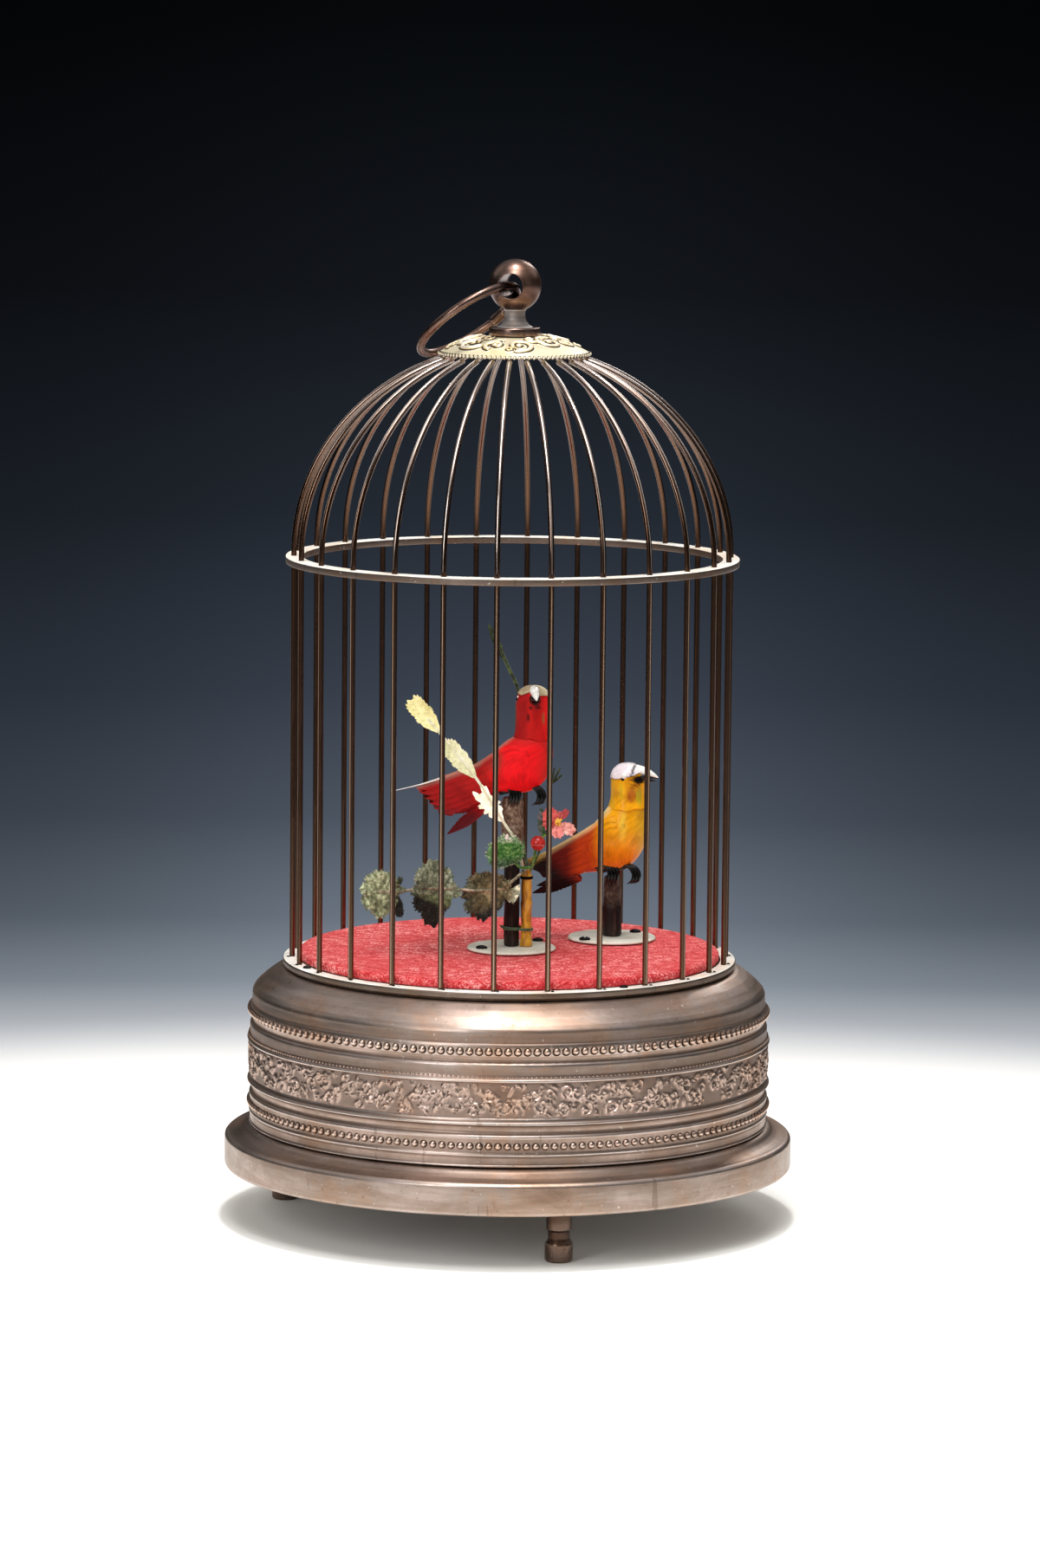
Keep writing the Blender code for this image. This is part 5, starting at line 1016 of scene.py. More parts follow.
def soft_path(points, count):
    """A smooth path through points in millimetres, in metres."""
    points = np.asarray(points, float)
    padded = np.vstack([2 * points[0] - points[1], points, 2 * points[-1] - points[-2]])
    spots = []
    for t in np.linspace(0, len(points) - 1 - 1e-6, count):
        k = int(t)
        f = t - k
        a, b, c, d = padded[k:k + 4]
        spots.append(0.5 * (2 * b + (c - a) * f + (2 * a - 5 * b + 4 * c - d) * f ** 2
                            + (3 * b - a - 3 * c + d) * f ** 3))
    return np.array(spots) * MM


knot = [(-1.6, -4.6, 85.4), (-2.1, -5.2, 85.9), (-1.7, -5.6, 85.2), (-1.3, -5.1, 84.8), (-2.0, -4.9, 85.3),
        (-2.7, -5.4, 86.0)]
ties = [thread_loop(85.2, -0.25, 1), thread_loop(84.8, -0.15, 2), tube("knot", soft_path(knot, 40), 0.24, 6)]
settle("thread_tie", ties, thread_look)

# Birds
# Each bird is a carved core dressed in dyed feathers. The body with its folded
# wings sits on the post; the head, lower beak and tail move on their own.
HEADING = math.radians(16)
HEAD_RADIUS = 5.1


def bird_points(post_at, x, z, across):
    """Points in millimetres of a bird from its place in the front view and its distance across."""
    x, z, across = np.broadcast_arrays(*(np.asarray(value, float) for value in (x, z, across)))
    y = post_at[1] - (x - post_at[0]) * math.tan(HEADING) + across * math.cos(HEADING)
    return np.stack([x + across * math.sin(HEADING), y, z], -1)


def smooth_rows(rows, count):
    """Rows of sizes in millimetres, run through smoothly."""
    return soft_path(rows, count) / MM


def zigzag(value):
    """A saw edge between 0 and 1, with one tooth for each whole number."""
    return np.abs(value % 1.0 - 0.5) * 2


def blob(x, z, centre, size, soft):
    """1 inside an oval of the front view, falling to 0 outside it."""
    far = np.hypot((x - centre[0]) / size[0], (z - centre[1]) / size[1])
    return np.clip((1 + soft - far) / (2 * soft), 0, 1)[..., None]


def slope(value, start, end):
    """0 before the start, 1 past the end and even steps between."""
    return np.clip((value - start) / (end - start), 0, 1)[..., None]


def dyed(base, layers):
    """Colours laid one over another, each with its own mask."""
    colour = np.array(base, float)
    for mask, shade in layers:
        colour = colour * (1 - mask) + np.array(shade, float) * mask
    return colour


def line_mask(x, z, points, width):
    """1 on a line of the front view, falling to 0 at the given distance."""
    points = np.array(points, float)
    near = np.full(np.shape(x), 1e9)
    for a, b in zip(points[:-1], points[1:]):
        span = b - a
        t = np.clip(((x - a[0]) * span[0] + (z - a[1]) * span[1]) / span.dot(span), 0, 1)
        near = np.minimum(near, np.hypot(x - a[0] - span[0] * t, z - a[1] - span[1] * t))
    return np.clip(1 - near / width, 0, 1)[..., None]


def red_dye(x, z):
    """Scarlet in front and dark red behind, with a worn line along the folded wing."""
    back = [(1.5, 142.2), (-8.7, 132.9), (-18.3, 128.7), (-27, 125.5)]
    streak = 0.5 + 0.5 * np.sin(x * 1.7 + z * 0.9) * np.sin(z * 2.3 - x * 0.4)
    return dyed((0.80, 0.006, 0.010), [
        (slope(x, 8.6, 12.0), (0.50, 0.014, 0.012)), (slope(z, 138.5, 141.5), (0.50, 0.016, 0.014)),
        (slope(x, -1.0, -5.5), (0.47, 0.012, 0.010)),
        (blob(x, z, (-2.6, 134.4), (1.8, 2.6), 0.8), (0.25, 0.035, 0.025)),
        (slope(x, -10, -14) * streak[..., None] * 0.5, (0.25, 0.006, 0.008)),
        (slope(x + 0.7 * z, 78.5, 73.5) * slope(x, -6, -9), (0.36, 0.007, 0.008)),
        (slope(x, -6, -11) * slope(z, 120.5, 117.0), (0.15, 0.014, 0.020)),
        (line_mask(x, z, back, 1.6), (0.42, 0.20, 0.155))])


def yellow_dye(x, z):
    """Amber in front, through red to black behind, with a pale line along the folded wing and a painted
    highlight streak down the breast.
    """
    back = [(29, 117.4), (24, 112.2), (17, 107.8), (12, 104.6), (6, 101.6)]
    return dyed((0.84, 0.37, 0.004), [
        (slope(z, 112, 102), (0.82, 0.20, 0.006)),
        (slope(z, 116, 121) * slope(x, 36, 33), (0.80, 0.44, 0.010)),
        (slope(x, 36.8, 39.5), (0.66, 0.36, 0.020)),
        # painted highlight: a pale streak down the breast
        (blob(x, z, (34.4, 113.5), (0.7, 4.2), 0.7), (0.95, 0.62, 0.06)),
        (slope(x, 28.6, 25.0), (0.55, 0.055, 0.008)), (slope(x, 21.5, 18.0), (0.17, 0.014, 0.010)),
        (slope(x + z, 117.5, 112.0), (0.012, 0.006, 0.006)),
        (line_mask(x, z, back, 1.9), (0.72, 0.58, 0.28)),
        (slope(x, 12.5, 8.5) * line_mask(x, z, back, 2.6), (0.50, 0.32, 0.02))])


def feather_finish(name, gloss, coat):
    """Dyed plumage: fine barbs that run with the feathers, over the dye laid on each point."""
    made, tree, shader = new_finish(name)
    barbs = add(tree, "ShaderNodeGroup", {
        "Lay": stored(tree, "lay", "Vector"), "Place": own_place(tree), "Dye": stored(tree, "dye", "Vector"),
        "Gloss": gloss}, node_tree=plumage)
    feed(tree, shader, {
        "Base Color": barbs.outputs["Colour"], "Roughness": barbs.outputs["Roughness"], "Coat Weight": coat,
        "Specular IOR Level": 0.12, "Normal": bumped(tree, barbs.outputs["Height"], 0.45, 0.0002)})
    return made


# plumage: the lay of a point is its place across and along the feather, in millimetres
plumage, inside, ends = shader_group("plumage", [
    ("Lay", "vector"), ("Place", "vector"), ("Dye", (0.7, 0.02, 0.02)), ("Gloss", 0.4)],
    [COLOUR_OUT, ROUGH_OUT, HEIGHT_OUT])
barb = noise(plumage, scaled(plumage, inside["Lay"], (3.2, 0.30, 1)), 1.0, 3.0, 0.65)
clump = noise(plumage, scaled(plumage, inside["Lay"], (0.55, 0.10, 1)), 1.0, 3.0, 0.6)
smudge = noise(plumage, inside["Place"], 190.0, 3.0, 0.6)
tone = sums(plumage, "MULTIPLY_ADD", barb, 0.7, sums(plumage, "MULTIPLY_ADD", clump, 0.7, 0.28))
coloured = blended(plumage, 1.0, inside["Dye"], triple(plumage, tone), "MULTIPLY")
dim = blended(plumage, 1.0, coloured, (0.55, 0.42, 0.42), "MULTIPLY")
coloured = blended(plumage, sums(plumage, "MULTIPLY_ADD", smudge, 3.2, -1.75, clamp=True), coloured, dim)
feed(plumage, ends, {
    "Colour": coloured, "Roughness": sums(plumage, "MULTIPLY_ADD", barb, 0.25, inside["Gloss"]),
    "Height": sums(plumage, "MULTIPLY_ADD", clump, 0.8, barb)})

red_plumage = feather_finish("red_plumage", 0.42, 0.0)
yellow_plumage = feather_finish("yellow_plumage", 0.22, 0.12)


def body_mesh(name, post_at, sections, dye):
    """The smooth core of a bird over its sections: front point, back point and half width."""
    rows = smooth_rows([[*front, *back, half] for front, back, half in sections], 44)
    turn = turns(36)
    front, back, half = rows[:, None, 0:2], rows[:, None, 2:4], rows[:, 4:5]
    middle, arm = (front + back) / 2, (front - back) / 2
    x = middle[..., 0] + arm[..., 0] * np.cos(turn)
    z = middle[..., 1] + arm[..., 1] * np.cos(turn)
    grid = bird_points(post_at, x, z, half * np.sin(turn)) * MM
    along = np.linspace(0, 40, len(rows))[:, None] + 0 * turn
    lay = np.stack([half * turn * 0.9, along, 0 * x + 3], -1)
    return skin(name, grid, caps=True, dye=dye(x, z), lay=lay)


def wing_mesh(name, post_at, upper, lower, spread, side, dye, seed):
    """A folded wing: stepped feathers between an upper and a lower edge, on one side of the body."""
    feathers, ragged = 6, 0.8
    draw = np.random.default_rng(seed)
    top, bottom = smooth_rows(upper, 40), smooth_rows(lower, 40)
    v = np.linspace(0, 1, 37)[:, None]
    t = np.linspace(0, 1, 40)[None, :]
    x = top[None, :, 0] * (1 - v) + bottom[None, :, 0] * v
    z = top[None, :, 1] * (1 - v) + bottom[None, :, 1] * v
    fan = (v * feathers + 0.8 * t) % 1.0
    far = np.clip((t - 0.82) / 0.18, 0, 1) ** 1.5
    x = x + far * (zigzag(v * feathers) * 3.6 - 1.2) * ragged
    jag = zigzag(t * 9 + draw.uniform(0, 1))
    z = z + np.clip((v - 0.8) / 0.2, 0, 1) * (jag - 0.5) * 0.7 * ragged
    bulge = np.sin(np.pi * v) ** 0.7
    sunk = 1.6 * np.exp(-(t / 0.16) ** 2)
    out = spread[0] * (1 - t) + spread[1] * t + bulge * 0.9 * (1 - 0.5 * t)
    out = out + 0.16 * fan * (0.3 + t) - 0.2 - sunk
    outer = bird_points(post_at, x, z, side * out)
    inner = bird_points(post_at, x, z, side * (out - 0.9))
    grid = np.concatenate([outer, inner[::-1]]) * MM
    colour = np.broadcast_to(dye(x, z), (*x.shape, 3)) * (0.80 + 0.35 * fan[..., None])
    lay = np.stack([v * 14 + 0 * t, t * 30 + v * 6, 0 * x + 1 + np.floor(v * feathers + 0.8 * t)], -1)
    colour, lay = (np.concatenate([part, part[::-1]]) for part in (colour, lay))
    mesh = skin(name, grid, rows_close=True, columns_close=False, dye=colour, lay=lay)
    shape = bmesh.new()
    shape.from_mesh(mesh)
    bmesh.ops.holes_fill(shape, edges=shape.edges, sides=0)
    bmesh.ops.recalc_face_normals(shape, faces=shape.faces)
    shape.to_mesh(mesh)
    shape.free()
    return mesh


def quill_feather(name, post_at, start, end, half, across, dye, curl, fan, seed):
    """One long feather with ragged edges, from its root to its tip in the front view.

    It lies across from the bird's middle line, bends by curl and spreads aside by fan."""
    draw = np.random.default_rng(seed)
    t = np.linspace(0, 1, 26)[:, None]
    s = np.linspace(-1, 1, 13)[None, :]
    start, end = np.array(start, float), np.array(end, float)
    way = (end - start) / np.linalg.norm(end - start)
    width = half * (0.35 + 0.65 * np.sin(np.pi * np.clip(t * 0.62 + 0.08, 0, 1)) ** 0.8)
    width = width * np.clip((1.01 - t) / 0.42, 0.03, 1) ** 0.75
    notch = 1 - 0.22 * np.abs(s) ** 6 * zigzag(t * 11 + draw.uniform(0, 1))
    off = s * width * notch
    bend = curl * np.sin(np.pi * t * 0.5) ** 2
    x = start[0] + (end[0] - start[0]) * t - way[1] * (off * 0.8 + bend)
    z = start[1] + (end[1] - start[1]) * t + way[0] * (off * 0.8 + bend)
    y = across + fan * t + off * 0.6 - 0.5 * np.abs(off) ** 1.3 / max(half, 0.1)
    thick = 0.22 * np.exp(-(s / 0.12) ** 2) + 0.12
    outer = bird_points(post_at, x, z, y - thick)
    inner = bird_points(post_at, x, z, y + thick)
    grid = np.concatenate([outer, inner[:, ::-1]], 1) * MM
    colour = np.broadcast_to(dye(x, z), (*x.shape, 3))
    lay = np.stack([off * 2 + 0 * t, t * 20 + np.abs(off) * 1.5, 0 * x + seed], -1)
    colour, lay = (np.concatenate([part, part[:, ::-1]], 1) for part in (colour, lay))
    return skin(name, grid, caps=True, dye=colour, lay=lay)


def round_loft(name, origin, face, sections, sides=20):
    """A smooth skin over (ahead, up, half width, half height) ovals in front of a head's axis."""
    rows = smooth_rows(sections, 22)
    turn = turns(sides)
    side = rows[:, 2:3] * np.cos(turn)
    rise = rows[:, 1:2] + rows[:, 3:4] * np.sin(turn)
    ahead = rows[:, 0:1] + 0 * side
    x = origin[0] + ahead * math.cos(face) - side * math.sin(face)
    y = origin[1] + ahead * math.sin(face) + side * math.cos(face)
    return skin(name, np.stack([x, y, origin[2] + rise], -1) * MM, caps=True)


def head_mesh(name, origin, face, foot_level, top_level, dye, shell=0.0, edge=None):
    """The hood of a head, or a cap over its top when an edge level by azimuth is given."""
    turn = turns(48)
    t = np.linspace(0, 1, 30)[:, None]
    shares = [
        (0.42, top_level - 0.35), (0.76, top_level - 1.6), (0.95, top_level - 3.4), (0.99, top_level - 6.0),
        (0.98, top_level - 9.4), (1.03, foot_level + 0.5), (1.13, foot_level - 1.7)]
    rows = [(HEAD_RADIUS * share, level) for share, level in shares]
    profile = smooth_rows([(0.02, top_level), *rows], 60)
    depth = top_level - profile[:, 1]
    if edge is None:
        reach = top_level - foot_level + 1.3 + 0.3 * np.sin(3 * turn) + 0.2 * np.sin(8 * turn)
    else:
        reach = top_level - edge(turn)
    down = t * reach
    size = np.interp(down, depth, profile[:, 0] + shell)
    size = np.maximum(size * np.where(down < 0.02, 0.02, 1), 0.01)
    level = top_level + shell - down
    x = origin[0] + size * np.cos(turn + face)
    y = origin[1] + size * np.sin(turn + face)
    grid = np.stack([x, y, level], -1)
    lay = np.stack([size * turn, down, 0 * x + 2], -1)
    colour = dye(turn + 0 * down, level)
    if edge is not None:
        under_size = np.maximum(size - shell * 1.3 - 0.1, 0.01)
        under = np.stack([origin[0] + under_size * np.cos(turn + face),
                          origin[1] + under_size * np.sin(turn + face), level - 0.12], -1)
        grid = np.concatenate([grid, under[::-1]])
        lay, colour = np.concatenate([lay, lay[::-1]]), np.concatenate([colour, colour[::-1]])
    return skin(name, grid * MM, caps=True, dye=colour, lay=lay)


horn, tree, shader = new_finish("ivory_horn")
veins = noise(tree, own_place(tree), 480.0, 4.0, 0.6, 0.5)
bone = graded(tree, veins, [
    (0.30, (0.52, 0.46, 0.42)), (0.42, (0.84, 0.82, 0.78)), (0.62, (0.93, 0.92, 0.90))])
feed(tree, shader, {
    "Base Color": bone, "Roughness": sums(tree, "MULTIPLY_ADD", veins, 0.25, 0.16), "Coat Weight": 0.5})
gloss_black, tree, shader = new_finish("black_gloss")
scuffs = noise(tree, own_place(tree), 700.0, 3.0, 0.6)
feed(tree, shader, {
    "Base Color": graded(tree, scuffs, [(0.4, (0.001, 0.001, 0.001)), (0.8, (0.004, 0.004, 0.003))]),
    "Roughness": sums(tree, "MULTIPLY_ADD", scuffs, 0.3, 0.12), "Specular IOR Level": 0.4})

RED_SECTIONS = [
    ((11.3, 141.9), (1.0, 141.7), 5.2), ((11.3, 141.5), (1.2, 141.2), 5.2),
    ((11.8, 138.4), (-1.6, 139.4), 6.4), ((11.8, 134.6), (-4.4, 136.7), 7.3),
    ((10.8, 130.2), (-7.2, 134.2), 7.5), ((8.2, 126.8), (-10.0, 132.3), 7.1),
    ((4.2, 124.8), (-13.0, 130.9), 6.2), ((-4.4, 124.0), (-17.4, 129.0), 4.5),
    ((-15.0, 123.1), (-21.8, 126.9), 1.8), ((-20.0, 123.9), (-23.0, 125.8), 0.6)]
YELLOW_SECTIONS = [
    ((39.0, 119.0), (28.9, 118.8), 5.1), ((39.0, 118.6), (28.9, 118.4), 5.1),
    ((39.6, 115.0), (26.8, 115.4), 6.0), ((39.8, 111.0), (24.2, 112.4), 6.8),
    ((38.9, 106.2), (21.4, 109.9), 7.0), ((36.2, 101.8), (18.6, 107.9), 6.6),
    ((32.2, 99.2), (15.6, 105.9), 5.7), ((24.0, 98.2), (11.8, 103.4), 4.0),
    ((14.8, 97.0), (8.2, 100.9), 1.6), ((11.0, 98.0), (8.0, 100.0), 0.6)]
RED_WING = ([(6.4, 138.0), (0.6, 139.2), (-8.9, 133.2), (-18.3, 129.0), (-26.6, 125.8)],
            [(7.2, 135.6), (4.6, 129.4), (-4.0, 124.2), (-12.0, 119.8), (-18.4, 117.0)])
YELLOW_WING = ([(34.4, 114.6), (29.4, 115.4), (20.8, 110.0), (12.4, 104.8), (6.4, 101.6)],
               [(35.2, 112.2), (32.6, 104.6), (22.0, 98.4), (12.6, 96.2), (6.6, 99.2)])


def hood_red(turn, level):
    """Darker at the left of the face, with a slit on each cheek and black under the beak."""
    side = (turn + math.pi) % (2 * math.pi) - math.pi
    height = level - 142.0
    left = blob(side, height, (-0.42, 5.2), (0.055, 1.2), 0.35)
    right = blob(side, height, (0.50, 4.9), (0.07, 1.5), 0.35)
    corners = np.maximum(blob(side, height, (-0.24, 8.0), (0.085, 0.42), 0.3),
                         blob(side, height, (0.20, 8.15), (0.085, 0.5), 0.3))
    return dyed((0.50, 0.007, 0.006), [
        (slope(side, -0.35, -0.55), (0.33, 0.006, 0.006)), (slope(side, 0.42, 0.60), (0.66, 0.008, 0.008)),
        (slope(np.abs(side), 1.1, 1.6), (0.30, 0.008, 0.008)), (left, (0.01, 0.002, 0.002)),
        (right, (0.30, 0.10, 0.03)),
        (blob(side, height, (0.0, 8.3), (0.26, 0.7), 0.6), (0.30, 0.008, 0.008)),
        (blob(side, height, (0.0, 10.1), (0.34, 1.25), 0.25), (0.008, 0.003, 0.003)),
        (corners, (0.006, 0.002, 0.002))])


def hood_yellow(turn, level):
    """Amber, with a brown mottled patch and black beside the mouth and an orange throat."""
    side = np.abs((turn + math.pi) % (2 * math.pi) - math.pi)
    height = level - 119.0
    mottle = 0.5 + 0.5 * np.sin(side * 31 + height * 3.1) * np.sin(height * 5.7 - side * 13)
    return dyed((0.86, 0.38, 0.004), [
        (slope(side, 1.9, 2.5), (0.68, 0.40, 0.02)),
        (blob(side, height, (1.75, 4.0), (0.2, 2.6), 0.5), (0.90, 0.56, 0.02)),
        (blob(side, height, (0.62, 2.6), (0.24, 2.4), 0.3), (0.52, 0.36, 0.015)),
        (blob(side, height, (1.12, 2.9), (0.27, 2.1), 0.25), (0.48, 0.14, 0.008)),
        (blob(side, height, (0.92, 6.6), (0.42, 2.3), 0.3) * mottle[..., None], (0.16, 0.018, 0.003)),
        (blob(side, height, (0.56, 7.5), (0.52, 1.2), 0.2), (0.004, 0.002, 0.002))])


def red_edge(turn):
    """The level of the straw crown's lower edge on the red head."""
    return 153.4 - 0.5 * np.sin(turn) + 0.5 * np.cos(turn * 2) - 0.3 * np.sin(5 * turn)


def yellow_edge(turn):
    """The level of the pale crown's lower edge on the yellow head."""
    return 127.1 + 0.9 * np.cos(turn) + 0.25 * np.cos(turn * 2 + 0.6) + 0.12 * np.sin(turn * 7)


def crown_red(turn, level):
    """Straw and brown streaks, paler on one side."""
    side = (turn + math.pi) % (2 * math.pi) - math.pi
    streaks = 0.5 + 0.5 * np.sin(side * 37 + 2 * np.sin(level * 3))
    return dyed((0.44, 0.35, 0.22), [
        (streaks[..., None] * 0.5, (0.26, 0.18, 0.11)), (slope(side, 0.5, 1.1), (0.72, 0.66, 0.44))])


def crown_yellow(turn, level):
    """Pale satin with a dark line along its edge and one up its front."""
    ahead = np.sqrt(np.clip(1 - ((level - 121.0) / 10.2) ** 2, 0, 1)) * HEAD_RADIUS * np.cos(turn)
    return dyed((0.78, 0.70, 0.76), [
        (slope(np.sin(turn * 3 + level), 0.2, 0.9) * 0.6, (0.92, 0.90, 0.92)),
        (blob(ahead, level, (1.6, 128.5), (0.22, 4.0), 0.5), (0.02, 0.01, 0.01)),
        (slope(level - yellow_edge(turn), 0.42, 0.22), (0.03, 0.015, 0.015))])


crown_gloss = feather_finish("crown_gloss", 0.10, 0.6)
crown_matt = feather_finish("crown_matt", 0.50, 0.0)


def bead_eye(name, origin, face, side, ahead, level, radius):
    """A round bead, part sunk in the head, with a rolled rim."""
    way = Vector((math.cos(face + side), math.sin(face + side), 0))
    spot = Vector((origin[0], origin[1], level)) + way * ahead
    up = Vector((0, 0, 1))
    across = way.cross(up)
    grid = []
    for k in range(9):
        turn = math.pi * 0.5 * k / 8
        ring = radius * max(math.sin(turn), 0.02)
        grid.append([tuple((spot + way * (radius * math.cos(turn) - 0.1)
                            + (across * math.cos(a) + up * math.sin(a)) * ring) * MM)
                     for a in (2 * math.pi * j / 16 for j in range(16))])
    grid.append([tuple(Vector(point) - way * 0.5 * MM) for point in grid[-1]])
    return skin(name, grid, caps=True)


def dress_bird(who, post_at, sections, wing, wing_spread, dye, plumage_look, head_x, foot_level, top_level,
               face, beak_level, hood, crown, crown_look, crown_edge, eye, tails, toes, beak_width):
    """All the pieces of one bird, each on its own body.

    The eye is its distance ahead, level, turn aside and lid size. A tail plume is its root,
    tip, half width, place across, curl and fan. The toes are the claws' places on the perch."""

    def put(piece, meshes, look, part=None, node=None):
        """Settle one piece of this bird, on its post or on a moving part."""
        settle(f"{who}_{piece}", meshes, look, f"{who}_{part}" if part else "case",
               (f"{who}_bird_{node}",) if node else ())

    origin = tuple(bird_points(post_at, head_x, foot_level, 0.0))
    meshes = [body_mesh("core", post_at, sections, dye)]
    for side, seed in ((-1, 3), (1, 4)):
        meshes.append(wing_mesh("wing", post_at, *wing, wing_spread, side, dye, seed))
    put("bird_plumage", meshes, plumage_look, node="body")
    top = top_level - 0.15
    hood_skin = head_mesh("hood", origin, face, foot_level + 0.2, top, hood)
    put("bird_hood", hood_skin, plumage_look, "head", "head")
    crown_skin = head_mesh("crown", origin, face, foot_level, top, crown, 0.22, crown_edge)
    put("bird_crown", crown_skin, crown_look, "head")
    beak_at = (origin[0], origin[1], beak_level)
    upper = [(1.9, 1.75, 2.5, 1.45), (3.6, 1.55, 2.25, 1.4), (5.2, 1.2, 1.9, 1.2), (6.9, 0.65, 1.35, 0.9),
             (8.3, 0.0, 0.66, 0.5), (9.1, -0.42, 0.06, 0.06)]
    upper = [(ahead, level, wide * beak_width, high) for ahead, level, wide, high in upper]
    put("upper_beak", round_loft("upper_beak", beak_at, face, upper), horn, "head")
    mouth = [(2.4, -0.5, 2.5, 1.7), (4.0, -0.35, 2.3, 1.5), (5.6, -0.25, 1.9, 1.05), (7.0, -0.3, 1.1, 0.62),
             (8.3, -0.5, 0.5, 0.36), (9.0, -0.65, 0.1, 0.1)]
    mouth = [(ahead, level, wide * (0.3 + 0.7 * beak_width), high) for ahead, level, wide, high in mouth]
    put("mouth", round_loft("mouth", beak_at, face, mouth), gloss_black, "head")
    lower = [(5.35, -1.5, 0.85, 0.55), (6.2, -1.55, 0.78, 0.5), (7.2, -1.5, 0.5, 0.34),
             (8.4, -1.35, 0.1, 0.08)]
    put("beak_tip", round_loft("lower_beak", beak_at, face, lower, 14), gloss_black, "beak",
        "lower_beak")
    ahead, level, eye_turn, lid = eye
    eyes = [bead_eye("eye", origin, face, side, ahead, level, 0.72) for side in (-eye_turn, eye_turn)]
    put("eyes", eyes, gloss_black, "head")
    lids = [bead_eye("lid", origin, face, side, ahead - 0.05, level + 0.85, lid)
            for side in (0.06 - eye_turn, eye_turn - 0.06)]
    put("eyelids", lids, horn, "head")
    plumes = [quill_feather("plume", post_at, start, end, half, across, dye, curl, fan, seed)
              for seed, (start, end, half, across, curl, fan) in enumerate(tails)]
    put("tail_plumes", plumes, plumage_look, "tail", "tail")
    claws = []
    curled = ((-1.6, 2.1), (0.2, 2.95), (1.6, 2.45), (2.3, 0.9), (2.1, -1.0), (1.3, -2.9))
    opened = ((-2.8, 1.7), (-0.6, 2.9), (1.2, 2.3), (2.2, 0.5), (1.9, -1.3), (0.4, -2.4))
    forward = (2.2, 3.0, 3.6, 4.0, 4.1, 3.9)
    girth = np.interp(np.linspace(0, 1, 26), (0, 0.5, 0.8, 1), (0.44, 0.52, 0.44, 0.07))
    for (x, level), bend, count in zip(toes, (curled, opened), (4, 3)):
        for k in range(count):
            path = [(x + across - 0.9 * k, post_at[1] - reach - 0.25 * k, level + rise)
                    for reach, (across, rise) in zip(forward, bend)]
            claws.append(tube("toe", soft_path(path, 26), girth, 10))
    x, level = toes[0]
    shank = [(x + across, post_at[1] - reach, level + rise)
             for across, reach, rise in ((-3.6, 2.4, 0.9), (-1.6, 2.8, 1.5), (0.4, 2.6, 1.9))]
    claws.append(tube("shank", soft_path(shank, 10), 0.8, 10))
    put("feet", claws, gloss_black, node="claws")


dress_bird(
    "red", POSTS[0], RED_SECTIONS, RED_WING, wing_spread=(7.9, 3.0), dye=red_dye, plumage_look=red_plumage,
    head_x=6.3, foot_level=141.9, top_level=156.0, face=math.radians(-84), beak_level=153.0, beak_width=0.62,
    hood=hood_red, crown=crown_red, crown_look=crown_matt, crown_edge=red_edge, eye=(4.6, 151.9, 1.42, 0.45),
    toes=((0.4, 123.9), (7.6, 123.9)), tails=[
        ((-5.2, 121.6), (-18.5, 111.9), 2.3, 0.0, 0.5, 0.0),
        ((-4.8, 123.0), (-17.0, 117.6), 2.6, -1.3, -0.3, -1.0),
        ((-4.8, 123.0), (-16.6, 117.8), 2.6, 1.3, -0.3, 1.0)])
dress_bird(
    "yellow", POSTS[1], YELLOW_SECTIONS, YELLOW_WING, wing_spread=(7.4, 2.7), dye=yellow_dye,
    plumage_look=yellow_plumage, head_x=34.2, foot_level=119.0, top_level=131.0, face=math.radians(-14),
    beak_level=127.4, beak_width=1.0, hood=hood_yellow, crown=crown_yellow, crown_look=crown_gloss,
    crown_edge=yellow_edge, eye=(4.7, 126.8, 1.66, 1.0), toes=((29.2, 98.05), (35.6, 98.05)), tails=[
        ((20.6, 96.2), (6.6, 91.4), 2.3, 0.0, 0.3, 0.0),
        ((20.6, 96.6), (8.6, 93.4), 2.2, -1.1, -0.3, -1.0),
        ((20.6, 96.6), (8.8, 93.6), 2.2, 1.1, -0.3, 1.0)])
quill = [(-19.0, 128.4), (-23.0, 126.9), (-26.6, 125.7), (-30.0, 124.7), (-33.8, 123.6)]
quill = [tuple(bird_points(POSTS[0], x, z, -5.6 - 0.12 * (x + 8))) for x, z in quill]
settle("red_quill", tube("red_quill", soft_path(quill, 40), np.linspace(0.26, 0.07, 40), 6), horn)

# Cloth foliage
# Pale serrated leaves, flocked silver fans, a green fan, a berry and a pink
# flower on wired stems, all pushed into the amber tube.


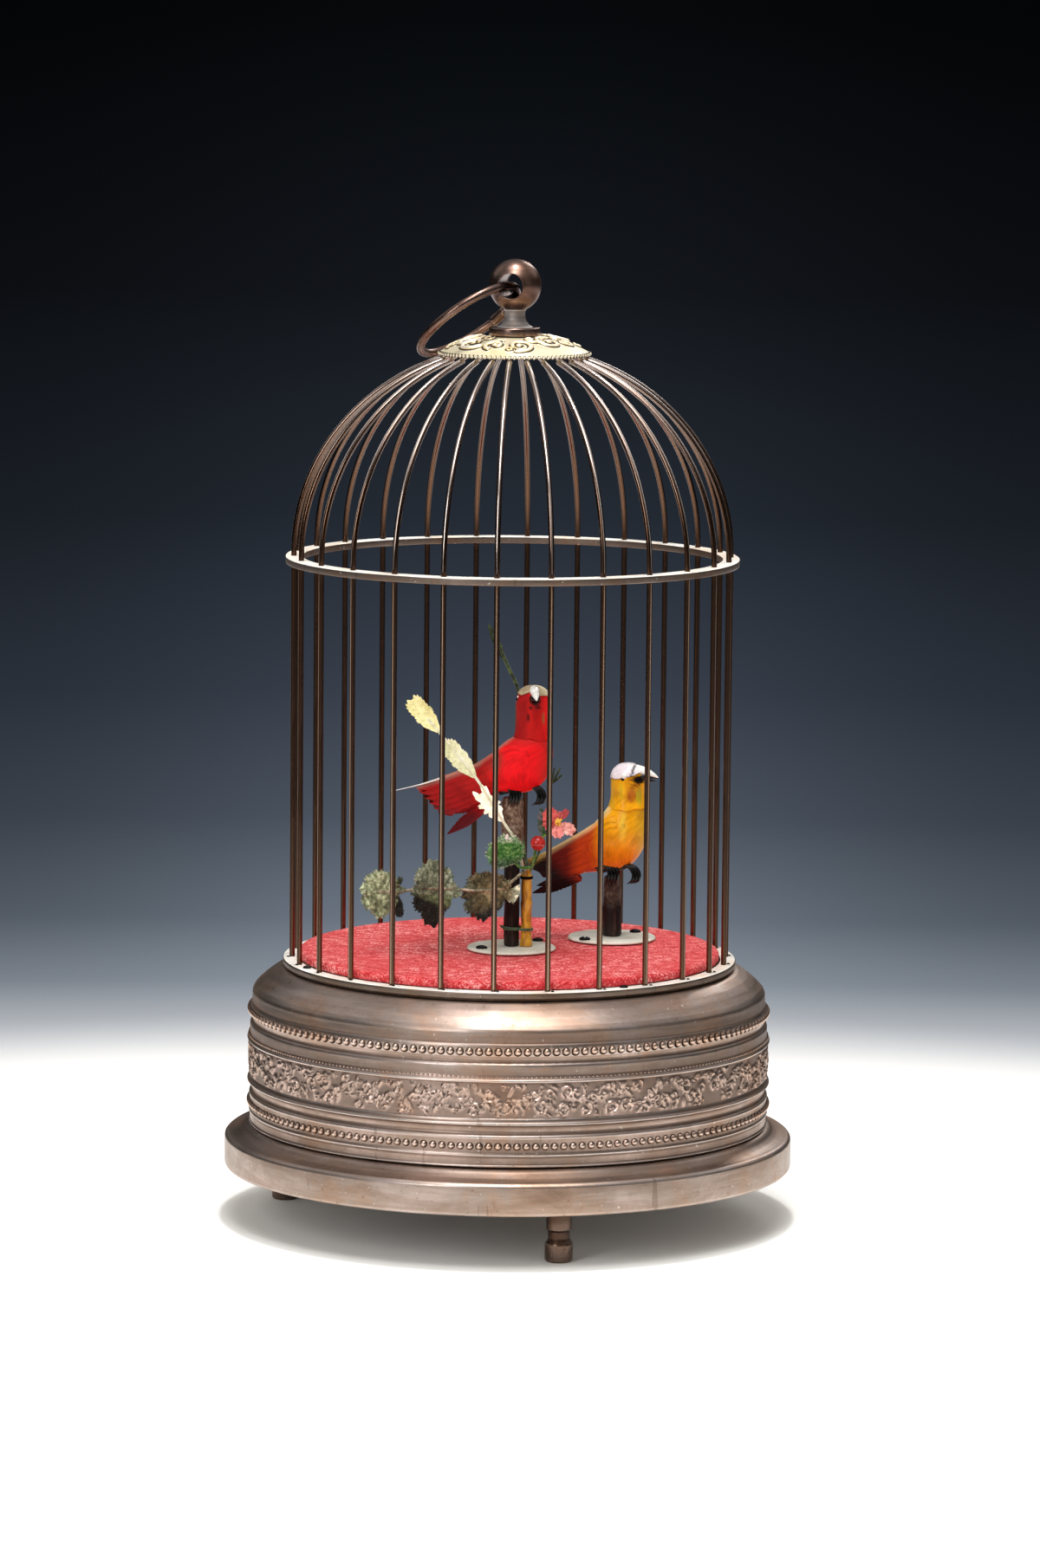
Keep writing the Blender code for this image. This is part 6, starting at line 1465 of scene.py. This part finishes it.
def cloth_leaf(name, base, tip, half, lobes, depth, seed, cup=0.5, blunt=0.75, sharp=1.0, tint=(1, 1, 1)):
    """A stiffened cloth leaf: a lobed outline round its middle, with a fold along it."""
    draw = np.random.default_rng(seed)
    base, tip = Vector(base), Vector(tip)
    along = (tip - base).normalized()
    across = Vector((0, -1, 0)).cross(along).normalized()
    front = along.cross(across).normalized()
    length = (tip - base).length
    turn = turns(180)
    reach = np.where(np.cos(turn) > 0, length * 0.55, length * 0.45)
    power = np.where(np.cos(turn) > 0, 2.0 + blunt, 1.25)
    size = ((np.abs(np.cos(turn)) / reach) ** power + (np.abs(np.sin(turn)) / half) ** power) ** (-1 / power)
    jitter = draw.uniform(-0.5, 0.5) + 0.35 * np.sin(turn * 3 + draw.uniform(0, 6))
    teeth = (0.5 + 0.5 * np.cos(turn * lobes + jitter)) ** sharp
    picked = zigzag(turn * 5.6 + 0.4 * np.sin(turn * 7 + seed))
    size = size * (1 - (depth * teeth + 0.13 * picked) * np.clip(1.3 + np.cos(turn), 0, 1))
    t = np.linspace(0.02, 1, 12)[:, None]
    u = size * np.cos(turn) * t
    v = size * np.sin(turn) * t
    wave = 0.35 * np.sin(turn * 4 + seed) * t ** 2 + 0.2 * np.sin(turn * 9 + seed * 2) * t ** 3
    lift = cup * (np.abs(v) / half) ** 1.5 * half * 0.35 + wave * half * 0.12
    centre = np.array(base + along * length * 0.45)
    axes = np.array([along, across, front])
    grid = centre + u[..., None] * axes[0] + v[..., None] * axes[1] + lift[..., None] * axes[2]
    back = grid - 0.28 * axes[2] * (1 - 0.6 * t ** 4)[..., None]
    colour = np.broadcast_to(np.array(tint, float), grid.shape)
    grid, colour = np.concatenate([grid, back[::-1]]), np.concatenate([colour, colour[::-1] * 0.5])
    return skin(name, grid * MM, caps=True, dye=colour)


# fibres scattered over a surface, pointing off it
fur_tree, given, result = geometry_tree("fur", [
    ("Ground", "Object"), ("Fibre", "Object"), ("Density", "Float"), ("Lean", "Float"), ("Seed", "Int"),
    ("Finish", "Material")])
ground = add(fur_tree, "GeometryNodeObjectInfo", {"Object": given["Ground"]})
scatter = add(fur_tree, "GeometryNodeDistributePointsOnFaces", {
    "Mesh": ground.outputs["Geometry"], "Density": given["Density"], "Seed": given["Seed"]})
least = sums(fur_tree, "MULTIPLY", given["Lean"], -1.0)
lean = add(fur_tree, "FunctionNodeRandomValue", {
    0: triple(fur_tree, least), 1: triple(fur_tree, given["Lean"]), "Seed": given["Seed"]},
    data_type="FLOAT_VECTOR")
tilt = add(fur_tree, "FunctionNodeEulerToRotation", {0: lean})
stand = add(fur_tree, "FunctionNodeRotateRotation", {0: scatter.outputs["Rotation"], 1: tilt},
            rotation_space="LOCAL")
length = add(fur_tree, "FunctionNodeRandomValue", {2: 0.5, 3: 1.2, "Seed": given["Seed"]}, data_type="FLOAT")
hair = add(fur_tree, "GeometryNodeObjectInfo", {"Object": given["Fibre"]})
copies = add(fur_tree, "GeometryNodeInstanceOnPoints", {
    "Points": scatter.outputs["Points"], "Instance": hair.outputs["Geometry"], "Rotation": stand,
    "Scale": length.outputs[1]})
realized(fur_tree, copies, given["Finish"], result)


def flocked(name, ground_mesh, look, length, width, density, seed=1):
    """Short fibres on a mesh, made as one mesh."""
    foot = -0.05 * MM
    fibre = bpy.data.meshes.new("fibre")
    width = width * MM
    fibre.from_pydata([(-width, 0, foot), (width, -width, foot), (width, width, foot), (0, 0, length * MM)],
                      [], [(0, 1, 3), (1, 2, 3), (2, 0, 3), (0, 2, 1)])
    hair, ground = shown("fibre", fibre), shown("ground", ground_mesh)
    return grown(name, fur_tree, hair, ground, ground=ground, fibre=hair, density=density, lean=0.7,
                 seed=seed, finish=look)


def stalk(points, size, shade, count=60):
    """A wire wound with cloth, along a smooth path."""
    return tube("stalk", soft_path(points, count), size, 8, dye=np.full((count, 8, 3), shade))


cream_cloth = cloth_finish("cream_cloth", ((0.60, 0.56, 0.32), (0.84, 0.82, 0.58), (0.97, 0.97, 0.88)),
                           700.0, attribute="dye")
pale_leaves = [
    cloth_leaf("leaf", (-1.9, -8.1, 116.5), (-10.2, -9.9, 127.4), 3.3, 9, 0.34, 1, blunt=0.6, sharp=1.5,
               tint=(1.4, 1.45, 1.7)),
    cloth_leaf("leaf", (-9.8, -9.8, 129.3), (-19.8, -9.4, 140.9), 3.0, 7, 0.10, 2, blunt=1.2,
               tint=(1.0, 1.02, 0.92)),
    cloth_leaf("leaf", (-20.3, -9.2, 142.3), (-29.8, -9.0, 153.2), 3.1, 7, 0.10, 3, blunt=1.2,
               tint=(1.12, 1.05, 0.72))]
stem = stalk([
    (3.9, -3.4, 102.4), (3.3, -6.2, 105), (1.6, -7.1, 111), (-1.6, -8, 116), (-5.6, -9.0, 122.6),
    (-9.6, -9.8, 129), (-15, -9.6, 135.8), (-20.6, -9.2, 142.6), (-24.0, -9.1, 146.6)], 0.42, 0.95)
settle("pale_spray", [*pale_leaves, stem], cream_cloth, stands_for=("leaf_spray_upper",))

silver_cloth = cloth_finish("silver_flock", ((0.045, 0.05, 0.03), (0.27, 0.30, 0.20), (0.92, 0.95, 0.80)),
                            950.0, attribute="dye", bump=1.0)


def cloth_fan(name, hub, spokes, tint, seed, picks=38, pick=0.12, lobes=9, curl=0.6):
    """A flocked fan round its hub; spokes give its reach by angle in the front view, in degrees."""
    draw = np.random.default_rng(seed)
    turn = turns(200)
    angles, reaches = zip(*spokes)
    size = np.interp(np.degrees(turn), angles, reaches, period=360)
    size = np.convolve(np.tile(size, 3), np.hanning(13) / np.hanning(13).sum(), "same")[200:400]
    teeth = zigzag(turn / (2 * np.pi) * lobes + 0.2 * np.sin(turn * 2 + seed))
    fine = zigzag(turn / (2 * np.pi) * picks + 0.5 * np.sin(turn * 5 + seed))
    size = size * (1.04 - 0.12 * teeth ** 3 - pick * fine)
    t = np.linspace(0.02, 1, 16)[:, None]
    x, z = size * np.cos(turn) * t, size * np.sin(turn) * t
    folds = np.sin(turn * lobes + draw.uniform(0, 6)) * 0.35 * t ** 1.5
    folds = folds + np.sin(turn * 2 + draw.uniform(0, 6)) * curl * t ** 2
    front = np.stack([hub[0] + x, hub[1] - folds - 0.4 * t * (1 - t), hub[2] + z], -1)
    back = front + np.array([0, 0.3, 0]) * (1 - 0.5 * t ** 4)[..., None]
    colour = np.broadcast_to(tint(front[..., 0], front[..., 2], np.broadcast_to(t, x.shape)), front.shape)
    return skin(name, np.concatenate([front, back[::-1]]) * MM, caps=True,
                dye=np.concatenate([colour, colour[::-1] * 0.4]))


BLACK = (0.05, 0.05, 0.05)
silver_leaves = [
    cloth_fan("near_fan", (-5.5, -10.6, 97.0),
              ((0, 6.4), (30, 6.0), (60, 5.6), (90, 5.4), (120, 6.5), (150, 7.5), (180, 8.3), (210, 9.3),
               (235, 9.6), (262, 9.0), (285, 6.4), (320, 5.4)),
              lambda x, z, t: dyed((0.58, 0.44, 0.30), [
                  (slope(x, -9, -12), (0.34, 0.31, 0.25)), (slope(x, -3, 1), (0.85, 0.70, 0.54)),
                  (slope(z - 0.3 * x, 95.5, 92.5), BLACK)]), 5),
    cloth_fan("middle_fan", (-20.5, -11.3, 97.0),
              ((0, 7.6), (15, 5.2), (45, 5.8), (70, 7.6), (90, 8.4), (105, 9.3), (130, 9.4), (150, 8.0),
               (170, 7.6), (190, 8.0), (215, 8.8), (240, 9.6), (256, 11.6), (272, 10.4), (290, 6.4),
               (330, 4.6)),
              lambda x, z, t: dyed((0.84, 0.85, 0.80), [
                  (slope(z, 96.5, 94.5), (0.62, 0.74, 0.48)), (slope(z, 101, 105) * 0.5, (0.6, 0.62, 0.5)),
                  (slope(z + 0.45 * x, 84.5, 82.8), BLACK), (slope(z, 92.5, 91.0), BLACK)]), 6, curl=1.2),
    cloth_fan("far_fan", (-36.0, -11.9, 97.0),
              ((0, 7.4), (12, 4.4), (50, 5.0), (75, 6.0), (95, 5.7), (120, 6.6), (150, 6.9), (180, 7.2),
               (210, 7.6), (240, 8.2), (256, 8.6), (280, 7.0), (310, 5.2), (345, 4.2)),
              lambda x, z, t: dyed((1.05, 1.08, 0.90), [(slope(x, -33, -30.5), (0.6, 0.62, 0.5))]), 7),
    cloth_leaf("curl", (-32.6, -11.2, 96.0), (-31.6, -11.0, 88.4), 1.5, 5, 0.1, 31, tint=BLACK),
    cloth_leaf("curl", (-32.4, -11.4, 97.6), (-31.4, -11.6, 101.2), 0.8, 3, 0.1, 32, tint=(0.2, 0.22, 0.16)),
    cloth_leaf("small_leaf", (2.9, -8.4, 98.6), (-0.4, -9.4, 93.0), 1.6, 5, 0.1, 33, tint=(2.2, 2.1, 2.2))]
stem = stalk([
    (4.9, -4.6, 102.5), (4, -7.4, 102.3), (-0.6, -9.8, 98.6), (-3.6, -10.4, 97.4), (-10, -11.0, 97.0),
    (-16.6, -11.5, 97.6), (-25, -11.6, 97.6), (-32, -11.8, 96.6), (-38, -11.9, 96.6)], 0.4,
    (1.0, 0.80, 0.75))
ground = joined("silver_ground", silver_leaves)
settle("silver_fibres", flocked("silver_fibres", ground, silver_cloth, 0.75, 0.07, 9.0e6), silver_cloth)
settle("silver_spray", [ground, stem], silver_cloth, stands_for=("leaf_spray_lower",))

green_cloth = cloth_finish("green_cloth", ((0.01, 0.055, 0.008), (0.07, 0.26, 0.04), (0.55, 0.66, 0.30)),
                           1300.0, attribute="dye", bump=0.8)
green_fan = cloth_fan(
    "green_fan", (-0.6, -9.4, 106.8),
    ((0, 4.6), (30, 5.6), (60, 6.4), (90, 6.9), (110, 6.7), (140, 6.5), (165, 6.8), (180, 6.6), (200, 6.1),
     (230, 4.6), (270, 2.8), (300, 2.8), (330, 3.8)),
    lambda x, z, t: dyed((1, 1, 1), [
        (slope(z, 107.5, 104.5), (0.5, 0.42, 0.9)), (slope(x, -4.0, -6.5) * 0.6, (3.0, 1.7, 4.0)),
        (slope(z, 110.2, 112.6) * slope(t, 0.55, 0.85), (7.0, 2.7, 11.0)),
        (slope(t, 0.86, 0.97) * 0.6, (4.5, 2.2, 6.0))]), 8, picks=46, pick=0.16, lobes=13)
dark_leaf = cloth_leaf("dark_leaf", (9.4, -8.7, 111.4), (9.0, -8.9, 121.4), 1.5, 5, 0.04, 9, blunt=0.2,
                       cup=0.6, tint=(0.75, 0.34, 1.3))
sprig_stems = [stalk(path, size, shade, 30) for path, size, shade in (
    ([(6, -3.9, 102.0), (6.8, -7.4, 104.6), (8, -8.6, 110.6), (13.6, -8.8, 116.6)], 0.38, (0.9, 0.7, 0.45)),
    ([(6, -4.2, 102.2), (6.0, -7.0, 103.2), (2.8, -8.3, 103.6), (0.8, -8.7, 106.2)], 0.42, (0.7, 0.7, 0.5)),
    ([(6.4, -5.2, 103.0), (8.2, -8.4, 107.6), (9.3, -8.7, 112.0), (9.2, -8.8, 117.0)], 0.3, 0.35))]
settle("green_fibres", flocked("green_fibres", green_fan, green_cloth, 0.8, 0.07, 8.0e6, seed=5),
       green_cloth)
settle("green_sprig", [green_fan, dark_leaf, *sprig_stems], green_cloth,
       stands_for=("flower_sprig",))

berry_red = cloth_finish("berry_lacquer", ((0.30, 0.010, 0.010), (0.46, 0.022, 0.018), (0.62, 0.10, 0.07)),
                         300.0, bump=0.1, sheen=0.0, rough=0.14)
petal_cloth = cloth_finish("petal_cloth", ((0.42, 0.12, 0.11), (0.84, 0.46, 0.42), (1.0, 0.88, 0.84)), 800.0,
                           attribute="dye", bump=0.6)
pollen = cloth_finish("pollen", ((0.50, 0.18, 0.01), (0.85, 0.45, 0.03), (0.95, 0.75, 0.20)), 1500.0)


def round_bead(name, centre, radius, sides=20):
    """A small ball round a centre in millimetres."""
    turn = np.linspace(0.0, np.pi, sides // 2 + 1)
    rows = np.stack([np.maximum(np.sin(turn), 0.001) * radius, centre[2] + np.cos(turn) * radius], -1)
    return skin(name, swung(rows, sides, centre[:2]))


settle("berry", [round_bead("berry", (8.0, -8.6, 110.6), 2.2)], berry_red)
flower_at = Vector((14.0, -8.9, 117.0))
petals = []
for k, (turn, reach, half, tint) in enumerate((
        (142, 5.6, 2.5, (0.95, 0.30, 0.30)), (182, 5.0, 2.4, (0.92, 0.32, 0.34)),
        (56, 4.6, 1.2, (0.55, 0.14, 0.16)), (84, 3.2, 1.0, (0.80, 0.30, 0.30)),
        (-36, 5.8, 2.0, (1.25, 1.2, 1.15)), (-96, 5.0, 2.1, (1.15, 0.75, 0.75)))):
    way = Vector((math.cos(math.radians(turn)), -0.12, math.sin(math.radians(turn))))
    petals.append(cloth_leaf("petal", flower_at + way * 0.6, flower_at + way * reach, half, 9, 0.12, 20 + k,
                             blunt=0.5, cup=0.9, tint=tint))
blossom = joined("flower", petals)
settle("petal_fibres", flocked("petal_fibres", blossom, petal_cloth, 0.35, 0.05, 1.2e7, seed=9), petal_cloth)
settle("flower", blossom, petal_cloth)
draw = np.random.default_rng(6)
stamens = []
for _ in range(16):
    reach, turn = 0.95 * math.sqrt(draw.uniform(0, 1)), draw.uniform(0, 6.3)
    spot = flower_at + Vector((reach * math.cos(turn), -0.6 + 0.3 * reach, reach * math.sin(turn)))
    stamens.append(round_bead("stamen", tuple(spot), 0.42, 8))
settle("stamens", stamens, pollen)

twig_cloth = cloth_finish("twig_cloth", ((0.012, 0.014, 0.010), (0.035, 0.05, 0.02), (0.16, 0.24, 0.06)),
                          700.0)
twig = [(5.3, -2.7, 102.4), (3.8, 4.4, 108), (2, 8.8, 124), (1.6, 7.6, 146), (2, 5.2, 153), (-1.4, 4.7, 161),
        (-5.2, 4.2, 170)]
twig_leaf = cloth_leaf("twig_leaf", (-1.4, 4.7, 160.6), (-7.2, 4.2, 173.4), 1.2, 5, 0.08, 14, blunt=0.1,
                       cup=0.5)
sprout = [(5.6, -3.0, 102.4), (8.6, 1.5, 110), (11.2, 2.0, 122), (12.6, 1.5, 131.4)]
sprout_tips = [cloth_leaf("sprout_tip", (11.9, 1.8, 126.5), tip, 0.36, 3, 0.1, 40 + k)
               for k, tip in enumerate(((14.6, 1.4, 131.8), (11.6, 1.6, 132.6), (15.2, 1.4, 129.6)))]
twig_wire = tube("twig", soft_path(twig, 60), 0.55, 8)
sprout_wire = tube("sprout", soft_path(sprout, 40), 0.22, 8)
settle("twig", [twig_wire, twig_leaf, sprout_wire, *sprout_tips], twig_cloth,
       stands_for=("back_twig",))

# Movement
# Brass plates, wheels and levers, steel arbors and rods, wooden bellows
# boards and a cover of tinned steel close the base from below.
milled_brass = metal_finish("milled_brass", (0.62, 0.42, 0.16), (0.22, 0.13, 0.05), (0.80, 0.62, 0.32),
                            gloss=0.24, wear=0.4, relief=False)
dull_steel = metal_finish("dull_steel", (0.36, 0.36, 0.37), (0.12, 0.11, 0.10), (0.62, 0.62, 0.62),
                          gloss=0.30, wear=0.4, relief=False)
kid_leather = cloth_finish("kid_leather", ((0.50, 0.38, 0.24), (0.66, 0.54, 0.37), (0.78, 0.68, 0.52)),
                           420.0, bump=0.3)
NODE_LOOKS = {
    milled_brass: ("lower_plate", "upper_plate", "spring_barrel", "barrel_lid", "yellow_bird_cam",
                   "crank_disc", "red_bird_lever", "yellow_bird_lever", "whistle_tube", "connecting_rod",
                   "winding_key"),
    dull_steel: ("bottom_cover", "winding_arbor", "ratchet_wheel", "click", "mainspring", "cam_arbor",
                 "whistle_cam", "red_bird_cam", "crank_arbor", "governor_fly", "red_bird_push_rod",
                 "yellow_bird_push_rod", "whistle_lever", "stop_lever"),
    board_wood: ("floor_board", "bellows_feeder", "bellows_fixed_board", "whistle_piston")}
for look, names in NODE_LOOKS.items():
    for name in names:
        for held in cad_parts[name].material_slots:
            held.link = "OBJECT"
            held.material = look

# Bellows leather
# Thin kid leather, folded in three pleats, joins the swinging board to the
# fixed one, shaped for one opening of the feeder.
HINGE = (10.0, 38.4)
OPENING = math.radians(13.0)
PLEATS = 3
PLEAT_DEPTH = 1.6


def feeder_point(along, across):
    """A point of the swinging board, from its hinge, in millimetres."""
    return (HINGE[0] - math.cos(OPENING) * along - math.sin(OPENING) * across,
            HINGE[1] - math.sin(OPENING) * along + math.cos(OPENING) * across)


near_end = (feeder_point(3.2, 1.4), (4.6, 39.4))
far_end = (feeder_point(42.6, 1.4), (-33.6, 39.4))
loops = []
for row in range(PLEATS * 8 + 1):
    t = row / (PLEATS * 8)
    fold = 0.5 - 0.5 * math.cos(2 * math.pi * PLEATS * t)
    ax, ay = (moving * (1 - t) + fixed * t for moving, fixed in zip(*near_end))
    bx, by = (moving * (1 - t) + fixed * t for moving, fixed in zip(*far_end))
    low, high, inward = 50.2 + PLEAT_DEPTH * fold, 66.2 - PLEAT_DEPTH * fold, 1.8 * fold
    loop = []
    for k in range(14):
        loop.append((ax + (bx + inward - ax) * k / 13, ay + (by - ay) * k / 13, low))
    for k in range(1, 8):
        loop.append((bx + inward, by, low + (high - low) * k / 7))
    for k in range(1, 14):
        loop.append((bx + inward + (ax - bx - inward) * k / 13, by + (ay - by) * k / 13, high))
    for k in range(1, 7):
        loop.append((ax, ay, high + (low - high) * k / 7))
    loops.append(loop)
pleats = settle("bellows_pleats", skin("bellows_pleats", np.array(loops) * MM, caps=True, sharp=70),
                kid_leather, stands_for=("bellows_leather",))
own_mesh(pleats)
